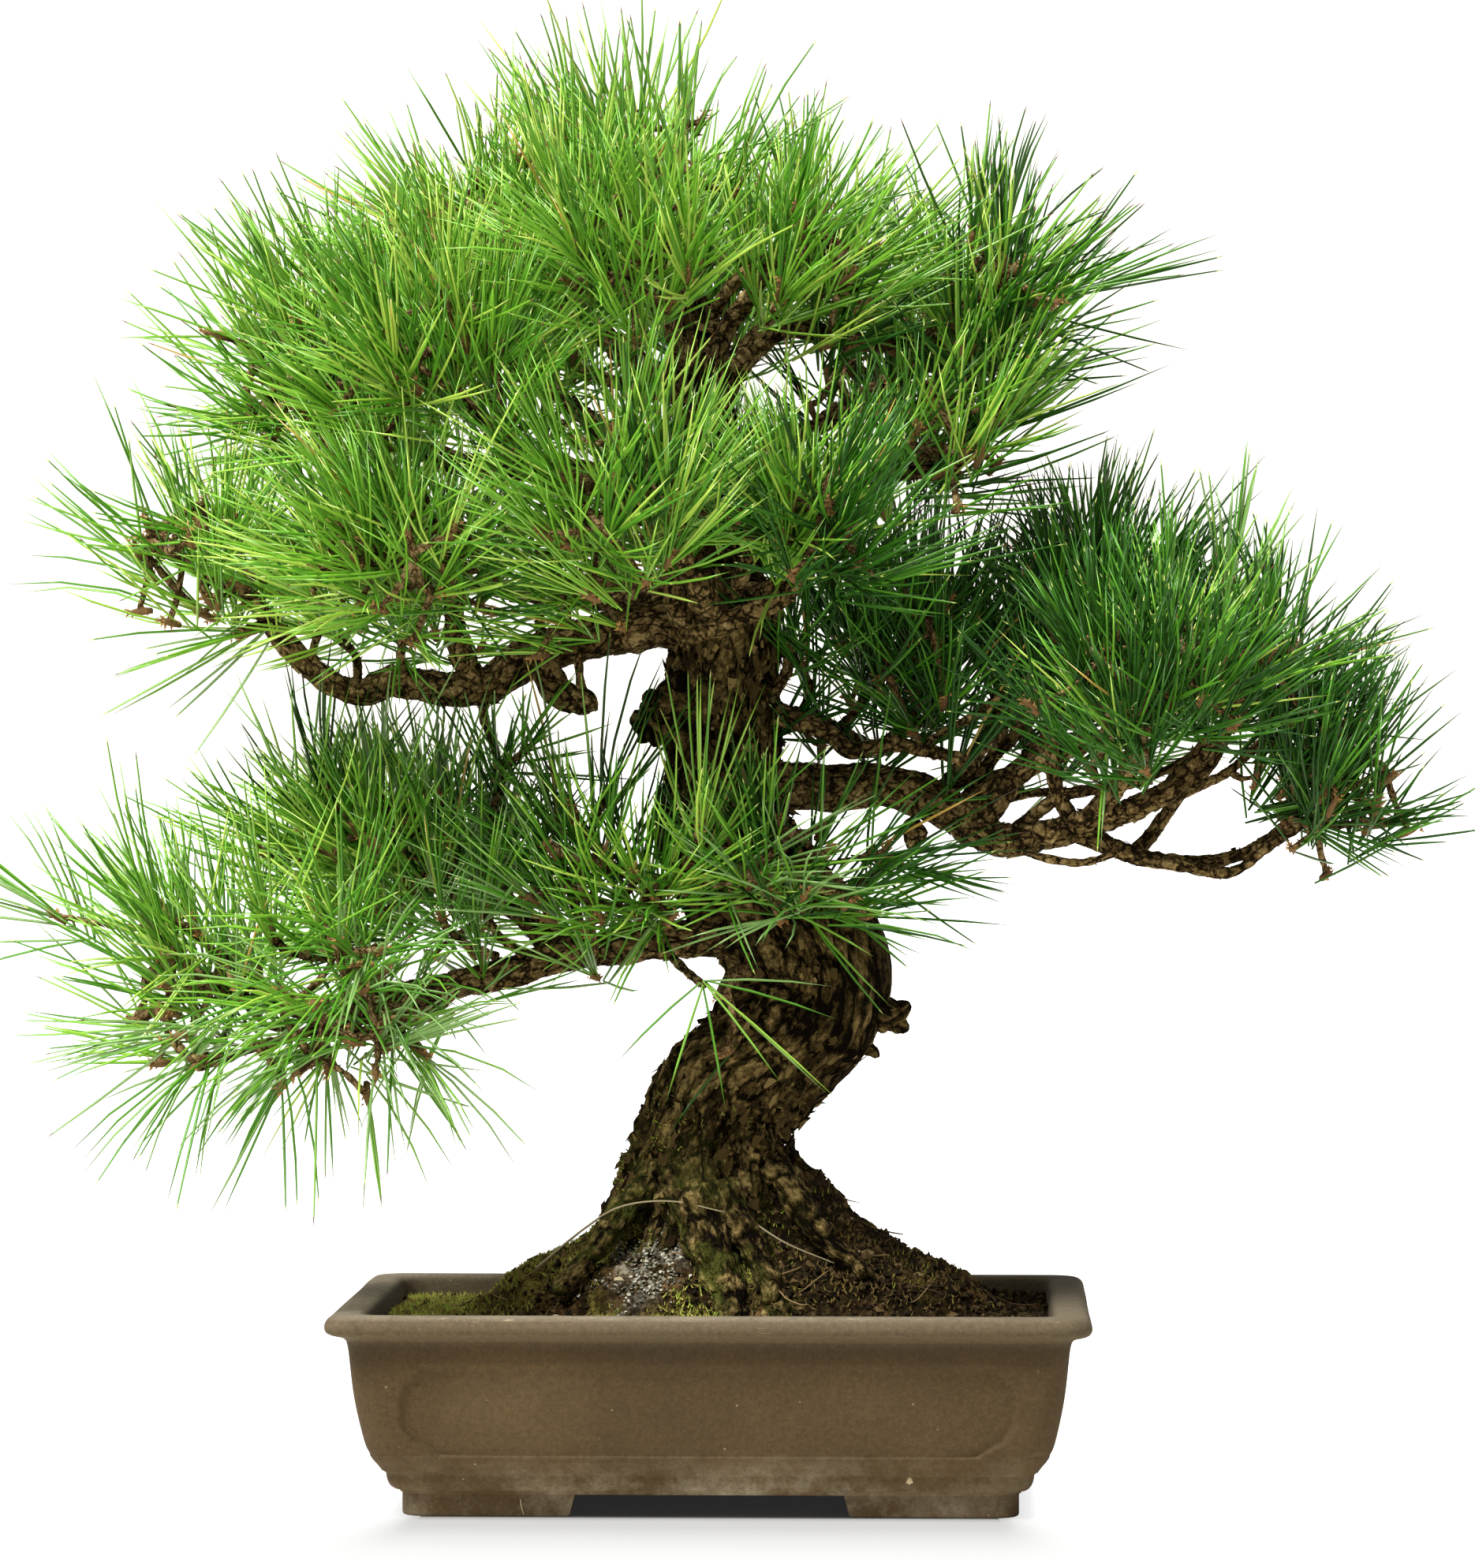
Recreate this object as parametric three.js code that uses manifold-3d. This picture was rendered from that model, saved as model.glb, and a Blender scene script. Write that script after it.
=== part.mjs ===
// Japanese black pine bonsai in an unglazed rectangular clay pot.
// Millimetres, +Z up, +X to the right and +Y to the back of the tree as it is shown.
// The tree is first laid out round the middle of the pot, with z = 0 under the pot's feet.
// At the end the whole group is shifted so that the origin is under the middle of its box.
import * as THREE from 'three';
import { mergeVertices } from 'three/addons/utils/BufferGeometryUtils.js';
import Module from 'manifold-3d';

const wasm = await Module();
wasm.setup();

// Pot: outer size of the rim, then the outer wall as insets from the rim's edge at each height
const RIM_LENGTH = 360;
const RIM_DEPTH = 270;
const RIM_TOP = 96.4;
const RIM_WIDTH = 18;
const CORNER_RADIUS = 13;
const CORNER_STEPS = 3;
const WALL_PROFILE = [
  [34, 9], [29, 12], [27, 18.5], [20.6, 26.5], [16.6, 36], [12.8, 57], [10.4, 79.3],
  [8, 85], [0, 88.4], [0, 95.4], [1, RIM_TOP],
];
const FLOOR_TOP = 18;
const CAVITY_PROFILE = [[40, FLOOR_TOP], [31, 26], [24, 52], [19.5, 88], [RIM_WIDTH, RIM_TOP + 1]];
const FOOT_INSET = 34;
const FOOT_WIDTH = 22;
const FOOT_TOP = 11;
const FOOT_LENGTH = 79;
const FOOT_DEPTH = 58;
const FOOT_END_SLANT = 3.5;
const PANEL_DEPTH = 0.9;
const PANEL_HALF_OUTLINE = [
  [135, 72], [136.5, 67.5], [141.5, 64.5], [144.5, 54], [143.5, 44], [139, 37.5], [131, 33], [126, 30],
];
const DRAIN_RADIUS = 12;
const DRAIN_OFFSET = 82;

// Touching pieces keep a gap of GAP. CLEAR_GAP leaves GAP at the middle of a flat side too
const GAP = 0.3;
const CLEAR_GAP = 0.36;

// Soil: level fill with a mossy mound round the foot of the trunk
const SOIL_LEVEL = 87;
const MOUND_CENTRE = [2, 4];
const MOUND_REACH = [117, 92];
const MOUND_HEIGHT = 42;
const MOUND_ANGLES = 18;
const MOUND_RINGS = [1, 0.92, 0.75, 0.45];
const MOUND_UNEVEN = 0.045;
const MOUND_ROUNDNESS = 0.7;
const MOUND_ROUGHNESS = 3;
const MOUND_SUNK = 4;

// Trunk: centre line and radius from the flat cut on the soil to the tip, in one S-shaped sweep
const GROUND = SOIL_LEVEL + GAP;
const TRUNK_SIDES = 12;
const TRUNK_STEPS = 21;
const TRUNK = [
  [-5, 0, GROUND, 60], [-6, 0, 118, 50], [-5, 0, 153, 42], [4, 0, 190, 33.5], [32, 0, 222, 32],
  [45, 0, 251, 33.5], [26, 0, 286, 31.5], [5, 0, 320, 31], [3, 0, 352, 29], [1, 0, 385, 26],
  [4, -2, 418, 25], [-1, -3, 452, 20], [-6, -3, 500, 16], [-9, -6, 545, 12], [-20, -9, 585, 8],
];
const ROOT_LIMIT = 110;
const ROOTS = [
  { angle: -6, reach: 80, height: 48, spread: 24 }, { angle: 62, reach: 24, height: 34, spread: 26 },
  { angle: 128, reach: 28, height: 30, spread: 26 }, { angle: 186, reach: 26, height: 32, spread: 28 },
  { angle: 238, reach: 26, height: 30, spread: 24 }, { angle: 300, reach: 34, height: 34, spread: 24 },
];
const SPURS = [
  { points: [[-6, -6, 384], [-28, -8, 385], [-36, -9, 379]], radii: [12, 7] },
  { points: [[55, 0, 238], [84, -3, 236], [97, -4, 229]], radii: [9.5, 4.6] },
  { points: [[52, -6, 226], [76, -8, 221], [86, -9, 215]], radii: [6, 2.5] },
];

// Boughs: each is one tapering limb that starts inside its parent and is cut clear of it. A row
// gives its name, its radii at root and tip, its sides and the points of its centre line
const BOUGH_SIDES = 5;
const BOUGHS = [
  bough('left_low', [10, 4.5], 7,
    [[14, -6, 272], [-56, -25, 266], [-120, -40, 250], [-185, -50, 239], [-222, -52, 246]]),
  bough('left_low_front', [4.6, 3], BOUGH_SIDES, [[-118, -40, 250], [-146, -70, 238], [-166, -92, 238]]),
  bough('left_low_upper', [4.8, 3], BOUGH_SIDES, [[-78, -30, 262], [-104, -18, 292], [-134, -12, 314]]),
  bough('left_low_back', [5.4, 3.2], BOUGH_SIDES, [[-60, -25, 265], [-98, 30, 280], [-126, 66, 298]]),
  bough('right', [13, 4.6], 8,
    [[6, 0, 345], [52, 0, 345], [97, -2, 341], [136, -10, 318], [172, -15, 324],
      [213, -22, 338], [246, -24, 372]]),
  bough('right_low', [5, 2.8], BOUGH_SIDES,
    [[176, -15, 322], [211, -22, 309], [252, -24, 311], [282, -24, 332]]),
  bough('right_front', [5, 3], BOUGH_SIDES, [[178, -17, 326], [192, -46, 342], [202, -72, 366]]),
  bough('right_upper', [6, 3.4], BOUGH_SIDES, [[124, -6, 325], [154, 12, 359], [178, 18, 392]]),
  bough('right_back', [6, 3.4], BOUGH_SIDES, [[108, -4, 334], [124, 52, 358], [140, 82, 384]]),
  bough('right_inner', [7, 3.4], BOUGH_SIDES, [[4, 4, 377], [40, 10, 376], [76, 24, 363], [98, 32, 382]]),
  bough('left', [12, 4.2], 8,
    [[2, -4, 420], [-42, -8, 421], [-89, -12, 406], [-116, -20, 391], [-154, -28, 394],
      [-172, -32, 389], [-197, -36, 403], [-216, -38, 424]]),
  bough('left_upright', [6, 3.8], BOUGH_SIDES,
    [[-116, -20, 392], [-124, -32, 414], [-124, -50, 436], [-120, -62, 454]]),
  bough('left_stub', [5.5, 6.5], BOUGH_SIDES,
    [[-88, -12, 408], [-85, -30, 403], [-77, -33, 389], [-64, -34, 385]]),
  bough('left_back', [8, 3.6], BOUGH_SIDES, [[-1, -1, 436], [-62, 36, 436], [-126, 56, 444]]),
  bough('left_upper', [9, 4], 7, [[-3, -3, 470], [-63, -28, 495], [-128, -38, 500], [-172, -30, 530]]),
  bough('left_upper_fork', [5, 3.4], BOUGH_SIDES, [[-78, -32, 496], [-100, -56, 508], [-116, -78, 526]]),
  bough('left_top', [7, 4], BOUGH_SIDES, [[-8, -6, 536], [-48, -14, 556], [-84, -14, 592]]),
  bough('arch', [8, 3.8], BOUGH_SIDES,
    [[-7, -5, 522], [14, 2, 554], [36, 6, 568], [66, 6, 560], [104, 4, 560]]),
  bough('apex_front', [6, 3.6], BOUGH_SIDES, [[-8, -6, 526], [4, -28, 560], [20, -34, 584]]),
  bough('upper_right', [7.5, 3.6], BOUGH_SIDES, [[-4, -3, 478], [46, -6, 482], [88, -12, 498]]),
  bough('front', [9, 4], BOUGH_SIDES, [[3, -4, 424], [-4, -48, 432], [-14, -86, 456]]),
  bough('front_right', [6.5, 3.6], BOUGH_SIDES, [[4, -4, 436], [32, -42, 440], [46, -68, 454]]),
  bough('back_left', [7, 3.6], BOUGH_SIDES, [[-6, -3, 500], [-54, 46, 518], [-88, 74, 544]]),
  bough('back_right', [7, 3.6], BOUGH_SIDES, [[-6, -3, 508], [38, 44, 518], [68, 70, 536]]),
  bough('back_low', [7, 3.6], BOUGH_SIDES, [[-1, 0, 452], [-8, 46, 456], [-16, 78, 470]]),
];
const STEP_LENGTH = 27;

// Masses of needles: each grows inside its own ellipsoid, and planes between neighbours keep the
// masses apart. A row gives its name, its root (a bough, the trunk's tip or a point inside the
// trunk), its ellipsoid's centre and radii, its number of tufts, and the lift that turns the
// shoots up (positive) or lets them droop (negative)
const MASSES = [
  mass('lower_left_tip', 'left_low', [-260, -48, 256], [90, 82, 88], 6, 0.1),
  mass('lower_left_front', 'left_low_front', [-178, -112, 236], [96, 86, 108], 6, -0.4),
  mass('lower_left_upper', 'left_low_upper', [-160, -12, 326], [108, 74, 60], 6, 0.7),
  mass('lower_left_back', 'left_low_back', [-160, 82, 290], [112, 82, 86], 6, 0.3),
  mass('lower_left_inner', [8, -8, 290], [-66, -60, 306], [84, 76, 68], 5, 0.5),
  mass('lower_front', [14, -8, 300], [46, -78, 308], [100, 72, 66], 5, 0.3),
  mass('low_sprig', [20, -8, 258], [-2, -72, 248], [66, 60, 66], 1, -0.3),
  mass('right_tip', 'right_low', [306, -26, 354], [62, 80, 74], 6, 0),
  mass('right_outer', 'right', [262, -6, 410], [88, 92, 70], 6, 0.4),
  mass('right_front', 'right_front', [210, -96, 406], [98, 76, 78], 5, 0.4),
  mass('right_top', 'right_upper', [190, 14, 444], [92, 82, 72], 5, 0.8),
  mass('right_back', 'right_back', [182, 112, 404], [110, 84, 84], 6, 0.4),
  mass('right_inner', 'right_inner', [94, 16, 422], [78, 84, 74], 6, 0.4),
  mass('left_tip', 'left', [-256, -40, 460], [92, 84, 76], 6, 0.1),
  mass('left_front', 'left_upright', [-160, -112, 458], [96, 86, 78], 6, 0.1),
  mass('left_back', 'left_back', [-184, 78, 462], [104, 88, 80], 6, 0.3),
  mass('left_inner', [0, -6, 446], [-84, -64, 440], [66, 66, 56], 3, 0.1),
  mass('upper_left', 'left_upper', [-208, -20, 544], [92, 90, 82], 6, 0.4),
  mass('upper_left_front', 'left_upper_fork', [-128, -112, 560], [92, 88, 80], 6, 0.5),
  mass('top_left', 'left_top', [-132, -8, 618], [90, 88, 74], 6, 0.7),
  mass('top', 'trunk', [-46, -14, 648], [84, 90, 80], 6, 0.9),
  mass('top_right', 'apex_front', [60, -22, 606], [84, 86, 66], 6, 0.7),
  mass('upper_right', 'arch', [136, 2, 582], [84, 86, 84], 6, 0.5),
  mass('right_shoulder', 'upper_right', [116, -34, 516], [82, 80, 58], 5, 0.3),
  mass('centre_front', 'front', [-44, -132, 490], [88, 80, 78], 6, 0.3),
  mass('front_right', 'front_right', [54, -112, 480], [86, 84, 68], 5, 0.2),
  mass('top_front', [-8, -6, 540], [-46, -104, 606], [84, 80, 78], 5, 0.7),
  mass('back_left', 'back_left', [-126, 104, 572], [104, 92, 90], 6, 0.5),
  mass('back_top', [-10, -6, 556], [-10, 104, 608], [90, 86, 82], 5, 0.7),
  mass('back_right', 'back_right', [96, 104, 556], [96, 86, 82], 5, 0.5),
  mass('back_low', 'back_low', [-18, 126, 482], [94, 86, 72], 5, 0.2),
];
const SEED = 20;
const GOLDEN_ANGLE = Math.PI * (3 - Math.sqrt(5));
const CELL_MARGIN = 1;
const SITE_SPREAD = [0.39, 0.506];
const SITE_HEIGHTS = [0.95, -0.6];
const SITE_ROOM = 11;
const SITE_PULL = 0.85;
const SITE_PULLS = 8;
const ALONG_SHARE = 0.5;
const OUTWARD_SHARE = 0.6;
const STEM_RADIUS = 4.2;
const STEM_SHARE = 0.95;
const TRUNK_STEM_RADIUS = 5.2;
const STEM_END_RADIUS = 3;
const TWIG_RADIUS = 2;
const TWIG_BOW = 0.16;
const STEM_JOINTS = [0.42, 0.52, 0.62, 0.74, 0.85];
const CORE_RADIUS = 3.6;
const CORE_STRETCH = 1.5;
const NEEDLE_LENGTH = [58, 78];
const NEEDLE_LEAN = 0.5;
const SHORTEST_NEEDLE = 0.5;
const LIMB_CLEARANCE = 2.6;
const NEEDLE_CLEARANCE = 2.2;
const TWIG_CLEARANCE = 3.2;

// Rows of the lists above
function bough(name, radii, sides, points) {
  return { name, radii, sides, points };
}

function mass(name, root, centre, radii, tufts, lift) {
  return { name, root, centre, radii, tufts, lift };
}

// Plain vector and random helpers
const vector = ([x, y, z]) => new THREE.Vector3(x, y, z);

function seeded(seed) {
  let state = seed * 7919 + 17;
  return () => {
    state = (state * 48271) % 2147483647;
    return state / 2147483647;
  };
}

function mix(a, b, t) {
  return a + (b - a) * t;
}

// Solids: a closed triangle list becomes a manifold, and a manifold becomes a geometry
function solidFrom(points, faces) {
  const geometry = new THREE.BufferGeometry();
  const places = points.flatMap((point) => point.toArray());
  geometry.setAttribute('position', new THREE.Float32BufferAttribute(places, 3));
  geometry.setIndex(faces.flat());
  return solidFromGeometry(geometry);
}

function solidFromGeometry(source) {
  const bare = source.clone();
  bare.deleteAttribute('normal');
  bare.deleteAttribute('uv');
  const merged = mergeVertices(bare, 1e-4);
  return new wasm.Manifold(new wasm.Mesh({
    numProp: 3,
    vertProperties: new Float32Array(merged.attributes.position.array),
    triVerts: new Uint32Array(merged.index.array),
  }));
}

function geometryFrom(solid) {
  const mesh = solid.getMesh();
  const geometry = new THREE.BufferGeometry();
  geometry.setAttribute('position', new THREE.Float32BufferAttribute(mesh.vertProperties, 3));
  geometry.setIndex(Array.from(mesh.triVerts));
  geometry.computeVertexNormals();
  return geometry;
}

// Loose scraps and sealed hollows are separate surfaces: only the largest one stays
function largest(solid) {
  const pieces = solid.decompose();
  return pieces.reduce((best, piece) => (piece.volume() > best.volume() ? piece : best));
}

function joined(solids) {
  return largest(solids.reduce((whole, solid) => whole.add(solid)));
}

// Rings of equal length become a closed skin with flat ends
function loft(rings) {
  const count = rings[0].length;
  const faces = [];
  for (let ring = 0; ring + 1 < rings.length; ring += 1) {
    for (let i = 0; i < count; i += 1) {
      const a = ring * count + i;
      const b = ring * count + ((i + 1) % count);
      faces.push([a, b, b + count], [a, b + count, a + count]);
    }
  }
  const last = (rings.length - 1) * count;
  for (let i = 1; i + 1 < count; i += 1) {
    faces.push([0, i + 1, i], [last, last + i, last + i + 1]);
  }
  return solidFrom(rings.flat(), faces);
}

// A limb's centre line and its sweep, with a section that is carried along without twist
function centreLine(points) {
  return new THREE.CatmullRomCurve3(points.map(vector), false, 'catmullrom', 0.5);
}

function sweep(centres, radiusAt, sides) {
  const rings = [];
  const tangentAt = (i) => {
    const before = centres[Math.max(i - 1, 0)];
    const after = centres[Math.min(i + 1, centres.length - 1)];
    return after.clone().sub(before).normalize();
  };
  const across = new THREE.Vector3(1, 0, 0);
  if (Math.abs(tangentAt(0).x) > 0.9) {
    across.set(0, 0, 1);
  }
  for (let i = 0; i < centres.length; i += 1) {
    const tangent = tangentAt(i);
    across.addScaledVector(tangent, -across.dot(tangent)).normalize();
    const other = tangent.clone().cross(across);
    const ring = [];
    for (let side = 0; side < sides; side += 1) {
      const angle = (2 * Math.PI * side) / sides;
      const radius = radiusAt(i, angle);
      ring.push(centres[i].clone()
        .addScaledVector(across, radius * Math.cos(angle))
        .addScaledVector(other, radius * Math.sin(angle)));
    }
    rings.push(ring);
  }
  return loft(rings);
}

function stepsAlong(curve) {
  return Math.max(2, Math.round(curve.getLength() / STEP_LENGTH));
}

function boughNamed(name) {
  return BOUGHS.find((limb) => limb.name === name);
}

function taperedLimb(points, radii, sides, grow = 0) {
  const curve = centreLine(points);
  const steps = stepsAlong(curve);
  const centres = curve.getPoints(steps);
  return sweep(centres, (i) => mix(radii[0], radii[1], i / steps) + grow, sides);
}

// Pot
function potRing(inset, height) {
  const halfX = RIM_LENGTH / 2 - inset - CORNER_RADIUS;
  const halfY = RIM_DEPTH / 2 - inset - CORNER_RADIUS;
  const corners = [[halfX, halfY], [-halfX, halfY], [-halfX, -halfY], [halfX, -halfY]];
  return corners.flatMap(([x, y], corner) => {
    const points = [];
    for (let step = 0; step <= CORNER_STEPS; step += 1) {
      const angle = (corner + step / CORNER_STEPS) * (Math.PI / 2);
      points.push(new THREE.Vector3(
        x + CORNER_RADIUS * Math.cos(angle),
        y + CORNER_RADIUS * Math.sin(angle),
        height,
      ));
    }
    return points;
  });
}

function potLoft(profile, shift = 0) {
  return loft(profile.map(([inset, height]) => potRing(inset - shift, height)));
}

// A flat outline in X and height becomes a prism through the pot, along Y or turned along X
function prismThrough(outline, along) {
  const shape = new THREE.Shape(outline.map(([x, z]) => new THREE.Vector2(x, z)));
  const geometry = new THREE.ExtrudeGeometry(shape, { depth: 2 * RIM_LENGTH, bevelEnabled: false });
  geometry.translate(0, 0, -RIM_LENGTH);
  geometry.rotateX(Math.PI / 2);
  if (along === 'x') {
    geometry.rotateZ(Math.PI / 2);
  }
  return solidFromGeometry(geometry);
}

function footGap(halfLength, length) {
  const half = halfLength - FOOT_INSET - length;
  const narrow = half - FOOT_END_SLANT;
  const above = FOOT_TOP + 1;
  return [[-half, -1], [half, -1], [narrow, above], [-narrow, above]];
}

function panelOutline(shorter) {
  const right = PANEL_HALF_OUTLINE.map(([x, z]) => [x - shorter, z]);
  const left = right.map(([x, z]) => [-x, z]).reverse();
  return [...left, ...right].reverse();
}

function makePot() {
  const foot = [[FOOT_INSET, 0], [FOOT_INSET, FOOT_TOP]];
  const footHollow = [[FOOT_INSET + FOOT_WIDTH, -1], [FOOT_INSET + FOOT_WIDTH, FOOT_TOP + 1]];
  const feet = potLoft(foot)
    .subtract(potLoft(footHollow))
    .subtract(prismThrough(footGap(RIM_LENGTH / 2, FOOT_LENGTH), 'y'))
    .subtract(prismThrough(footGap(RIM_DEPTH / 2, FOOT_DEPTH), 'x'));
  const walls = potLoft(WALL_PROFILE);
  const panelCuts = prismThrough(panelOutline(0), 'y')
    .add(prismThrough(panelOutline((RIM_LENGTH - RIM_DEPTH) / 2), 'x'))
    .subtract(potLoft(WALL_PROFILE.slice(2, 7), -PANEL_DEPTH));
  let pot = walls.subtract(panelCuts).add(feet).subtract(potLoft(CAVITY_PROFILE));
  for (const x of [-DRAIN_OFFSET, DRAIN_OFFSET]) {
    const drain = new THREE.CylinderGeometry(DRAIN_RADIUS, DRAIN_RADIUS, 4 * FLOOR_TOP, 12);
    drain.rotateX(Math.PI / 2);
    drain.translate(x, 0, 0);
    pot = pot.subtract(solidFromGeometry(drain));
  }
  return largest(pot);
}

// Trunk, with lobes at its foot for the surface roots and with a knob and two snags
function rootLobe(angle, height) {
  return ROOTS.reduce((sum, root) => {
    const fade = Math.exp(-(((height - GROUND) / root.height) ** 2));
    const away = Math.abs(((THREE.MathUtils.radToDeg(angle) - root.angle + 540) % 360) - 180);
    return sum + root.reach * fade * Math.exp(-((away / root.spread) ** 2));
  }, 0);
}

function makeTrunk(grow = 0) {
  const curve = centreLine(TRUNK);
  const widths = centreLine(TRUNK.map((station) => [station[3], 0, 0]));
  const centres = curve.getPoints(TRUNK_STEPS);
  centres[1].x = centres[0].x;
  centres[1].y = centres[0].y;
  const radiusAt = (i, angle) => {
    const height = centres[i].z;
    const radius = widths.getPoint(i / TRUNK_STEPS).x + rootLobe(angle, height);
    return Math.min(radius, ROOT_LIMIT) + grow;
  };
  const trunk = sweep(centres, radiusAt, TRUNK_SIDES);
  const spurs = SPURS.map((spur) => taperedLimb(spur.points, spur.radii, BOUGH_SIDES, grow));
  return joined([trunk, ...spurs]);
}

// Soil: the pot's fill and a mound, cut clear of the trunk's foot
function makeSoil(grownTrunk) {
  const random = seeded(SEED);
  const [floor, bend, wall] = CAVITY_PROFILE.map(([inset, height]) => [inset + GAP, height]);
  const fillProfile = [[floor[0], FLOOR_TOP + GAP], bend, wall, [CAVITY_PROFILE[3][0] + GAP, SOIL_LEVEL]];
  const rings = [0, ...MOUND_RINGS.keys()].map((ring, order) => {
    const share = MOUND_RINGS[ring];
    const points = [];
    for (let i = 0; i < MOUND_ANGLES; i += 1) {
      const angle = (2 * Math.PI * i) / MOUND_ANGLES;
      const uneven = 1 + MOUND_UNEVEN * (Math.sin(3 * angle + 1) + Math.sin(5 * angle));
      const rise = MOUND_HEIGHT * (1 - share * share) ** MOUND_ROUNDNESS + MOUND_ROUGHNESS * random();
      points.push(new THREE.Vector3(
        MOUND_CENTRE[0] + MOUND_REACH[0] * share * uneven * Math.cos(angle),
        MOUND_CENTRE[1] + MOUND_REACH[1] * share * uneven * Math.sin(angle),
        order === 0 ? SOIL_LEVEL - MOUND_SUNK : SOIL_LEVEL - 1 + rise,
      ));
    }
    return points;
  });
  return largest(potLoft(fillProfile).add(loft(rings)).subtract(grownTrunk));
}

// The space of each mass: half spaces towards its neighbours, and its own ellipsoid
function reachToward(mass, direction) {
  return new THREE.Vector3(...mass.radii).multiply(direction).length();
}

function wallsOf(mass) {
  const centre = vector(mass.centre);
  return MASSES.filter((other) => other !== mass).map((other) => {
    const toward = vector(other.centre).sub(centre);
    const distance = toward.length();
    toward.normalize();
    const own = reachToward(mass, toward);
    const theirs = reachToward(other, toward);
    return { normal: toward, offset: toward.dot(centre) + (distance * own) / (own + theirs) };
  });
}

function roomAt(point, walls) {
  return Math.min(...walls.map((wall) => wall.offset - wall.normal.dot(point)));
}

function insideEllipsoid(point, mass, scale) {
  const radii = new THREE.Vector3(...mass.radii);
  return point.clone().sub(vector(mass.centre)).divide(radii).length() <= scale;
}

// Shortest distance between two straight pieces
function distanceBetween(a0, a1, b0, b1) {
  const u = a1.clone().sub(a0);
  const v = b1.clone().sub(b0);
  const w = a0.clone().sub(b0);
  const uu = u.dot(u);
  const uv = u.dot(v);
  const vv = v.dot(v);
  const uw = u.dot(w);
  const vw = v.dot(w);
  const spread = uu * vv - uv * uv;
  let s = spread > 1e-9 ? THREE.MathUtils.clamp((uv * vw - vv * uw) / spread, 0, 1) : 0;
  const t = THREE.MathUtils.clamp((uv * s + vw) / vv, 0, 1);
  s = THREE.MathUtils.clamp((uv * t - uw) / uu, 0, 1);
  return w.addScaledVector(u, s).addScaledVector(v, -t).length();
}

// Straight capsules that stand for the trunk and boughs when a twig or needle is tested
function limbCapsules() {
  const capsules = [];
  const limbs = [{ name: 'trunk', points: TRUNK, radii: null }, ...BOUGHS];
  for (const limb of limbs) {
    const curve = centreLine(limb.points);
    const steps = stepsAlong(curve);
    const centres = curve.getPoints(steps);
    const widths = limb.radii ?? TRUNK.map((station) => station[3]);
    for (let i = 0; i < steps; i += 1) {
      const along = ((i + 0.5) / steps) * (widths.length - 1);
      const low = Math.floor(along);
      const radius = mix(widths[low], widths[Math.min(low + 1, widths.length - 1)], along - low);
      capsules.push({ limb: limb.name, start: centres[i], end: centres[i + 1], radius });
    }
  }
  return capsules;
}

const CAPSULES = limbCapsules();

function clearOfLimbs(start, end, clearance, ownLimb) {
  return CAPSULES.every((capsule) => {
    if (capsule.limb === ownLimb) {
      return true;
    }
    return distanceBetween(start, end, capsule.start, capsule.end) > capsule.radius + clearance;
  });
}

// The stem's root: just off the flat tip of a bough, or at a point inside the trunk
function rootOf(mass) {
  if (Array.isArray(mass.root)) {
    return { point: vector(mass.root), limb: 'trunk', radius: TRUNK_STEM_RADIUS };
  }
  const fromTrunk = mass.root === 'trunk';
  const limb = fromTrunk ? { points: TRUNK, radii: [TRUNK[0][3], TRUNK.at(-1)[3]] } : boughNamed(mass.root);
  const curve = centreLine(limb.points);
  const steps = fromTrunk ? TRUNK_STEPS : stepsAlong(curve);
  const [before, tip] = curve.getPoints(steps).slice(-2);
  const onward = tip.clone().sub(before).normalize();
  return {
    point: tip.clone().addScaledVector(onward, CLEAR_GAP),
    onward,
    limb: mass.root,
    radius: Math.max(limb.radii[1] * STEM_SHARE, STEM_RADIUS),
  };
}

// The seeded rule: tuft sites spread through the mass, a stem to the one that lies furthest
// on, and a twig to each other site from the nearest joint that is still free
function sitesOf(mass, walls, random) {
  const centre = vector(mass.centre);
  const radii = new THREE.Vector3(...mass.radii);
  const phase = 2 * Math.PI * random();
  const sites = [];
  for (let i = 0; i < mass.tufts; i += 1) {
    const height = mix(SITE_HEIGHTS[0], SITE_HEIGHTS[1], i / Math.max(mass.tufts - 1, 1));
    const flat = Math.sqrt(1 - height * height);
    const angle = phase + i * GOLDEN_ANGLE;
    const outward = new THREE.Vector3(flat * Math.cos(angle), flat * Math.sin(angle), height);
    const spread = mass.tufts === 1 ? 0 : mix(SITE_SPREAD[0], SITE_SPREAD[1], random());
    const offset = outward.clone().multiply(radii).multiplyScalar(spread);
    const crowded = () => roomAt(centre.clone().add(offset), walls) < SITE_ROOM;
    for (let pull = 0; pull < SITE_PULLS && crowded(); pull += 1) {
      offset.multiplyScalar(SITE_PULL);
    }
    sites.push({ point: centre.clone().add(offset), outward });
  }
  return sites;
}

function nearest(points, place) {
  return points.reduce((best, point) => (point.distanceTo(place) < best.distanceTo(place) ? point : best));
}

function shootAxis(from, site, outward, lift) {
  return site.clone().sub(from).normalize().multiplyScalar(ALONG_SHARE)
    .addScaledVector(outward, OUTWARD_SHARE)
    .add(new THREE.Vector3(0, 0, lift))
    .normalize();
}

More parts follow.
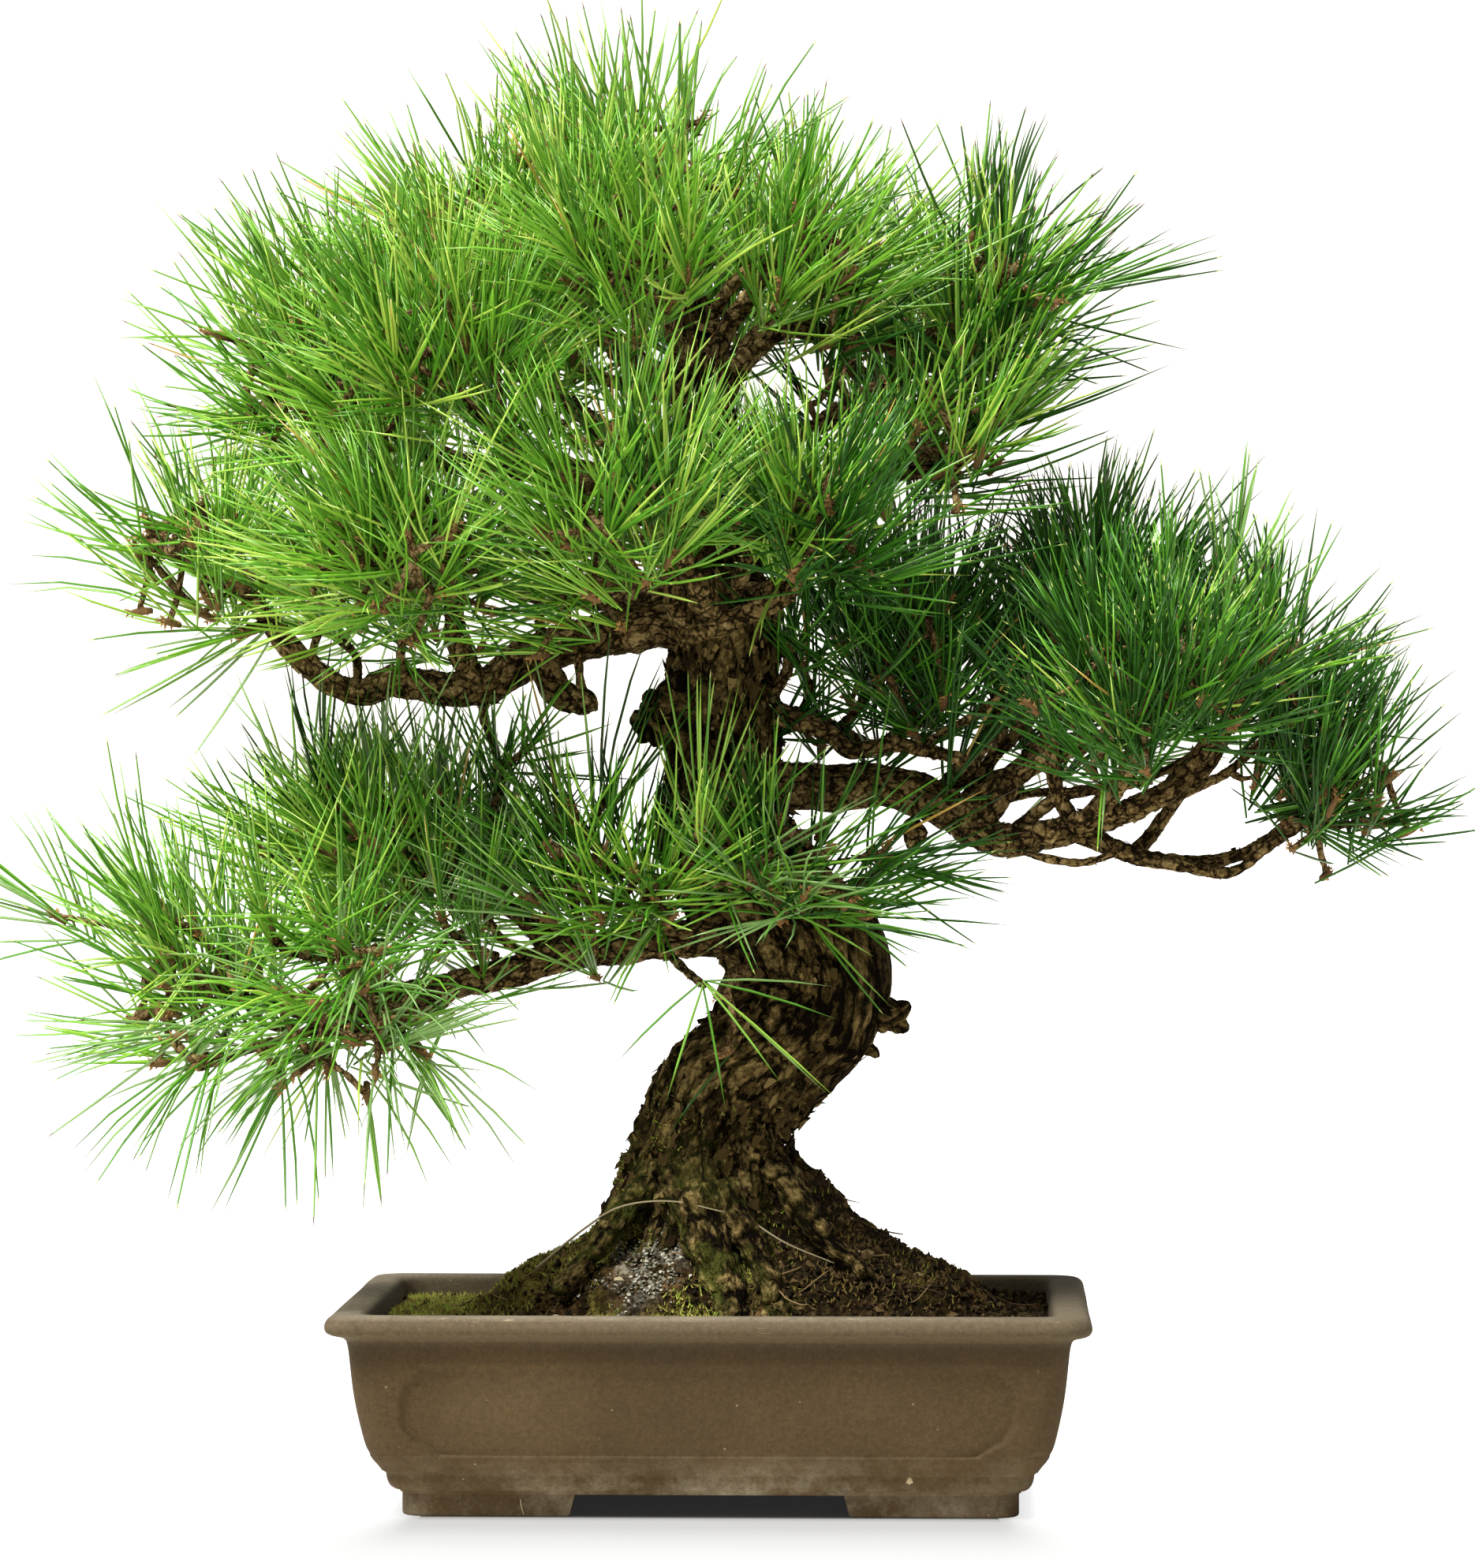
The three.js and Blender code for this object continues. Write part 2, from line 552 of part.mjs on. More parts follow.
function skeletonOf(mass, order) {
  const random = seeded(SEED + order);
  const walls = wallsOf(mass);
  const root = rootOf(mass);
  const sites = sitesOf(mass, walls, random);
  sites.sort((a, b) => a.point.distanceTo(root.point) - b.point.distanceTo(root.point));
  const leader = sites.pop();
  const hub = root.point.clone().lerp(vector(mass.centre), 0.5);
  const early = root.onward
    ? root.point.clone().addScaledVector(root.onward, root.point.distanceTo(hub) / 2)
    : root.point.clone().lerp(hub, 0.5);
  const stem = [root.point, early, hub, leader.point];
  const shoots = [{
    points: stem,
    radii: [root.radius, STEM_END_RADIUS],
    axis: shootAxis(hub, leader.point, leader.outward, mass.lift),
  }];
  const joints = STEM_JOINTS.map((share) => {
    const along = share * (stem.length - 1);
    const before = Math.floor(along);
    return stem[before].clone().lerp(stem[before + 1], along - before);
  });
  for (const { point: site, outward } of sites) {
    const from = nearest(joints, site);
    const bow = new THREE.Vector3(random() - 0.5, random() - 0.5, -random());
    const middle = from.clone().lerp(site, 0.5).addScaledVector(bow, from.distanceTo(site) * TWIG_BOW);
    const free = clearOfLimbs(from, middle, LIMB_CLEARANCE, root.limb)
      && clearOfLimbs(middle, site, LIMB_CLEARANCE + CORE_RADIUS, null)
      && roomAt(middle, walls) > TWIG_RADIUS + CELL_MARGIN
      && roomAt(site, walls) > CORE_RADIUS * CORE_STRETCH + CELL_MARGIN;
    if (free) {
      shoots.push({
        points: [from, middle, site],
        radii: [TWIG_RADIUS, TWIG_RADIUS],
        axis: shootAxis(middle, site, outward, mass.lift),
      });
      joints.splice(joints.indexOf(from), 1, middle);
    }
  }
  return { root, shoots, walls, random };
}

// A slim core at a shoot's end: a stretched icosahedron with one face turned back to the twig
function coreOf(shoot) {
  const core = new THREE.IcosahedronGeometry(CORE_RADIUS, 0);
  core.deleteAttribute('normal');
  core.deleteAttribute('uv');
  const merged = mergeVertices(core, 1e-3);
  const position = merged.attributes.position;
  const points = [];
  for (let i = 0; i < position.count; i += 1) {
    points.push(new THREE.Vector3().fromBufferAttribute(position, i));
  }
  const faces = [];
  for (let i = 0; i < merged.index.count; i += 3) {
    faces.push([0, 1, 2].map((k) => merged.index.getX(i + k)));
  }
  const back = faces.shift();
  const backNormal = back.reduce((sum, k) => sum.add(points[k]), new THREE.Vector3()).normalize();
  const turn = new THREE.Quaternion().setFromUnitVectors(backNormal, new THREE.Vector3(0, 0, -1));
  const toAxis = new THREE.Quaternion().setFromUnitVectors(new THREE.Vector3(0, 0, 1), shoot.axis);
  for (const point of points) {
    point.applyQuaternion(turn);
    point.z *= CORE_STRETCH;
    point.applyQuaternion(toAxis).add(shoot.points.at(-1));
  }
  return { points, faces, back };
}

// A shoot: the twig's three sides run on from the core's back face to its root, and the core's
// other faces are drawn out into needles
function makeShoot(shoot, mass, skeleton, placed) {
  const { points, faces, back } = coreOf(shoot);
  const skin = faces.flatMap((corners) => {
    const [a, b, c] = corners.map((k) => points[k]);
    const normal = b.clone().sub(a).cross(c.clone().sub(a)).normalize();
    const foot = a.clone().add(b).add(c).divideScalar(3);
    const direction = normal.addScaledVector(shoot.axis, NEEDLE_LEAN).normalize();
    const tip = needleTip(foot, direction, mass, skeleton, placed, shoot);
    if (!tip) {
      return [corners];
    }
    points.push(tip);
    const top = points.length - 1;
    return [[corners[0], corners[1], top], [corners[1], corners[2], top], [corners[2], corners[0], top]];
  });
  const faceCentre = back.reduce((sum, k) => sum.add(points[k]), new THREE.Vector3()).divideScalar(3);
  const arms = back.map((k) => points[k].clone().sub(faceCentre));
  const faceRadius = arms[0].length();
  const path = [...shoot.points.slice(0, -1), faceCentre];
  let ring = [...back];
  let heading = shoot.axis.clone();
  for (let i = path.length - 2; i >= 0; i -= 1) {
    const before = path[Math.max(i - 1, 0)];
    const tangent = path[i + 1].clone().sub(before).normalize();
    const bend = new THREE.Quaternion().setFromUnitVectors(heading, tangent);
    arms.forEach((arm) => arm.applyQuaternion(bend));
    heading = tangent;
    const size = mix(shoot.radii[0], shoot.radii[1], i / (path.length - 1)) / faceRadius;
    const next = arms.map((arm) => points.push(path[i].clone().addScaledVector(arm, size)) - 1);
    for (let side = 0; side < 3; side += 1) {
      const other = (side + 1) % 3;
      skin.push([ring[side], ring[other], next[other]], [ring[side], next[other], next[side]]);
    }
    ring = next;
  }
  skin.push(ring);
  return solidFrom(points, skin);
}

// A needle keeps its full length where it can, is shorter near a wall of its space or another
// needle, and is left out where only a stump would fit
function needleTip(foot, direction, mass, skeleton, placed, shoot) {
  const full = mix(NEEDLE_LENGTH[0], NEEDLE_LENGTH[1], skeleton.random());
  const start = foot.clone().addScaledVector(direction, CORE_RADIUS);
  for (let length = full; length > full * SHORTEST_NEEDLE; length *= 0.9) {
    const tip = foot.clone().addScaledVector(direction, length);
    const free = roomAt(tip, skeleton.walls) > CELL_MARGIN
      && insideEllipsoid(tip, mass, 1)
      && clearOfLimbs(foot, tip, LIMB_CLEARANCE, null)
      && placed.every(([a, b]) => distanceBetween(a, b, start, tip) > NEEDLE_CLEARANCE)
      && clearOfShoots(start, tip, skeleton.shoots, shoot);
    if (free) {
      placed.push([start, tip]);
      return tip;
    }
  }
  return null;
}

function clearOfShoots(start, tip, shoots, own) {
  return shoots.every((shoot) => {
    const clearOfTwig = shoot.points.slice(1).every((point, i) => (
      distanceBetween(start, tip, shoot.points[i], point) > TWIG_CLEARANCE
    ));
    const coreBack = shoot.points.at(-1);
    const coreFront = coreBack.clone().addScaledVector(shoot.axis, CORE_RADIUS);
    const clearOfCore = distanceBetween(start, tip, coreBack, coreFront) > 2 * CORE_RADIUS;
    return shoot === own || (clearOfTwig && clearOfCore);
  });
}

function makeMass(mass, order, grownLimbs) {
  const skeleton = skeletonOf(mass, order);
  const placed = [];
  const parts = skeleton.shoots.map((shoot) => makeShoot(shoot, mass, skeleton, placed));
  const fused = parts.reduce((whole, part) => whole.add(part));
  return largest(grownLimbs.reduce((rest, limb) => rest.subtract(limb), fused));
}

// Materials
function finish(color, roughness) {
  return new THREE.MeshStandardMaterial({ color, roughness, metalness: 0 });
}

const FINISHES = {
  clay: finish(0x6b5440, 0.8),
  soil: finish(0x3a2f1f, 0.95),
  bark: finish(0x4a3a28, 0.9),
  limb: finish(0x5c4833, 0.85),
  brightNeedles: finish(0x5fa03a, 0.5),
  deepNeedles: finish(0x3f7a30, 0.5),
};
const BRIGHT_FROM_HEIGHT = 440;

// Assembly
const tree = new THREE.Group();

function addPiece(name, solid, material) {
  const mesh = new THREE.Mesh(geometryFrom(solid), material);
  mesh.name = name;
  tree.add(mesh);
}

const grownTrunk = makeTrunk(CLEAR_GAP);
addPiece('pot', makePot(), FINISHES.clay);
addPiece('soil', makeSoil(grownTrunk), FINISHES.soil);
addPiece('trunk', makeTrunk(), FINISHES.bark);

const grownLimbs = [grownTrunk];
for (const { name, points, radii, sides } of BOUGHS) {
  const limb = taperedLimb(points, radii, sides);
  const clear = largest(grownLimbs.reduce((rest, other) => rest.subtract(other), limb));
  addPiece(`bough_${name}`, clear, FINISHES.limb);
  grownLimbs.push(taperedLimb(points, radii, sides, CLEAR_GAP));
}

MASSES.forEach((mass, order) => {
  const material = mass.centre[2] > BRIGHT_FROM_HEIGHT ? FINISHES.brightNeedles : FINISHES.deepNeedles;
  addPiece(`needles_${mass.name}`, makeMass(mass, order, grownLimbs), material);
});

const box = new THREE.Box3().setFromObject(tree);
const middle = box.getCenter(new THREE.Vector3());
tree.position.set(-middle.x, -middle.y, 0);
tree.updateMatrixWorld(true);

export default tree;
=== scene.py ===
"""Looks of the black pine bonsai: bark, twigs, needles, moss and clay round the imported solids.

Lengths are millimetres in the tree's own layout, which is centred on the pot with z = 0 under
its feet. place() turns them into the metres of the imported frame.
"""

import math

import bpy
import numpy as np
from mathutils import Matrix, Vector
from mathutils.geometry import tessellate_polygon


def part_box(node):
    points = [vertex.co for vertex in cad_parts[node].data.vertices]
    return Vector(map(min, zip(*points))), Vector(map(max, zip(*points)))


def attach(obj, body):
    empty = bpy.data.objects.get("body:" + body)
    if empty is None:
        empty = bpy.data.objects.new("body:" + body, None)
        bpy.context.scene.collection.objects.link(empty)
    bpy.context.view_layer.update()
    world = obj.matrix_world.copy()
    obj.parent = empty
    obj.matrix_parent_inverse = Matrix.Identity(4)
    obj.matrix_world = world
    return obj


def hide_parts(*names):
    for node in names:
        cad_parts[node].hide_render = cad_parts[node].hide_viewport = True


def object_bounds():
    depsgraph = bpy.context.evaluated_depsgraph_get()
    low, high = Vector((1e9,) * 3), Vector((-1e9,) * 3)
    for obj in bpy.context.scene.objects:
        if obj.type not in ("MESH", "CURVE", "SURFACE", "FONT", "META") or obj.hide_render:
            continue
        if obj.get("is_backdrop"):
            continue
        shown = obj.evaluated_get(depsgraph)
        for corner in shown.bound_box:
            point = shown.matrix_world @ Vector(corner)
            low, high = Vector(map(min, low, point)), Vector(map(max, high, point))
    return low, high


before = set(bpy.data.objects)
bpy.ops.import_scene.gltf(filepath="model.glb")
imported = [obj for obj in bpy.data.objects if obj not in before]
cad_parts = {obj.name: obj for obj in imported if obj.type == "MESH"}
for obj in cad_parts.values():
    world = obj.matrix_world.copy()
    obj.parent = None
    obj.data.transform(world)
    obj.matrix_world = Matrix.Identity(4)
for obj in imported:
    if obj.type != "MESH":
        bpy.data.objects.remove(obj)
solid_low, solid_high = (np.array(corner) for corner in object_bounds())
pot_low, pot_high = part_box("pot")
SHIFT = np.array([(pot_low.x + pot_high.x) / 2, (pot_low.y + pot_high.y) / 2, 0.0])
MM = 0.001
UP = np.array([0.0, 0.0, 1.0])
GOLDEN = math.pi * (3 - math.sqrt(5))

# The limbs and the masses of needles, as in the part's source
GROUND = 87.3
STEP = 27
TRUNK = [
    (-5, 0, GROUND, 60), (-6, 0, 118, 50), (-5, 0, 153, 42), (4, 0, 190, 33.5), (32, 0, 222, 32),
    (45, 0, 251, 33.5), (26, 0, 286, 31.5), (5, 0, 320, 31), (3, 0, 352, 29), (1, 0, 385, 26),
    (4, -2, 418, 25), (-1, -3, 452, 20), (-6, -3, 500, 16), (-9, -6, 545, 12), (-20, -9, 585, 8),
]
TRUNK_STEPS = 21
ROOT_LIMIT = 110
# Roots at the trunk's foot: angle, reach, height and spread in degrees
ROOTS = [
    (-6, 80, 48, 24), (62, 24, 34, 26), (128, 28, 30, 26), (186, 26, 32, 28), (238, 26, 30, 24),
    (300, 34, 34, 24),
]
# Boughs: radii at root and tip, and centre line
BOUGHS = {
    "left_low": ((10, 4.5), ((14, -6, 272), (-56, -25, 266), (-120, -40, 250), (-185, -50, 239),
        (-222, -52, 246))),
    "left_low_front": ((4.6, 3), ((-118, -40, 250), (-146, -70, 238), (-166, -92, 238))),
    "left_low_upper": ((4.8, 3), ((-78, -30, 262), (-104, -18, 292), (-134, -12, 314))),
    "left_low_back": ((5.4, 3.2), ((-60, -25, 265), (-98, 30, 280), (-126, 66, 298))),
    "right": ((13, 4.6), ((6, 0, 345), (52, 0, 345), (97, -2, 341), (136, -10, 318),
        (172, -15, 324), (213, -22, 338), (246, -24, 372))),
    "right_low": ((5, 2.8), ((176, -15, 322), (211, -22, 309), (252, -24, 311), (282, -24, 332))),
    "right_front": ((5, 3), ((178, -17, 326), (192, -46, 342), (202, -72, 366))),
    "right_upper": ((6, 3.4), ((124, -6, 325), (154, 12, 359), (178, 18, 392))),
    "right_back": ((6, 3.4), ((108, -4, 334), (124, 52, 358), (140, 82, 384))),
    "right_inner": ((7, 3.4), ((4, 4, 377), (40, 10, 376), (76, 24, 363), (98, 32, 382))),
    "left": ((12, 4.2), ((2, -4, 420), (-42, -8, 421), (-89, -12, 406), (-116, -20, 391),
        (-154, -28, 394), (-172, -32, 389), (-197, -36, 403), (-216, -38, 424))),
    "left_upright": ((6, 3.8), ((-116, -20, 392), (-124, -32, 414), (-124, -50, 436),
        (-120, -62, 454))),
    "left_stub": ((5.5, 6.5), ((-88, -12, 408), (-85, -30, 403), (-77, -33, 389), (-64, -34, 385))),
    "left_back": ((8, 3.6), ((-1, -1, 436), (-62, 36, 436), (-126, 56, 444))),
    "left_upper": ((9, 4), ((-3, -3, 470), (-63, -28, 495), (-128, -38, 500), (-172, -30, 530))),
    "left_upper_fork": ((5, 3.4), ((-78, -32, 496), (-100, -56, 508), (-116, -78, 526))),
    "left_top": ((7, 4), ((-8, -6, 536), (-48, -14, 556), (-84, -14, 592))),
    "arch": ((8, 3.8), ((-7, -5, 522), (14, 2, 554), (36, 6, 568), (66, 6, 560), (104, 4, 560))),
    "apex_front": ((6, 3.6), ((-8, -6, 526), (4, -28, 560), (20, -34, 584))),
    "upper_right": ((7.5, 3.6), ((-4, -3, 478), (46, -6, 482), (88, -12, 498))),
    "front": ((9, 4), ((3, -4, 424), (-4, -48, 432), (-14, -86, 456))),
    "front_right": ((6.5, 3.6), ((4, -4, 436), (32, -42, 440), (46, -68, 454))),
    "back_left": ((7, 3.6), ((-6, -3, 500), (-54, 46, 518), (-88, 74, 544))),
    "back_right": ((7, 3.6), ((-6, -3, 508), (38, 44, 518), (68, 70, 536))),
    "back_low": ((7, 3.6), ((-1, 0, 452), (-8, 46, 456), (-16, 78, 470))),
}
# Masses of needles: name, bough or root, centre, radii, number of shoots and lift
MASSES = [
    ("lower_left_tip", "left_low", (-260, -48, 256), (90, 82, 88), 6, 0.1),
    ("lower_left_front", "left_low_front", (-178, -112, 236), (96, 86, 108), 6, -0.4),
    ("lower_left_upper", "left_low_upper", (-160, -12, 326), (108, 74, 60), 6, 0.7),
    ("lower_left_back", "left_low_back", (-160, 82, 290), (112, 82, 86), 6, 0.3),
    ("lower_left_inner", (8, -8, 290), (-66, -60, 306), (84, 76, 68), 5, 0.5),
    ("lower_front", (14, -8, 300), (46, -78, 308), (100, 72, 66), 5, 0.3),
    ("low_sprig", (20, -8, 258), (-2, -72, 248), (66, 60, 66), 1, -0.3),
    ("right_tip", "right_low", (306, -26, 354), (62, 80, 74), 6, 0),
    ("right_outer", "right", (262, -6, 410), (88, 92, 70), 6, 0.4),
    ("right_front", "right_front", (210, -96, 406), (98, 76, 78), 5, 0.4),
    ("right_top", "right_upper", (190, 14, 444), (92, 82, 72), 5, 0.8),
    ("right_back", "right_back", (182, 112, 404), (110, 84, 84), 6, 0.4),
    ("right_inner", "right_inner", (94, 16, 422), (78, 84, 74), 6, 0.4),
    ("left_tip", "left", (-256, -40, 460), (92, 84, 76), 6, 0.1),
    ("left_front", "left_upright", (-160, -112, 458), (96, 86, 78), 6, 0.1),
    ("left_back", "left_back", (-184, 78, 462), (104, 88, 80), 6, 0.3),
    ("left_inner", (0, -6, 446), (-84, -64, 440), (66, 66, 56), 3, 0.1),
    ("upper_left", "left_upper", (-208, -20, 544), (92, 90, 82), 6, 0.4),
    ("upper_left_front", "left_upper_fork", (-128, -112, 560), (92, 88, 80), 6, 0.5),
    ("top_left", "left_top", (-132, -8, 618), (90, 88, 74), 6, 0.7),
    ("top", "trunk", (-46, -14, 648), (84, 90, 80), 6, 0.9),
    ("top_right", "apex_front", (60, -22, 606), (84, 86, 66), 6, 0.7),
    ("upper_right", "arch", (136, 2, 582), (84, 86, 84), 6, 0.5),
    ("right_shoulder", "upper_right", (116, -34, 516), (82, 80, 58), 5, 0.3),
    ("centre_front", "front", (-44, -132, 490), (88, 80, 78), 6, 0.3),
    ("front_right", "front_right", (54, -112, 480), (86, 84, 68), 5, 0.2),
    ("top_front", (-8, -6, 540), (-46, -104, 606), (84, 80, 78), 5, 0.7),
    ("back_left", "back_left", (-126, 104, 572), (104, 92, 90), 6, 0.5),
    ("back_top", (-10, -6, 556), (-10, 104, 608), (90, 86, 82), 5, 0.7),
    ("back_right", "back_right", (96, 104, 556), (96, 86, 82), 5, 0.5),
    ("back_low", "back_low", (-18, 126, 482), (94, 86, 72), 5, 0.2),
]
MASS_NAMES = [row[0] for row in MASSES]

# Finer limbs that grow on from the boughs and the trunk: radii at root and tip, centre line
FINE_LIMBS = [
    ((4.5, 3), ((180, -18, 328), (190, -26, 341), (200, -36, 353), (201, -46, 368), (188, -58, 384))),
    ((3.2, 2.6), ((200, -41, 362), (206, -50, 375), (216, -58, 388))),
    ((4, 3), ((171, -16, 328), (164, -20, 347), (161, -24, 375))),
    ((5.5, 3.5), ((121, -8, 331), (136, -4, 345), (157, 4, 359), (184, 10, 371))),
    ((3, 2.3), ((203, -23, 311), (225, -27, 306), (248, -30, 303), (264, -32, 314), (281, -34, 325))),
    ((2, 1.8), ((146, -18, 314), (157, -26, 309), (174, -28, 308), (193, -22, 313))),
    ((5, 3), ((29, -14, 380), (53, -18, 370), (66, -20, 361), (84, -20, 364), (102, -18, 361),
     (120, -12, 357))),
    ((2.6, 1.8), ((-112, -24, 385), (-111, -30, 375), (-106, -34, 364), (-103, -36, 341))),
    ((3, 2.2), ((-192, -36, 401), (-204, -40, 416), (-212, -46, 426), (-229, -54, 441))),
    ((6, 3.4), ((-15, -20, 425), (-19, -42, 440), (-13, -62, 454))),
    ((6, 3), ((-14, -20, 417), (11, -40, 425), (30, -52, 432), (40, -60, 442), (42, -65, 454))),
    ((4, 2.8), ((7, -22, 434), (17, -54, 454), (20, -64, 466))),
    ((3.6, 2.6), ((3, -28, 565), (-1, -24, 569), (8, -30, 585), (17, -34, 593), (26, -38, 598))),
    ((4, 2.6), ((-22, -8, 572), (-30, -16, 597), (-32, -24, 614), (-34, -28, 634))),
    ((4, 2.6), ((-16, -6, 532), (-44, -22, 538), (-62, -40, 544))),
    ((3.6, 2.6), ((87, -14, 495), (111, -20, 499), (130, -26, 510), (140, -30, 525))),
    ((4, 2.4), ((-185, -50, 239), (-224, -56, 241), (-240, -60, 250), (-256, -66, 265),
     (-268, -71, 278))),
    ((3, 2.2), ((-160, -46, 249), (-168, -60, 262), (-176, -72, 267), (-188, -80, 264),
     (-202, -88, 267), (-208, -93, 276))),
    ((4, 2.6), ((-117, -40, 252), (-135, -60, 239), (-150, -80, 230), (-165, -95, 228),
     (-184, -106, 234))),
    ((2.6, 2.2), ((-150, -80, 230), (-143, -94, 225), (-136, -103, 220))),
    ((2.6, 2.2), ((-180, -105, 234), (-194, -108, 227), (-221, -110, 219), (-241, -113, 213))),
    ((2.2, 2), ((-211, -109, 220), (-205, -114, 214), (-201, -117, 205))),
    ((2.2, 2), ((-186, -104, 232), (-181, -105, 221), (-180, -106, 212))),
    ((2.2, 2), ((-236, -112, 214), (-246, -113, 219), (-252, -114, 225))),
    ((2.4, 2), ((-25, -26, 265), (-15, -48, 257), (-4, -61, 250))),
    ((2.8, 2), ((-34, -30, 269), (-34, -54, 286), (-19, -72, 296), (-8, -86, 312), (-5, -91, 326))),
    ((2.6, 1.9), ((43, -32, 282), (63, -38, 291), (76, -46, 302), (86, -49, 310))),
    ((2.4, 2.0), ((128, 4, 330), (146, 22, 339), (169, 26, 341), (196, 28, 344), (219, 26, 352),
     (238, 24, 364))),
    ((2.2, 1.9), ((111, 10, 343), (125, 10, 348), (135, 10, 362), (140, 8, 375))),
    ((3.6, 2.6), ((200, -16, 309), (214, -3, 325), (226, 5, 341), (240, 6, 356), (249, 6, 375))),
    ((2.4, 2.0), ((204, -16, 335), (207, -6, 333), (226, -10, 341), (248, -12, 352),
     (264, -12, 364), (279, -12, 373))),
    ((2.2, 1.8), ((157, 15, 362), (169, 15, 373), (188, 16, 379), (200, 16, 389))),
    ((2.2, 1.8), ((106, -18, 359), (104, -8, 366), (123, -12, 377), (138, -14, 389))),
    ((2.5, 2.0), ((120, 36, 346), (146, 42, 352), (169, 44, 358), (193, 44, 370), (208, 42, 381))),
    ((2.2, 1.8), ((149, 22, 338), (146, 25, 348), (150, 26, 366), (146, 26, 385))),
    ((2.6, 2.0), ((-169, -26, 390), (-174, -10, 389), (-175, -14, 408), (-186, -20, 419),
     (-194, -24, 430))),
    ((3.0, 2.0), ((-194, -31, 400), (-199, -12, 403), (-212, -16, 419), (-221, -20, 431),
     (-232, -24, 461), (-235, -26, 480))),
    ((3.0, 2.0), ((-122, -10, 440), (-139, -14, 477), (-144, -18, 496))),
    ((2.6, 2.0), ((-122, -10, 440), (-145, -14, 450), (-167, -20, 461))),
    ((2.4, 3.0), ((-197, -10, 573), (-186, -10, 545), (-172, -29, 530))),
    ((3.0, 2.4), ((-72, -33, 391), (-79, -34, 402), (-83, -35, 411), (-84, -38, 426))),
    ((2.4, 2.0), ((-63, -34, 387), (-65, -36, 397), (-65, -38, 410))),
    ((2.6, 2.0), ((41, 5, 373), (40, 10, 376), (46, 6, 390), (42, 1, 400))),
    ((2.2, 1.8), ((44, 4, 392), (38, 8, 408), (35, 10, 421))),
    ((2.6, 1.9), ((58, 19, 371), (68, 22, 381), (73, 25, 391))),
    ((2.2, 1.8), ((70, 23, 386), (82, 36, 399), (95, 44, 407))),
    ((2.4, 1.9), ((80, 26, 366), (92, 28, 371), (103, 26, 378))),
    ((2.0, 1.9), ((-103, -36, 342), (-106, -38, 334), (-106, -38, 327))),
    ((1.8, 1.7), ((-105, -36, 351), (-98, -38, 356), (-91, -40, 361))),
    ((2.8, 2.0), ((-64, -29, 268), (-68, -32, 290), (-74, -35, 310), (-76, -36, 326))),
    ((2.4, 1.9), ((-69, -33, 298), (-61, -31, 318), (-54, -26, 338))),
    ((2.4, 1.9), ((-196, -36, 402), (-192, -42, 412), (-188, -47, 421))),
    ((2.6, 2.0), ((-214, -38, 422), (-222, -45, 421), (-229, -50, 417))),
    ((2.4, 1.9), ((-151, -34, 390), (-150, -27, 394), (-151, -36, 404), (-150, -42, 414))),
    ((2.2, 1.8), ((-105, -35, 262), (-118, -47, 268), (-129, -54, 280))),
    ((2.2, 1.8), ((-92, -39, 263), (-102, -44, 272), (-109, -50, 285))),
    ((2.2, 1.8), ((280, -26, 328), (296, -24, 325), (314, -21, 327))),
    ((6.0, 3.0), ((124, -8, 322), (147, -12, 348), (169, -16, 360), (191, -20, 370))),
    ((3.6, 2.4), ((138, -10, 318), (165, -18, 339), (188, -22, 343), (210, -26, 348))),
    ((3.6, 2.4), ((114, 0, 326), (133, 9, 355), (146, 14, 370), (153, 16, 381))),
    ((3.0, 2.2), ((100, 2, 338), (119, 14, 354), (134, 20, 370), (135, 22, 389))),
    ((3.0, 2.0), ((26, -6, 384), (34, -4, 398), (36, -2, 414))),
]

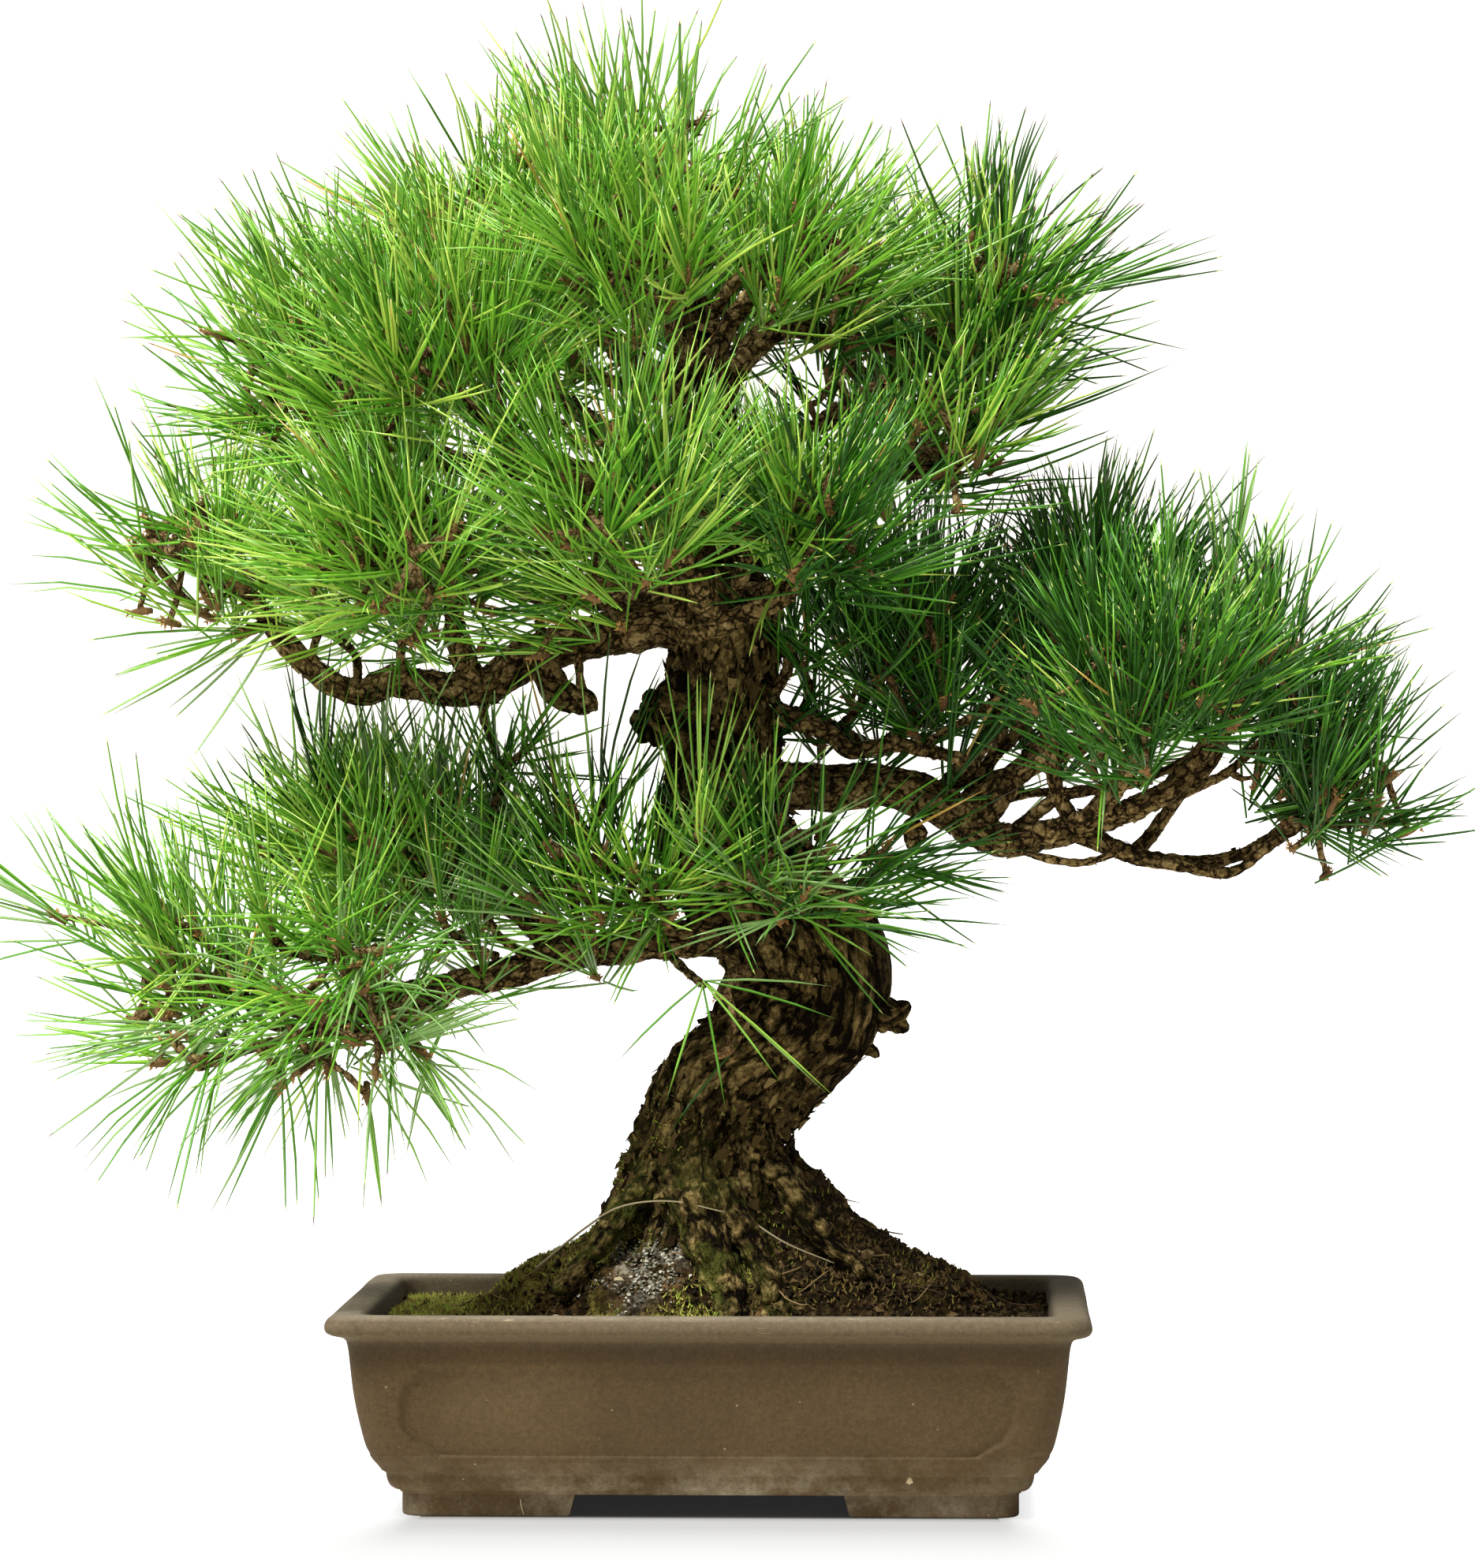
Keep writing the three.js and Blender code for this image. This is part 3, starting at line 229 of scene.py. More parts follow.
# Tufts at the ends of the finer limbs: place, axis, needle length share, droop and tint family; the
# tint family is 0 dull, 1 painted light and 2 painted shade
END_TUFTS = [
    ((-135, -104, 219), (0.6, -0.4, -0.25), 0.85, 0.2, 0),
    ((-186, -108, 234), (-0.6, -0.6, 0.25), 1.1, 0.1, 1),
    ((-241, -114, 213), (-0.7, -0.4, -0.5), 0.95, 0.2, 0),
    ((-201, -117, 204), (-0.2, -0.4, -0.85), 0.75, 0.2, 0),
    ((-252, -113, 226), (-0.9, -0.2, -0.3), 0.85, 0.1, 0),
    ((-180, -106, 211), (0.1, -0.4, -0.9), 0.65, 0.2, 0),
    ((-260, -68, 266), (-0.8, -0.3, 0.6), 0.95, 0, 1),
    ((-268, -72, 279), (-0.6, -0.2, 0.75), 1, 0, 1),
    ((-208, -93, 277), (-0.1, -0.4, 0.9), 1.05, 0, 1),
    ((-175, -74, 273), (0.1, -0.4, 0.9), 1, 0, 1),
    ((-38, -58, 282), (-0.5, -0.6, 0.2), 0.75, 0.1, 0),
    ((-26, -66, 290), (-0.1, -0.7, 0.3), 0.9, 0.1, 1),
    ((-17, -74, 296), (0.5, -0.5, 0.4), 0.9, 0, 1),
    ((-4, -92, 327), (0, -0.2, 0.95), 0.95, 0, 1),
    ((21, -80, 304), (0.7, -0.6, 0.15), 1, 0.1, 0),
    ((86, -49, 309), (0.9, -0.2, -0.1), 0.85, 0.0, 2),
    ((64, -42, 291), (0.8, -0.3, 0.35), 0.8, 0.1, 0),
    ((156, -12, 578), (1.0, -0.1, 0.22), 1.15, 0, 2),
    ((36, -2, 414), (0.35, 0.0, 0.9), 0.85, 0, 2),
    ((38, -8, 374), (0.5, -0.3, 0.4), 0.6, 0, 2),
    ((191, -20, 370), (0.5, -0.1, 0.85), 0.9, 0, 2),
    ((153, 16, 381), (0.2, 0.1, 0.95), 0.9, 0, 2),
    ((140, -6, 612), (0.15, 0.0, 1.0), 0.8, 0, 2),
    ((42, -8, 626), (0.1, 0.0, 1.0), 0.75, 0, 1),
    ((-111, -48, 262), (0.0, -0.4, 1.0), 0.7, 0, 0),
    ((-150, -108, 222), (0.9, -0.1, 0.45), 0.75, 0, 0),
    ((-318, -40, 282), (-0.75, 0.0, 0.5), 0.8, 0, 0),
    ((187, -62, 385), (-0.1, -0.7, 0.6), 1.05, 0.1, 0),
    ((217, -60, 390), (0.3, -0.6, 0.6), 1, 0, 1),
    ((161, -26, 377), (-0.2, -0.3, 0.9), 0.9, 0, 2),
    ((266, -44, 407), (0.5, -0.3, 0.7), 1, 0, 1),
    ((282, -30, 376), (0.8, -0.1, 0.4), 0.8, 0.0, 2),
    ((276, -26, 342), (0.8, 0.1, 0.5), 0.75, 0, 2),
    ((282, -34, 326), (0.85, -0.2, -0.35), 0.7, 0.05, 2),
    ((288, -24, 351), (0.8, -0.2, 0.5), 0.75, 0, 2),
    ((-114, -64, 458), (-0.1, -0.8, 0.5), 1.05, 0.1, 1),
    ((-13, -64, 455), (0, -0.8, 0.5), 1, 0.2, 0),
    ((43, -67, 455), (0.4, -0.6, 0.5), 1, 0.1, 1),
    ((20, -66, 467), (0, -0.6, 0.75), 1, 0, 1),
    ((-34, -29, 635), (-0.1, -0.2, 0.95), 1.05, 0, 1),
    ((27, -39, 599), (0.6, -0.5, 0.6), 0.95, 0, 0),
    ((-198, -60, 566), (-0.6, -0.4, 0.6), 1, 0, 1),
    ((-183, -66, 560), (-0.3, -0.5, 0.8), 1, 0, 1),
    ((-145, -70, 560), (0, -0.4, 0.9), 1, 0, 1),
    ((-66, -62, 551), (0.2, -0.5, 0.8), 1, 0, 1),
    ((-246, -66, 467), (-0.7, -0.5, 0.3), 0.7, 0.0, 1),
    ((-63, -42, 544), (-0.4, -0.6, 0.6), 1, 0, 1),
    ((-228, -56, 441), (-0.7, -0.6, 0.2), 0.65, 0.0, 1),
    ((140, -31, 525), (0.5, -0.4, 0.7), 0.9, 0, 2),
    ((120, -12, 357), (0.4, 0.2, 0.8), 0.9, 0, 2),
    ((42, 0, 401), (-0.2, -0.4, 0.8), 0.9, 0, 2),
    ((35, 10, 422), (-0.1, 0.1, 0.9), 0.85, 0, 2),
    ((73, 25, 392), (0.1, -0.2, 0.9), 0.95, 0, 2),
    ((96, 44, 408), (0.2, 0.3, 0.8), 0.9, 0, 2),
    ((104, 26, 379), (0.3, 0.1, 0.8), 0.95, 0, 2),
    ((-106, -38, 326), (-0.1, -0.3, -0.5), 0.75, 0.1, 0),
    ((-90, -40, 362), (0.3, -0.3, 0.3), 0.65, 0, 0),
    ((-104, -39, 349), (0.1, -0.6, 0.5), 0.85, 0, 2),
    ((-76, -37, 327), (-0.1, -0.5, 0.7), 0.95, 0, 0),
    ((-53, -26, 339), (0.3, 0.0, 0.9), 0.95, 0, 2),
    ((-188, -48, 422), (-0.3, -0.5, 0.3), 0.95, 0.05, 1),
    ((-226, -51, 417), (-0.95, -0.2, -0.22), 0.85, 0.05, 0),
    ((-150, -43, 415), (0.1, -0.6, 0.2), 0.9, 0.05, 0),
    ((-194, -25, 431), (-0.3, 0.1, 0.3), 0.9, 0.05, 0),
    ((-130, -55, 281), (-0.2, -0.5, 0.5), 0.85, 0, 0),
    ((-109, -51, 286), (0.2, -0.5, 0.6), 0.85, 0, 0),
    ((315, -21, 327), (0.2, 0.0, 0.4), 0.55, 0, 2),
    ((261, -20, 349), (0.2, -0.1, 0.8), 0.8, 0, 2),
    ((158, -10, 582), (0.7, 0.0, 0.7), 0.95, 0, 2),
    ((-242, -40, 562), (-0.9, -0.1, 0.2), 0.7, 0, 1),
    ((-12, -20, 640), (0.1, 0.0, 1.0), 1.05, 0, 1),
    ((-208, -20, 577), (-0.6, 0.0, 0.8), 0.9, 0, 1),
    ((-186, -15, 590), (-0.3, 0.0, 1.0), 0.85, 0, 1),
    ((-135, -31, 419), (0.0, -0.5, 0.4), 0.75, 0, 0),
    ((-112, -35, 412), (0.2, -0.5, 0.3), 0.7, 0, 0),
    ((-134, -22, 338), (0.05, -0.1, 1.0), 1.0, 0, 0),
    ((-187, -25, 340), (-0.1, -0.1, 1.0), 1.0, 0, 2),
    ((-219, -20, 312), (-0.6, -0.1, 0.75), 0.95, 0, 1),
    ((-163, -20, 338), (0.0, -0.1, 1.0), 0.95, 0, 0),
    ((-200, -30, 325), (-0.2, -0.4, 0.9), 0.95, 0, 1),
    ((51, 8, 364), (0.1, -0.5, 0.6), 0.75, 0, 2),
    ((84, 24, 365), (0.2, -0.3, 0.7), 0.75, 0, 2),
    ((127, 10, 428), (-0.1, 0.1, 1.0), 0.95, 0, 2),
    ((96, 20, 438), (-0.3, 0.1, 0.9), 0.9, 0, 2),
    ((180, 0, 450), (0.0, -0.1, 1.0), 0.9, 0, 2),
    ((248, -20, 440), (0.2, 0.0, 1.0), 0.8, 0, 0),
    ((272, -25, 408), (0.6, 0.0, 0.85), 0.85, 0, 2),
    ((-262, -74, 262), (-0.9, -0.3, -0.05), 0.7, 0, 1),
]

# Where the sky shows through the crown in front view: centre and half size at the pot's middle
SKY = [
    ((-69, 544), (11, 7)), ((-62, 533), (11, 8)), ((48, 542), (9, 10)), ((54, 529), (11, 10)),
    ((104, 515), (11, 9)), ((40, 331), (14, 12)), ((62, 328), (14, 10)), ((84, 318), (10, 8)),
    ((-50, 383), (17, 13)), ((-112, 431), (10, 6)), ((-82, 393), (7, 6)), ((-59, 705), (10, 24)),
    ((2, 680), (12, 24)), ((-164, 660), (10, 14)), ((-314, 246), (24, 14)), ((-310, 196), (22, 12)),
    ((-180, 186), (9, 18)), ((-119, 210), (20, 9)), ((-269, 420), (24, 9)), ((-290, 497), (15, 18)),
    ((-264, 596), (18, 14)), ((-284, 560), (18, 10)), ((-262, 541), (20, 10)), ((-196, 656), (18, 10)),
    ((-119, 686), (7, 12)), ((-30, 700), (12, 18)), ((70, 658), (18, 11)), ((172, 640), (14, 18)),
    ((196, 574), (14, 18)), ((128, 500), (14, 6)), ((148, 513), (12, 6)), ((302, 440), (12, 22)),
    ((342, 360), (18, 24)), ((258, 341), (14, 12)), ((295, 301), (18, 11)), ((-248, 364), (12, 12)),
    ((-214, 373), (9, 9)), ((-259, 442), (16, 7)), ((-142, 672), (18, 12)), ((107, 652), (13, 14)),
    ((173, 511), (16, 8)), ((-262, 567), (14, 12)), ((-317, 271), (13, 15)), ((-205, 178), (14, 20)),
    ((286, 447), (13, 12)),
]
SKY_KEPT = 0.25

# The rule's sizes, as in the source
SEED = 20
SITE_SPREAD = (0.39, 0.506)
SITE_HEIGHTS = (0.95, -0.6)
SITE_ROOM = 11
SITE_PULL = 0.85
SITE_PULLS = 8
ALONG_SHARE = 0.5
OUTWARD_SHARE = 0.6
STEM_RADIUS = 4.2
STEM_SHARE = 0.95
TRUNK_STEM_RADIUS = 5.2
STEM_END_RADIUS = 3
TWIG_RADIUS = 2
TWIG_BOW = 0.16
STEM_JOINTS = (0.42, 0.52, 0.62, 0.74, 0.85)
CORE_RADIUS = 3.6
CORE_STRETCH = 1.5
CELL_MARGIN = 1
CLEAR_GAP = 0.36
LIMB_CLEARANCE = 2.6

# Finer growth: four shoots at each end of a twig, set round it and back from it
SHOOTS_PER_TUFT = 4
SHOOT_JITTER = 0.2
SHOOT_ROOTS = (0.2, 0.8)
SHOOT_BOW, SHOOT_BOW_JITTER = 3, 1.5
OUTERMOST = 0.8
SHARE_RANGE = (0.86, 1.08)
RIGHT_SHARE, RIGHT_RUN = 0.84, (60, 260)
LOOSE_TUFT = 6
SHOOT_SPREAD = (16, 36)
SHOOT_SET_BACK = (0, 34)
LEADER_SET_BACK = 15
SHOOT_TILT = 0.6
SHOOT_RADII = (1.9, 1.4)
SITE_SHARE, GROWTH_SHARE, RISE_SHARE = 0.75, 0.5, 0.2
NEEDLES = 34
END_FULLNESS = (0.55, 0.8)
TUFT_FULLNESS = (0.5, 1.12)
NEEDLE_LENGTH = (74, 104)
NEEDLE_RADIUS = 0.8
NEEDLE_ZONE = 24
HANGING = 0.75
NEEDLE_ANGLES = (63, 7)
AROUND_JITTER, TILT_JITTER = 0.35, 8
PAIR_ANGLE = 0.05
CURL, CURL_JITTER = 0.12, 0.09
SAG = 0.035
TUFT_BEND_JITTER, NEEDLE_BEND_JITTER = 0.05, 0.03
MAIN_TINT_SHARE, DRY_SHARE, PALE_TIP_SHARE = 0.5, 0.006, 0.3
BROWN_LEVEL, BROWN_SHARE_ABOVE, BROWN_SHARE_BELOW = 480, 0.3, 0.08
SPACE_LIMIT = (0.84, 1.2)
SPACE_OVERRUN = (8, 46)
BOX_MARGIN = 0.016
SHORTEST = 0.7
STRAY_SHARE, STRAY_LENGTH, STRAY_LIMIT, STRAY_OVERRUN = 0.06, 1.15, 1.5, 90
FINE_RISE = 0.28
PLAIN_STATIONS, TIPPED_STATIONS = (0.0, 0.34, 0.68, 1.0), (0.0, 0.34, 0.68, 0.95, 1.0)
PLAIN_WIDTHS, TIPPED_WIDTHS = (0.75, 1.0, 0.85), (0.75, 1.0, 0.9, 0.5)
# Share of the needles that a mass keeps, where the crown is thin
THIN_MASSES = {
    "lower_left_tip": 0.55, "lower_left_front": 0.3, "low_sprig": 0.05, "lower_front": 0.68,
    "lower_left_inner": 0.6, "lower_left_upper": 0.9, "right_inner": 0.75, "right_tip": 0.62,
    "right_outer": 0.85, "left_tip": 0.45, "upper_left": 0.8, "top_left": 0.85, "upper_right": 0.72,
    "right_shoulder": 0.8, "top_right": 0.85, "left_back": 0.75, "back_right": 0.8, "left_front": 0.8,
}


def place(points):
    """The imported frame's metres for places in the tree's millimetres."""
    return np.asarray(points, float) * MM + SHIFT


def unit(vectors):
    vectors = np.asarray(vectors, float)
    return vectors / np.maximum(np.linalg.norm(vectors, axis=-1, keepdims=True), 1e-9)


def mix(a, b, share):
    return a + (b - a) * share


def smooth(low, high, value):
    """A soft step from 0 at low to 1 at high."""
    share = np.clip((value - low) / (high - low), 0, 1)
    return share * share * (3 - 2 * share)


def seeded(seed):
    """Draws from 0 to 1 in the same order as the source's."""
    state = seed * 7919 + 17

    def draw():
        nonlocal state
        state = state * 48271 % 2147483647
        return state / 2147483647

    return draw


def stacked(*parts):
    """Arrays or numbers side by side, as the last axis of one array."""
    return np.stack(np.broadcast_arrays(*parts), -1)


def angles(sides):
    return np.arange(sides) * 2 * np.pi / sides


def degrees_off(angle, middle):
    """How far an angle lies from a middle one, in degrees."""
    return np.abs((np.degrees(angle) - middle + 540) % 360 - 180)


def stepped(value, edge):
    """Whole levels, with a slope of this share of a level between them."""
    level = np.floor(value)
    return level + smooth(0, edge, value - level)


def copies(faces, count, size):
    """The faces of one small thing, for as many things as stand in a row of points."""
    faces = np.asarray(faces)
    return (faces[None] + np.arange(count)[:, None, None] * size).reshape(-1, faces.shape[1])


# Noise on arrays of points
def hashed(cells, salt):
    """A number from 0 to 1 for each cell of a grid."""
    mask = 0xFFFFFFFF
    i, j, k = (cells[..., axis].astype(np.int64) for axis in range(3))
    value = ((i * 73856093) ^ (j * 19349663) ^ (k * 83492791) ^ (salt * 668265263)) & mask
    value ^= value >> 13
    value = (value * 1274126177) & mask
    value ^= value >> 16
    value = (value * 2246822519) & mask
    value ^= value >> 15
    return (value & 0xFFFFFF) / float(0x1000000)


def noise(points, size, salt=1):
    """Smooth noise from -1 to 1 with features of this size."""
    points = np.asarray(points, float) / size
    base = np.floor(points).astype(np.int64)
    share = points - base
    share = share * share * (3 - 2 * share)
    total = np.zeros(points.shape[:-1])
    for corner in np.ndindex(2, 2, 2):
        weight = np.prod(np.where(corner, share, 1 - share), axis=-1)
        total += weight * hashed(base + np.array(corner), salt)
    return total * 2 - 1


def fractal(points, size, octaves, salt=1):
    total = np.zeros(np.asarray(points).shape[:-1])
    for octave in range(octaves):
        total += noise(points, size / 2**octave, salt + octave) / 2**octave
    return total


def noise_ways(points, size, salt):
    """A noise of its own for each of three directions."""
    return np.stack([noise(points, size, salt + axis) for axis in range(3)], -1)


def plates(points, size, salt):
    """The distance to the nearest seed of a plate, and that seed's number from 0 to 1."""
    points = np.asarray(points, float) / size
    base = np.floor(points).astype(np.int64)
    nearest = np.full(points.shape[:-1], np.inf)
    number = np.zeros_like(nearest)
    for corner in np.ndindex(3, 3, 3):
        cell = base + np.array(corner) - 1
        seed = cell + np.stack([hashed(cell, salt + axis) for axis in range(3)], -1)
        distance = np.linalg.norm(points - seed, axis=-1)
        closer = distance < nearest
        number = np.where(closer, hashed(cell, salt + 7), number)
        nearest = np.where(closer, distance, nearest)
    return nearest, number


# Lines and sweeps
def spline_at(points, at):
    """Places on a uniform Catmull-Rom line whose ends are reflected."""
    points = np.asarray(points, float)
    line = np.concatenate([
        [2 * points[0] - points[1]], points, [2 * points[-1] - points[-2]],
    ])
    low = np.minimum(at.astype(int), len(points) - 2)
    t = (at - low).reshape(-1, *[1] * (points.ndim - 1))
    before, start, end, after = line[low], line[low + 1], line[low + 2], line[low + 3]
    leave, arrive = (end - before) / 2, (after - start) / 2
    return (
        (2 * t**3 - 3 * t**2 + 1) * start + (t**3 - 2 * t**2 + t) * leave
        + (3 * t**2 - 2 * t**3) * end + (t**3 - t**2) * arrive
    )


def spline(points, count):
    return spline_at(points, np.linspace(0, len(points) - 1, count + 1))


def length_of(points):
    return np.linalg.norm(np.diff(points, axis=0), axis=1).sum()


def steps_along(points):
    return max(2, math.floor(length_of(spline(points, 200)) / STEP + 0.5))


def even(points, spacing):
    """The spline through the points at steps of even length, with the share along at each."""
    fine = spline(points, 40 * len(points))
    along = np.concatenate([[0], np.cumsum(np.linalg.norm(np.diff(fine, axis=0), axis=1))])
    count = max(2, round(along[-1] / spacing))
    at = np.linspace(0, along[-1], count + 1)
    line = np.stack([np.interp(at, along, fine[:, axis]) for axis in range(3)], -1)
    return line, np.interp(at, along, np.linspace(0, 1, len(fine))), at


def frames(centres):
    """A tangent and two cross directions at each centre, carried along without twist."""
    tangent = unit(np.vstack([
        centres[1] - centres[0], centres[2:] - centres[:-2], centres[-1] - centres[-2],
    ]))
    across = np.array([0.0, 0, 1]) if abs(tangent[0, 0]) > 0.9 else np.array([1.0, 0, 0])
    sides = []
    for t in tangent:
        across = unit(across - t * (across @ t))
        sides.append(across)
    sides = np.array(sides)
    return tangent, sides, np.cross(tangent, sides)


def ring_faces(rings, count):
    """Quads between closed rings of points that follow each other."""
    ring, side = np.meshgrid(np.arange(rings - 1), np.arange(count), indexing="ij")
    a = ring * count + side
    b = ring * count + (side + 1) % count
    return np.stack([a, b, b + count, a + count], -1).reshape(-1, 4)


class Bundle:
    """Points and faces of many small things that become one mesh."""

    def __init__(self):
        self.points, self.triangles, self.quads = [], [], []
        self.triangle_tints, self.quad_tints, self.values, self.skins = [], [], [], []
        self.count = 0

    def add(self, points, triangles=None, quads=None, tint=0):
        """Adds a thing, with one tint or one for each face."""
        self.points.append(np.asarray(points, float))
        for faces, held, tints in (
            (triangles, self.triangles, self.triangle_tints), (quads, self.quads, self.quad_tints),
        ):
            if faces is not None and len(faces):
                held.append(np.asarray(faces) + self.count)
                tints.append(np.broadcast_to(tint, len(faces)))
        self.count += len(points)

    def tube(self, centres, radii, sides, tint=0):
        """A closed tube: rings along the centres, with fans over both ends."""
        _, across, other = frames(centres)
        angle = angles(sides)[:, None]
        radii = np.asarray(radii, float).reshape(len(centres), -1, 1)
        rings = centres[:, None] + radii * (
            across[:, None] * np.cos(angle) + other[:, None] * np.sin(angle)
        )
        points = np.vstack([rings.reshape(-1, 3), centres[:1], centres[-1:]])
        low, high = len(points) - 2, len(points) - 1
        start, last = np.arange(sides), (len(centres) - 1) * sides
        after = (start + 1) % sides
        caps = np.vstack([
            np.stack([after, start, np.full(sides, low)], -1),
            np.stack([last + start, last + after, np.full(sides, high)], -1),
        ])
        self.add(points, caps, ring_faces(len(centres), sides), tint)

    def bark(self, centres, radii, sides, straight, relief, ends):
        """A tube of bark, with its relief and its unrolled place kept for the material."""
        self.tube(centres, radii, sides)
        self.values.append(np.concatenate([np.clip(relief, 0, 1).ravel(), [ends, ends]]))
        straight = np.broadcast_to(straight, (len(centres), sides, 3))
        middle = [straight[0].mean(0), straight[-1].mean(0)]
        self.skins.append(np.vstack([straight.reshape(-1, 3), middle]))

    def mesh(self, name, materials, replaced=(), slot=None, shade=True, layers=None):
        """Makes the piece, with its materials and the nodes it stands for; its slot is not used."""
        points = place(np.vstack(self.points))
        triangles = np.vstack(self.triangles) if self.triangles else np.zeros((0, 3), int)
        quads = np.vstack(self.quads) if self.quads else np.zeros((0, 4), int)
        tints = np.concatenate([*self.triangle_tints, *self.quad_tints])
        mesh = bpy.data.meshes.new(name)
        mesh.vertices.add(len(points))
        mesh.vertices.foreach_set("co", points.astype(np.float32).ravel())
        corners = np.concatenate([triangles.ravel(), quads.ravel()]).astype(np.int32)
        mesh.loops.add(len(corners))
        mesh.loops.foreach_set("vertex_index", corners)
        sizes = np.concatenate([np.full(len(triangles), 3), np.full(len(quads), 4)])
        mesh.polygons.add(len(sizes))
        starts = np.concatenate([[0], np.cumsum(sizes)[:-1]]).astype(np.int32)
        mesh.polygons.foreach_set("loop_start", starts)
        for material in materials:
            mesh.materials.append(material)
        mesh.polygons.foreach_set("material_index", tints.astype(np.int32))
        mesh.polygons.foreach_set("use_smooth", np.full(len(sizes), shade))
        mesh.update(calc_edges=True)
        mesh.validate()
        layers = dict(layers or {})
        if self.values:
            layers["relief"] = np.concatenate(self.values)
        for key, numbers in layers.items():
            layer = mesh.attributes.new(key, "FLOAT", "POINT")
            layer.data.foreach_set("value", np.asarray(numbers, np.float32))
        if self.skins:
            layer = mesh.attributes.new("skin", "FLOAT_VECTOR", "POINT")
            layer.data.foreach_set("vector", (np.vstack(self.skins) * MM).astype(np.float32).ravel())
        piece = bpy.data.objects.new(name, mesh)
        bpy.context.scene.collection.objects.link(piece)
        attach(piece, "root")
        if replaced:
            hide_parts(*replaced)
        return piece


# Materials
def material(name, color, roughness, specular=0.5):
    made = bpy.data.materials.new(name)
    made.use_nodes = True
    shader = made.node_tree.nodes["Principled BSDF"]
    shader.inputs["Base Color"].default_value = (*color, 1)
    shader.inputs["Roughness"].default_value = roughness
    shader.inputs["Specular IOR Level"].default_value = specular
    return made, made.node_tree, shader


def node(tree, kind, settings=None, **inputs):
    made = tree.nodes.new(kind)
    for key, value in (settings or {}).items():
        setattr(made, key, value)
    for key, value in inputs.items():
        socket = made.inputs[int(key[1:]) if key[0] == "i" and key[1:].isdigit() else key]
        if isinstance(value, bpy.types.NodeSocket):
            tree.links.new(value, socket)
        else:
            socket.default_value = value
    return made


def place_of(tree):
    return node(tree, "ShaderNodeTexCoord").outputs["Object"]


def noise_node(tree, scale, detail=3.0, rough=0.55, vector=None):
    made = node(tree, "ShaderNodeTexNoise", Scale=scale, Detail=detail, Roughness=rough,
                Vector=vector or place_of(tree))
    return made.outputs["Fac"]


def ramp(tree, value, stops):
    """A colour ramp: stops are (position, colour)."""
    made = node(tree, "ShaderNodeValToRGB", Fac=value)
    elements = made.color_ramp.elements
    while len(elements) < len(stops):
        elements.new(0.5)
    for element, (position, color) in zip(elements, stops):
        element.position = position
        element.color = (*color, 1)
    return made.outputs["Color"]


def span(tree, value, low, high, to_low=0.0, to_high=1.0):
    """A value's place between low and high, held between to_low and to_high."""
    limits = {"From Min": low, "From Max": high, "To Min": to_low, "To Max": to_high}
    return node(tree, "ShaderNodeMapRange", Value=value, **limits).outputs["Result"]


def blend(tree, share, a, b):
    """The colour a, with this share of the colour b."""
    a, b = ((*color, 1) if isinstance(color, tuple) else color for color in (a, b))
    return node(tree, "ShaderNodeMix", {"data_type": "RGBA"}, i0=share, i6=a, i7=b).outputs[2]


def math_node(tree, operation, a, b=0.5):
    return node(tree, "ShaderNodeMath", {"operation": operation}, i0=a, i1=b).outputs[0]


def times(tree, first, *others):
    for other in others:
        first = math_node(tree, "MULTIPLY", first, other)
    return first


def plus(tree, first, *others):
    for other in others:
        first = math_node(tree, "ADD", first, other)
    return first


def vector_node(tree, operation, vector, **others):
    made = node(tree, "ShaderNodeVectorMath", {"operation": operation}, i0=vector, **others)
    return made.outputs["Vector"]


def attribute(tree, name, output="Fac"):
    return node(tree, "ShaderNodeAttribute", {"attribute_name": name}).outputs[output]


def levels(tree):
    """The object's X, Y and Z, in metres."""
    return node(tree, "ShaderNodeSeparateXYZ", Vector=place_of(tree)).outputs


def red_of(tree, color):
    return node(tree, "ShaderNodeSeparateColor", Color=color).outputs["Red"]


def link(tree, output, shader, socket):
    tree.links.new(output, shader.inputs[socket])


def bump(tree, shader, height, distance, strength):
    made = node(tree, "ShaderNodeBump", Height=height, Distance=distance, Strength=strength)
    link(tree, made.outputs["Normal"], shader, "Normal")


# The rule: limbs, spaces and skeletons, as in the source
def limb_capsules():
    """The trunk and the boughs as straight pieces: name, start, end and radius."""
    rows = []
    limbs = [("trunk", [row[:3] for row in TRUNK], [row[3] for row in TRUNK])]
    limbs += [(name, points, radii) for name, (radii, points) in BOUGHS.items()]
    for name, points, widths in limbs:
        steps = steps_along(points)
        centres = spline(points, steps)
        for i in range(steps):
            along = (i + 0.5) / steps * (len(widths) - 1)
            low = math.floor(along)
            radius = mix(widths[low], widths[min(low + 1, len(widths) - 1)], along - low)
            rows.append((name, centres[i], centres[i + 1], radius))
    return rows


CAPSULES = limb_capsules()
CAPSULE_NAMES = np.array([row[0] for row in CAPSULES])
CAPSULE_STARTS = np.array([row[1] for row in CAPSULES])
CAPSULE_ENDS = np.array([row[2] for row in CAPSULES])
CAPSULE_RADII = np.array([row[3] for row in CAPSULES])


def gap_between(a0, a1, b0, b1):
    """Shortest distances between straight pieces: arrays that broadcast against each other."""
    u, v, w = a1 - a0, b1 - b0, a0 - b0
    uu, uv, vv = (u * u).sum(-1), (u * v).sum(-1), (v * v).sum(-1)
    uw, vw = (u * w).sum(-1), (v * w).sum(-1)
    spread = uu * vv - uv * uv
    apart = spread > 1e-9
    s = np.where(apart, np.clip((uv * vw - vv * uw) / np.where(apart, spread, 1), 0, 1), 0)
    t = np.clip((uv * s + vw) / vv, 0, 1)
    s = np.clip((uv * t - uw) / uu, 0, 1)
    return np.linalg.norm(w + u * s[..., None] - v * t[..., None], axis=-1)


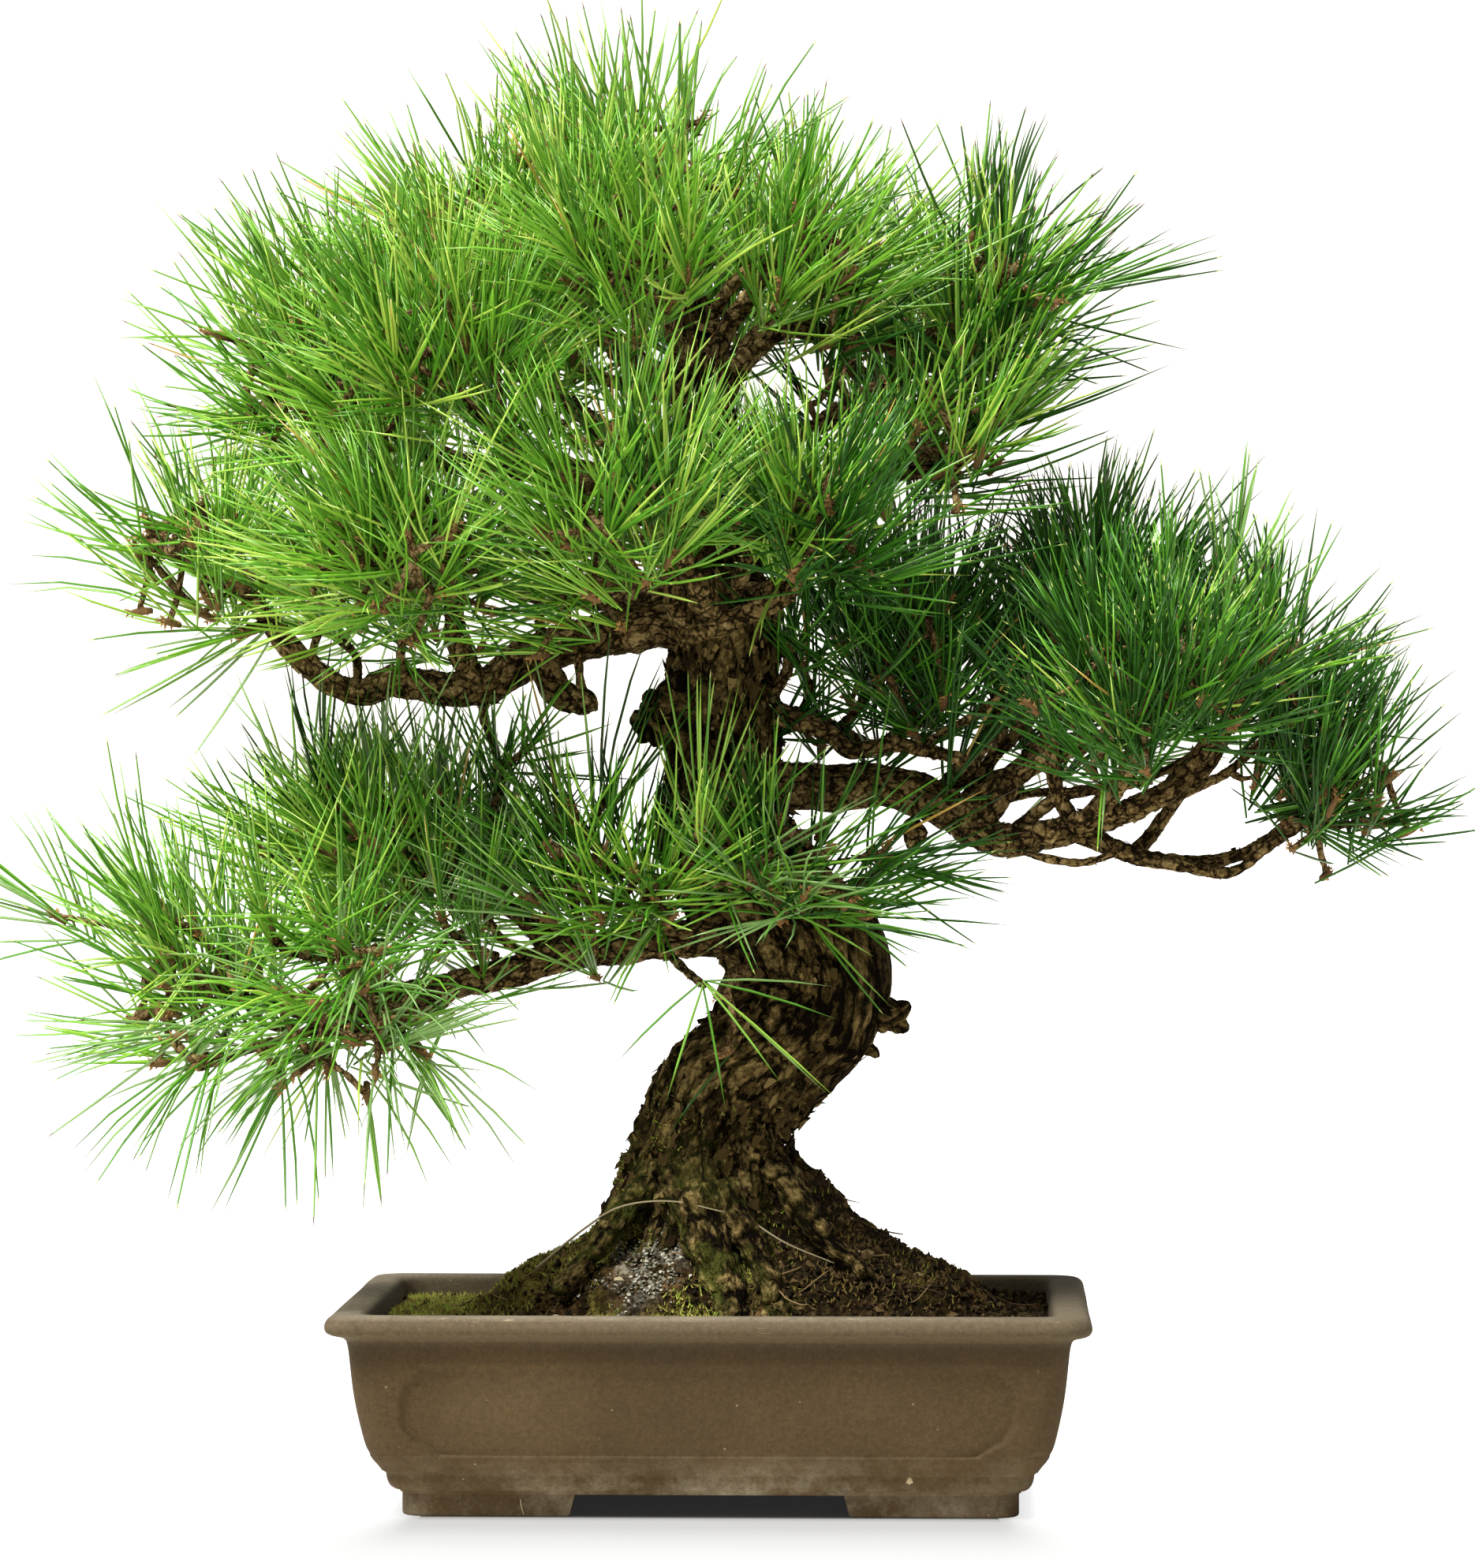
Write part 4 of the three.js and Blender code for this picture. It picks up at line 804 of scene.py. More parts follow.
def clear_of_limbs(start, end, clearance, own):
    """Whether a straight piece keeps this clearance from every limb but its own."""
    gaps = gap_between(start, end, CAPSULE_STARTS, CAPSULE_ENDS)
    return bool(((gaps > CAPSULE_RADII + clearance) | (CAPSULE_NAMES == own)).all())


def walls_of(order):
    """The planes between a mass and the others: their normals and offsets."""
    centre, radii = (np.array(MASSES[order][k], float) for k in (2, 3))
    normals, offsets = [], []
    for other in range(len(MASSES)):
        if other != order:
            toward = np.array(MASSES[other][2], float) - centre
            distance = np.linalg.norm(toward)
            toward /= distance
            own = np.linalg.norm(radii * toward)
            theirs = np.linalg.norm(np.array(MASSES[other][3]) * toward)
            normals.append(toward)
            offsets.append(toward @ centre + distance * own / (own + theirs))
    return np.array(normals), np.array(offsets)


def room_at(point, walls):
    """How far a point lies inside the nearest wall."""
    return (walls[1] - np.asarray(point) @ walls[0].T).min(-1)


def root_of(root):
    """The stem's first point, its way on, the limb it stands on and its radius."""
    if not isinstance(root, str):
        return np.array(root, float), None, "trunk", TRUNK_STEM_RADIUS
    if root == "trunk":
        points, steps, tip_radius = [row[:3] for row in TRUNK], TRUNK_STEPS, TRUNK[-1][3]
    else:
        points = BOUGHS[root][1]
        steps, tip_radius = steps_along(points), BOUGHS[root][0][1]
    line = spline(points, steps)
    onward = unit(line[-1] - line[-2])
    return line[-1] + onward * CLEAR_GAP, onward, root, max(tip_radius * STEM_SHARE, STEM_RADIUS)


def sites_of(order, walls, draw):
    """Where the shoots of a mass end, each with its way out from the middle."""
    _, _, centre, radii, count, _ = MASSES[order]
    centre, radii = np.array(centre, float), np.array(radii, float)
    phase = 2 * math.pi * draw()
    sites = []
    for i in range(count):
        height = mix(*SITE_HEIGHTS, i / max(count - 1, 1))
        flat = math.sqrt(1 - height * height)
        angle = phase + i * GOLDEN
        outward = np.array([flat * math.cos(angle), flat * math.sin(angle), height])
        spread = 0 if count == 1 else mix(*SITE_SPREAD, draw())
        offset = outward * radii * spread
        for _ in range(SITE_PULLS):
            if room_at(centre + offset, walls) < SITE_ROOM:
                offset = offset * SITE_PULL
        sites.append((centre + offset, outward))
    return sites


def shoot_axis(start, site, outward, lift):
    return unit(unit(site - start) * ALONG_SHARE + outward * OUTWARD_SHARE + UP * lift)


def skeleton_of(order):
    """The stem and the twigs of a mass: their lines, radii and axes."""
    _, root, centre, _, _, lift = MASSES[order]
    draw = seeded(SEED + order)
    walls = walls_of(order)
    start, onward, limb, radius = root_of(root)
    sites = sites_of(order, walls, draw)
    sites.sort(key=lambda site: np.linalg.norm(site[0] - start))
    leader, outward = sites.pop()
    hub = (start + np.array(centre, float)) / 2
    if onward is None:
        early = (start + hub) / 2
    else:
        early = start + onward * np.linalg.norm(hub - start) / 2
    stem = np.array([start, early, hub, leader])
    axis = shoot_axis(hub, leader, outward, lift)
    shoots = [(stem, (radius, STEM_END_RADIUS), axis)]
    joints = []
    for share in STEM_JOINTS:
        along = share * (len(stem) - 1)
        low = math.floor(along)
        joints.append(mix(stem[low], stem[low + 1], along - low))
    for site, outward in sites:
        distances = [np.linalg.norm(joint - site) for joint in joints]
        nearest = int(np.argmin(distances))
        joint = joints[nearest]
        bow = np.array([draw() - 0.5, draw() - 0.5, -draw()])
        middle = (joint + site) / 2 + bow * np.linalg.norm(site - joint) * TWIG_BOW
        free = (
            clear_of_limbs(joint, middle, LIMB_CLEARANCE, limb)
            and clear_of_limbs(middle, site, LIMB_CLEARANCE + CORE_RADIUS, None)
            and room_at(middle, walls) > TWIG_RADIUS + CELL_MARGIN
            and room_at(site, walls) > CORE_RADIUS * CORE_STRETCH + CELL_MARGIN
        )
        if free:
            axis = shoot_axis(middle, site, outward, lift)
            shoots.append((np.array([joint, middle, site]), (TWIG_RADIUS, TWIG_RADIUS), axis))
            joints[nearest] = middle
    return shoots


# Bark
LUMP_RINGS, LUMP_SIDES = 20, 30


def unrolled(radius, angle, along):
    """Places round a straight axis, where the bark's noise is taken."""
    return stacked(radius * np.cos(angle), radius * np.sin(angle), along)


def limb_tube(bundle, points, radii, sides, spacing, relief, salt, collar=0.0, wander=0.0, dome=False):
    """A limb with ringed, lumpy bark: radii and points as in the source."""
    centres, share, along = even(points, spacing)
    if wander:
        free = smooth(0, 12, along)[:, None]
        sway = noise_ways(centres, 26, salt)
        centres = centres + sway * wander * free
    radius = mix(radii[0], radii[1], share)
    radius = radius * (1 + collar * np.exp(-along / (1.2 * radii[0])))
    straight = unrolled(radius[:, None], angles(sides), along[:, None])
    lumps = fractal(straight + salt * 31.7, 13, 3, salt)
    bends = along[:, None] / 7.5 + 1.3 * noise(straight, 16, salt + 3)
    rings = np.abs(np.sin(np.pi * bends)) ** 0.6 - 0.75
    grain = noise(straight, 2.4, salt + 5)
    scales = fractal(straight + 1.5 * noise(straight, 4, salt + 8)[..., None], 5.5, 3, salt + 11) * 2
    terrace = stepped(scales, 0.3)
    thick = smooth(3.5, 8, radius)[:, None]
    push = relief * (
        0.13 * radius[:, None] * lumps + mix(0.5, 0.3, thick) * rings + 0.22 * grain
        + mix(0.12, 0.34, thick) * terrace
    )
    surface = np.maximum(radius[:, None] + push, 0.4 * radius[:, None])
    if dome:
        past = np.clip((along - along[-1] + radius[-1]) / radius[-1], 0, 0.97)
        surface = surface * np.sqrt(1 - past**2)[:, None]
    depth = np.clip(0.42 + 0.45 * rings + 0.25 * lumps + 0.2 * grain + 0.14 * terrace, 0, 1)
    bundle.bark(centres, surface, sides, straight + salt * 3.7, depth, 0.3)
    return centres, radius


def lump(bundle, centre, size, salt):
    """A knotty swelling on a limb."""
    turn = np.linspace(0.1, np.pi - 0.1, LUMP_RINGS)
    axis = unit(hashed(np.array([[salt, k, 0] for k in range(3)]), 3) - 0.5)
    centres = np.array(centre, float) - axis * np.cos(turn)[:, None] * size
    flat = np.sin(turn)[:, None]
    straight = size * unrolled(flat, angles(LUMP_SIDES), np.cos(turn)[:, None]) + salt * 17.3
    lumps, grain = fractal(straight, size * 0.8, 4, salt), noise(straight, 2.0, salt + 4)
    scales = fractal(straight * [1, 1, 0.5], 4.5, 3, salt + 9) * 2
    terrace = stepped(scales, 0.25)
    surface = size * flat * (1 + 0.3 * lumps) + 0.45 * grain + 0.8 * terrace
    depth = 0.4 + 0.4 * lumps + 0.25 * grain + 0.16 * terrace
    bundle.bark(centres, np.maximum(surface, 0.3), LUMP_SIDES, straight, depth, 0.4)


def root_lobe(angle, height):
    """How far the roots stand out of the trunk's foot."""
    total = np.zeros(np.broadcast(angle, height).shape)
    for middle, reach, tall, spread in ROOTS:
        lobe = np.exp(-((degrees_off(angle, middle) / spread) ** 2))
        total += min(reach, ROOT_SHOWN) * np.exp(-(((height - GROUND) / tall) ** 2)) * lobe
    return total


# Swellings on the trunk: angle, height, how far they stand out and how wide they are
TRUNK_KNOBS = [
    (0, 262, 4.5, 20), (-12, 232, 3.5, 14), (0, 172, -7, 20), (180, 142, -4, 16),
    (-100, 427, 9, 17), (-60, 236, 4, 16), (-20, 262, 4, 14), (-75, 372, 4, 12), (-38, 233, 5, 11),
    (190, 300, 4, 16), (-125, 335, 3.5, 12), (60, 300, 5, 18), (120, 240, 5, 18),
    (-80, 398, 5, 9), (-120, 352, 4, 9),
]
SWIRL = (-38, 233, 12)
ROOT_SHOWN = 46
TRUNK_SPACING = 1.5
TRUNK_SIDES_FINE = 180
DEGREES_IN_RADIAN = 57.3
# The bark's plates on the trunk: size, number of levels and the height of one, and the same of chips
PLATE_SIZE, PLATE_LEVELS, PLATE_RISE = 13, 2.7, 1.15
CHIP_SIZE, CHIP_LEVELS, CHIP_RISE = 8, 2.2, 0.6
FISSURE_SIZE, FISSURE_DEPTH = 13, 3.4
LUMP_SIZE, LUMP_RISE = 42, 3.2
# The lumps of a burl high on the trunk: centre and size
BURL = [
    ((-19, -11, 386), 11), ((-29, -11, 380), 7.5), ((-37, -8, 375), 5.5), ((-27, -14, 371), 6.0),
    ((-16, -17, 394), 6.5), ((-23, -17, 382), 5.5), ((-34, -10, 369), 4.0), ((-12, -20, 375), 6.0),
    ((-31, -15, 387), 4.0),
]
# Roots and snags on the trunk: centre line, and radii at root and tip
SURFACE_ROOTS = [
    (((-12, -32, 157), (-5, -48, 138), (2, -61, 119), (9, -73, 101), (14, -84, 84)), (15, 7)),
    (((4, -40, 150), (14, -56, 133), (24, -68, 114), (30, -76, 98)), (9, 5)),
    (((28, 2, 164), (42, 3, 150), (58, 5, 133), (76, 6, 121), (94, 6, 108)), (10, 5)),
    (((-34, -28, 150), (-46, -44, 136), (-58, -58, 121), (-74, -72, 102)), (8, 3.5)),
    (((28, -26, 160), (40, -42, 146), (56, -54, 128), (76, -64, 110)), (8, 3.5)),
]
SNAGS = [
    (((52, 0, 238.5), (78, -3, 234.5), (89, -4, 231.5)), (11, 6)),
    (((74, -2, 234.5), (86, -4, 229.5), (93, -5, 225.5)), (5.5, 2.8)),
    (((84, -4, 231.5), (90, -5, 235.5), (93, -6, 239.5)), (5.5, 4)),
    (((52, -6, 224), (70, -8, 219), (79, -9, 213)), (7, 2.0)),
]
# Knots on the boughs: centre and size
BOUGH_KNOBS = [
    ((140, -14, 317), 6.4), ((149.5, -20, 319), 5.6), ((159, -22, 322), 5.2), ((174.5, -22, 326), 4.8),
    ((-64, -34, 385), 6.5), ((96, -2, 322), 6.0),
]


def trunk_surface(bundle):
    """The trunk's bark. Returns its rings of points and their centres."""
    centres, share, along = even([row[:3] for row in TRUNK], TRUNK_SPACING)
    widths = np.array([row[3] for row in TRUNK], float)
    radius = spline_at(widths, share * (len(TRUNK) - 1))
    foot = smooth(GROUND, 118, centres[:, 2])
    centres[:, 0] = mix(-5, centres[:, 0], foot)
    angle = angles(TRUNK_SIDES_FINE)
    height = centres[:, 2][:, None]
    wide = np.minimum(radius[:, None] + root_lobe(angle, height), ROOT_LIMIT)
    straight = unrolled(radius[:, None], angle, along[:, None])

    def away_from(middle):
        return degrees_off(angle, middle) / DEGREES_IN_RADIAN * radius[:, None]

    for middle, level, stand, size in TRUNK_KNOBS:
        wide = wide + stand * np.exp(-(away_from(middle)**2 + (height - level) ** 2) / size**2)
    bend = noise_ways(straight, 9, 60)
    warped = (straight + 3.4 * bend + 1.1 * noise_ways(straight, 3.2, 64)) * np.array([1, 1, 0.5])
    layers = fractal(warped, PLATE_SIZE, 4, 11) * PLATE_LEVELS
    level = np.floor(layers)
    part = layers - level
    lip = smooth(0.0, 0.2, part)
    chips = fractal(warped * 1.9 + 40, CHIP_SIZE, 3, 27) * CHIP_LEVELS
    chip_part = chips - np.floor(chips)
    chip = stepped(chips, 0.25)
    ridge = np.abs(noise((straight + 4 * bend) * np.array([1, 1, 0.32]), FISSURE_SIZE, 35))
    fissure = smooth(0.13, 0.02, ridge)
    lumps = fractal(straight, LUMP_SIZE, 3, 31)
    calm = np.exp(-((away_from(5) / 34) ** 2)) * smooth(205, 225, height) * smooth(312, 285, height)
    rough = (1 - 0.72 * calm) * np.clip(radius[:, None] / 30, 0.5, 1.15)
    swirl_angle, swirl_height, swirl_size = SWIRL
    out = np.hypot(away_from(swirl_angle), height - swirl_height)
    swirl = np.sin(out / 1.15 + 0.8 * noise(straight, 7, 51)) * np.exp(-((out / swirl_size) ** 2))
    streaks = noise(straight * np.array([1, 1, 0.12]), 2.6, 45) * calm
    push = rough * (
        LUMP_RISE * lumps + PLATE_RISE * (level + lip) + CHIP_RISE * chip
        - FISSURE_DEPTH * fissure + 0.5 * noise(straight, 1.9, 41)
    ) + 0.8 * swirl + 0.5 * streaks
    tone = hashed(np.stack([level, np.floor(warped[..., 2] / 9), np.floor(chips)], -1), 5)
    # The bark's tone: lighter on each terrace's lip, ochre bark with a painted highlight, darker in
    # the fissures, and a painted shadow at the foot of each terrace under the next lip.
    edge = smooth(0.0, 0.12, part) * smooth(0.4, 0.2, part)
    depth = (
        0.2 + 0.33 * tone + 0.34 * edge + 0.1 * lip + 0.09 * (chip_part < 0.3) - 0.3 * fissure
        - 0.22 * smooth(0.88, 0.99, part) * (1 - calm)
    )
    depth = mix(depth, 0.4 + 0.15 * swirl + 0.2 * streaks, calm * 0.7)
    bundle.bark(centres, wide + push, TRUNK_SIDES_FINE, straight, depth, 0.3)
    return bundle.points[-1][:-2].reshape(len(centres), TRUNK_SIDES_FINE, 3), centres


def six_cornered(bundle, points, tint):
    """Thin scales with six corners and one tint each."""
    fan = [[0, 1, 2], [0, 2, 3], [0, 3, 4], [0, 4, 5]]
    bundle.add(points.reshape(-1, 3), copies(fan, len(points), 6), tint=np.repeat(tint, 4))


def spikes(bundle, foot, side, other, width, way, height, tint):
    """Small three-sided points, such as moss leaves and the bases of needles."""
    corners = [foot + side * width, foot - side * width / 2 + other * width * 0.87,
               foot - side * width / 2 - other * width * 0.87]
    points = np.stack([*corners, foot + way * height], 1).reshape(-1, 3)
    faces = copies([[0, 1, 3], [1, 2, 3], [2, 0, 3]], len(foot), 4)
    bundle.add(points, faces, tint=np.repeat(tint, 3))


def flakes(bundle, grid, centres, count, sizes, rng, tints, chance=None):
    """Thin scales of bark that stand a little off a surface given as rings of points."""
    rings, sides = grid.shape[:2]
    ring, side = rng.integers(1, rings - 1, count), rng.integers(0, sides, count)
    here = grid[ring, side]
    if chance is not None:
        wanted = rng.random(count) < chance(here)
        ring, side, here = ring[wanted], side[wanted], here[wanted]
        count = len(here)
    along = unit(grid[ring + 1, side] - grid[ring - 1, side])
    around = unit(grid[ring, (side + 1) % sides] - grid[ring, side - 1])
    out = unit(np.cross(around, along))
    out = out * np.sign((out * (here - centres[ring])).sum(-1, keepdims=True))
    turn = rng.uniform(0, 2 * np.pi, count)[:, None] + np.arange(6) * np.pi / 3
    reach = rng.uniform(*sizes, (count, 1)) * rng.uniform(0.3, 1.2, (count, 6))
    a, b = reach * np.cos(turn), reach * np.sin(turn) * rng.uniform(1.3, 2.6, (count, 1))
    lean = rng.uniform(0, 2 * np.pi, (count, 1))
    rise = (a * np.cos(lean) + b * np.sin(lean)) * rng.uniform(0.08, 0.5, (count, 1)) + 0.25
    points = (
        here[:, None] + around[:, None] * a[..., None] + along[:, None] * b[..., None]
        + out[:, None] * rise[..., None]
    )
    six_cornered(bundle, points, rng.choice(tints, count))


def thorns(bundle, centres, radius, rng, every=2.4, sizes=(1.1, 2.3)):
    """Bases of shed needles that stand off a twig."""
    length = length_of(centres)
    count = max(2, int(length / every * (radius.mean() / 2) ** 0.7))
    at = rng.uniform(0.02, 0.98, count) * (len(centres) - 1)
    low = at.astype(int)
    tangent, across, other = frames(centres)
    here = mix(centres[low], centres[low + 1], (at - low)[:, None])
    turn = rng.uniform(0, 2 * np.pi, (count, 1))
    out = across[low] * np.cos(turn) + other[low] * np.sin(turn)
    way = unit(out + tangent[low] * rng.uniform(0.1, 0.9, (count, 1)))
    foot = here + out * radius[low][:, None] * 0.8
    size = rng.uniform(*sizes, (count, 1))
    side = np.cross(way, out)
    side = unit(np.where(np.linalg.norm(side, axis=-1, keepdims=True) > 1e-3, side, across[low]))
    spikes(bundle, foot, side, np.cross(way, side), 0.3 * size, way, size, np.zeros(count, int))


# Needles
def spread_shoots():
    """Every finer shoot as tip, axis, mass, share of length, droop and tint family, and its twigs."""
    rows, twigs = [], []
    for order in range(len(MASSES)):
        shoots = skeleton_of(order)
        rng = np.random.default_rng(400 + order)
        centre, radii = (np.array(MASSES[order][k], float) for k in (2, 3))
        growth = unit(centre - shoots[0][0][0])
        droop = max(0.0, -MASSES[order][5]) * 0.9
        for path, widths, axis in shoots:
            axis = unit(axis * SITE_SHARE + growth * GROWTH_SHARE + UP * RISE_SHARE)
            before, site = path[-2], path[-1] - axis * LEADER_SET_BACK
            path = np.vstack([path[:-1], site])
            side = unit(np.cross(axis, [0.31, 0.87, 0.38]))
            other = np.cross(axis, side)
            turn = rng.uniform(0, 2 * np.pi)
            twigs.append((path, widths))
            for k in range(SHOOTS_PER_TUFT):
                angle = turn + k * GOLDEN
                lateral = side * math.cos(angle) + other * math.sin(angle)
                if k:
                    end = site + lateral * rng.uniform(*SHOOT_SPREAD)
                    end = end - axis * rng.uniform(*SHOOT_SET_BACK)
                else:
                    end = site
                if np.linalg.norm((end - centre) / radii) > OUTERMOST:
                    continue
                way = axis + lateral * SHOOT_TILT * bool(k) + SHOOT_JITTER * rng.normal(size=3)
                way = unit(way + UP * FINE_RISE * (droop == 0))
                if k:
                    start = mix(before, site, rng.uniform(*SHOOT_ROOTS))
                    bow = mix(start, end, 0.55) - way * SHOOT_BOW
                    bow = bow + rng.normal(size=3) * SHOOT_BOW_JITTER
                    twigs.append((np.array([start, bow, end]), SHOOT_RADII))
                share = rng.uniform(*SHARE_RANGE) * mix(1.0, RIGHT_SHARE, smooth(*RIGHT_RUN, end[0]))
                rows.append((end, way, order, share, droop, None))
    return rows, twigs


# Needle tints: BRIGHT and LIME go to tufts with painted light, DEEP, DARK and SHADE to tufts with
# painted shade.
BRIGHT, FRESH, MIDDLE, DEEP, DARK, GLAUCOUS, LIME, SHADE, TIP, BROWN_TIP, DRY = range(11)
NEEDLE_COLORS = {
    BRIGHT: (0.27, 0.51, 0.05), FRESH: (0.16, 0.40, 0.026), MIDDLE: (0.068, 0.24, 0.012),
    DEEP: (0.024, 0.112, 0.006), DARK: (0.014, 0.064, 0.004), GLAUCOUS: (0.19, 0.36, 0.10),
    LIME: (0.40, 0.60, 0.085), SHADE: (0.019, 0.082, 0.011), TIP: (0.46, 0.55, 0.14),
    BROWN_TIP: (0.13, 0.055, 0.03), DRY: (0.5, 0.34, 0.07),
}
# The tints of dull tufts, of tufts with painted light and of tufts with painted shade; a tint that is
# commoner stands more than once
DULL, PAINTED_LIT, PAINTED_SHADED = range(3)
BRIGHT_SCORE, MIDDLE_SCORE = 0.05, -0.4
FAMILIES = (
    (GLAUCOUS, MIDDLE, FRESH, MIDDLE, GLAUCOUS),
    (BRIGHT, FRESH, MIDDLE, FRESH, FRESH, MIDDLE, LIME, FRESH),
    (DEEP, DARK, MIDDLE, SHADE, DEEP),
)

VIEWPOINT = (124.8, -3292.6, 367.6)
# Long needles of the low sprig in front of the trunk: base, tip, sag and tint
LONE_MASS = 6
LONE_NEEDLES = [
    ((-3, -100, 251), (8, -104, 191), 0.16, 2), ((-1, -100, 251), (62, -106, 196), 0.05, 0),
    ((-1, -100, 252), (56, -98, 199), 0.02, 5), ((-1, -101, 253), (61, -110, 235), 0.10, 2),
    ((-2, -100, 253), (58, -92, 250), 0.12, 5), ((-3, -101, 251), (-20, -112, 196), 0.08, 1),
    ((-4, -101, 252), (-44, -108, 214), 0.12, 2), ((-3, -100, 253), (34, -118, 206), 0.08, 1),
]


def family_of(point, order, family, rng):
    """Painted light and shade: brighter tints to the upper left, the front and the top of each mass,
    where the key light falls, darker to the right, the back and beneath the crown.
    """
    if family is None:
        x, y, z = point
        beside = (np.array(point) - MASSES[order][2]) / MASSES[order][3]
        # Painted light: the score is higher where the key light falls and lower in shade.
        score = 0.0024 * (z - 430) - 0.0040 * (x - 10) - 0.0022 * (y + 10) + rng.normal() * 0.28
        score += 0.15 * beside[2] - 0.35 * beside[1]
        # Painted shade beneath the crown, near the trunk.
        score -= 0.5 * math.exp(-(((x - 20) / 85) ** 2) - ((z - 400) / 90) ** 2)
        in_front = y < 20
        if z < 280 and x < -90 and in_front and rng.random() < 0.75:
            family = DULL
        elif score > BRIGHT_SCORE:
            family = PAINTED_LIT
        elif score <= MIDDLE_SCORE:
            family = PAINTED_SHADED
        elif z < 300 and in_front:
            family = DULL
        else:
            family = PAINTED_LIT if rng.random() < 0.4 else PAINTED_SHADED
    return FAMILIES[family]


def needle_rows(tufts):
    """Arrays of needles: base, direction, bend, length, mass and tint."""
    rng = np.random.default_rng(77)
    kept = {key: [] for key in ("base", "way", "bend", "length", "mass", "tint", "tip", "free")}
    for tip, axis, order, share, droop, family in tufts:
        side = unit(np.cross(axis, [0.52, 0.21, 0.83]))
        other = np.cross(axis, side)
        count = round(NEEDLES / 2 * rng.uniform(*(TUFT_FULLNESS if family is None else END_FULLNESS)))
        level = (np.arange(count) + rng.uniform(0, 1, count)) / count
        around = np.arange(count) * GOLDEN + rng.uniform(0, 2 * np.pi)
        around = around + rng.normal(0, AROUND_JITTER, count)
        tilt = np.radians(mix(*NEEDLE_ANGLES, level**0.8) + rng.normal(0, TILT_JITTER, count))
        outward = side * np.cos(around)[:, None] + other * np.sin(around)[:, None]
        way = axis * np.cos(tilt)[:, None] + outward * np.sin(tilt)[:, None]
        turn = unit(np.cross(way, rng.normal(size=(count, 3)))) * PAIR_ANGLE
        way = unit(np.vstack([way + turn, way - turn]))
        level = np.tile(level, 2)
        base = tip - axis * NEEDLE_ZONE * (1 - level[:, None])
        length = np.tile(rng.uniform(*NEEDLE_LENGTH, count), 2) * rng.uniform(0.93, 1, 2 * count)
        length = length * share * (1 - 0.15 * (level > 0.92))
        inward = axis - way * (way @ axis)[:, None]
        curl = rng.normal(CURL, CURL_JITTER, 2 * count)
        sag = SAG + droop * rng.uniform(0.5, 1.1, 2 * count)
        bend = inward * curl[:, None] - UP * sag[:, None] + rng.normal(0, TUFT_BEND_JITTER, 3)
        bend = bend + rng.normal(0, NEEDLE_BEND_JITTER, (2 * count, 3))
        length = length / np.maximum(1, np.linalg.norm(way + bend, axis=1))
        tints = family_of(tip, order, family, rng)
        main = tints[rng.integers(len(tints))]
        plain = rng.random(2 * count) < MAIN_TINT_SHARE
        tint = np.where(plain, main, rng.choice(tints, 2 * count))
        tint[rng.random(2 * count) < DRY_SHARE] = DRY
        brown_share = BROWN_SHARE_ABOVE if tip[2] > BROWN_LEVEL else BROWN_SHARE_BELOW
        brown = rng.random(2 * count) < brown_share
        pale = rng.random(2 * count) < PALE_TIP_SHARE
        end_tint = np.where(brown, BROWN_TIP, np.where(pale & (tint != DARK), TIP, tint))
        hang = smooth(-0.15, -0.6, way[:, 2]) * (HANGING if droop < 0.05 else 0)
        keep = rng.random(2 * count) > hang
        for key, value in zip(kept, (base, way, bend, length, np.full(2 * count, order), tint,
                                     end_tint, np.full(2 * count, family is not None))):
            kept[key].append(value[keep])
    rows = {key: np.concatenate(value) for key, value in kept.items()}
    rows = within_spaces(rows, rng)
    for start, end, sag, tint in LONE_NEEDLES:
        way = np.array(end, float) - start
        length = np.linalg.norm(way)
        bend = -UP * sag
        lone = {
            "base": start, "way": way / length - bend, "bend": bend, "length": length,
            "mass": LONE_MASS, "tint": tint, "tip": tint,
        }
        for key, value in lone.items():
            rows[key] = np.concatenate([rows[key], [value]])
    return rows


def crosses_sky(rows, rng):
    """Needles that would close the gaps in the crown, but for a few."""
    crossing = np.zeros(len(rows["length"]), bool)
    for station in (0.3, 0.55, 0.8, 1.0):
        point = rows["base"] + rows["length"][:, None] * (
            rows["way"] * station + rows["bend"] * station**2
        )
        nearer = -VIEWPOINT[1] / (point[:, 1] - VIEWPOINT[1])
        x = VIEWPOINT[0] + (point[:, 0] - VIEWPOINT[0]) * nearer
        z = VIEWPOINT[2] + (point[:, 2] - VIEWPOINT[2]) * nearer
        for (middle_x, middle_z), (half_x, half_z) in SKY:
            crossing |= ((x - middle_x) / half_x) ** 2 + ((z - middle_z) / half_z) ** 2 < 1
    return crossing & (rng.random(len(crossing)) > SKY_KEPT)


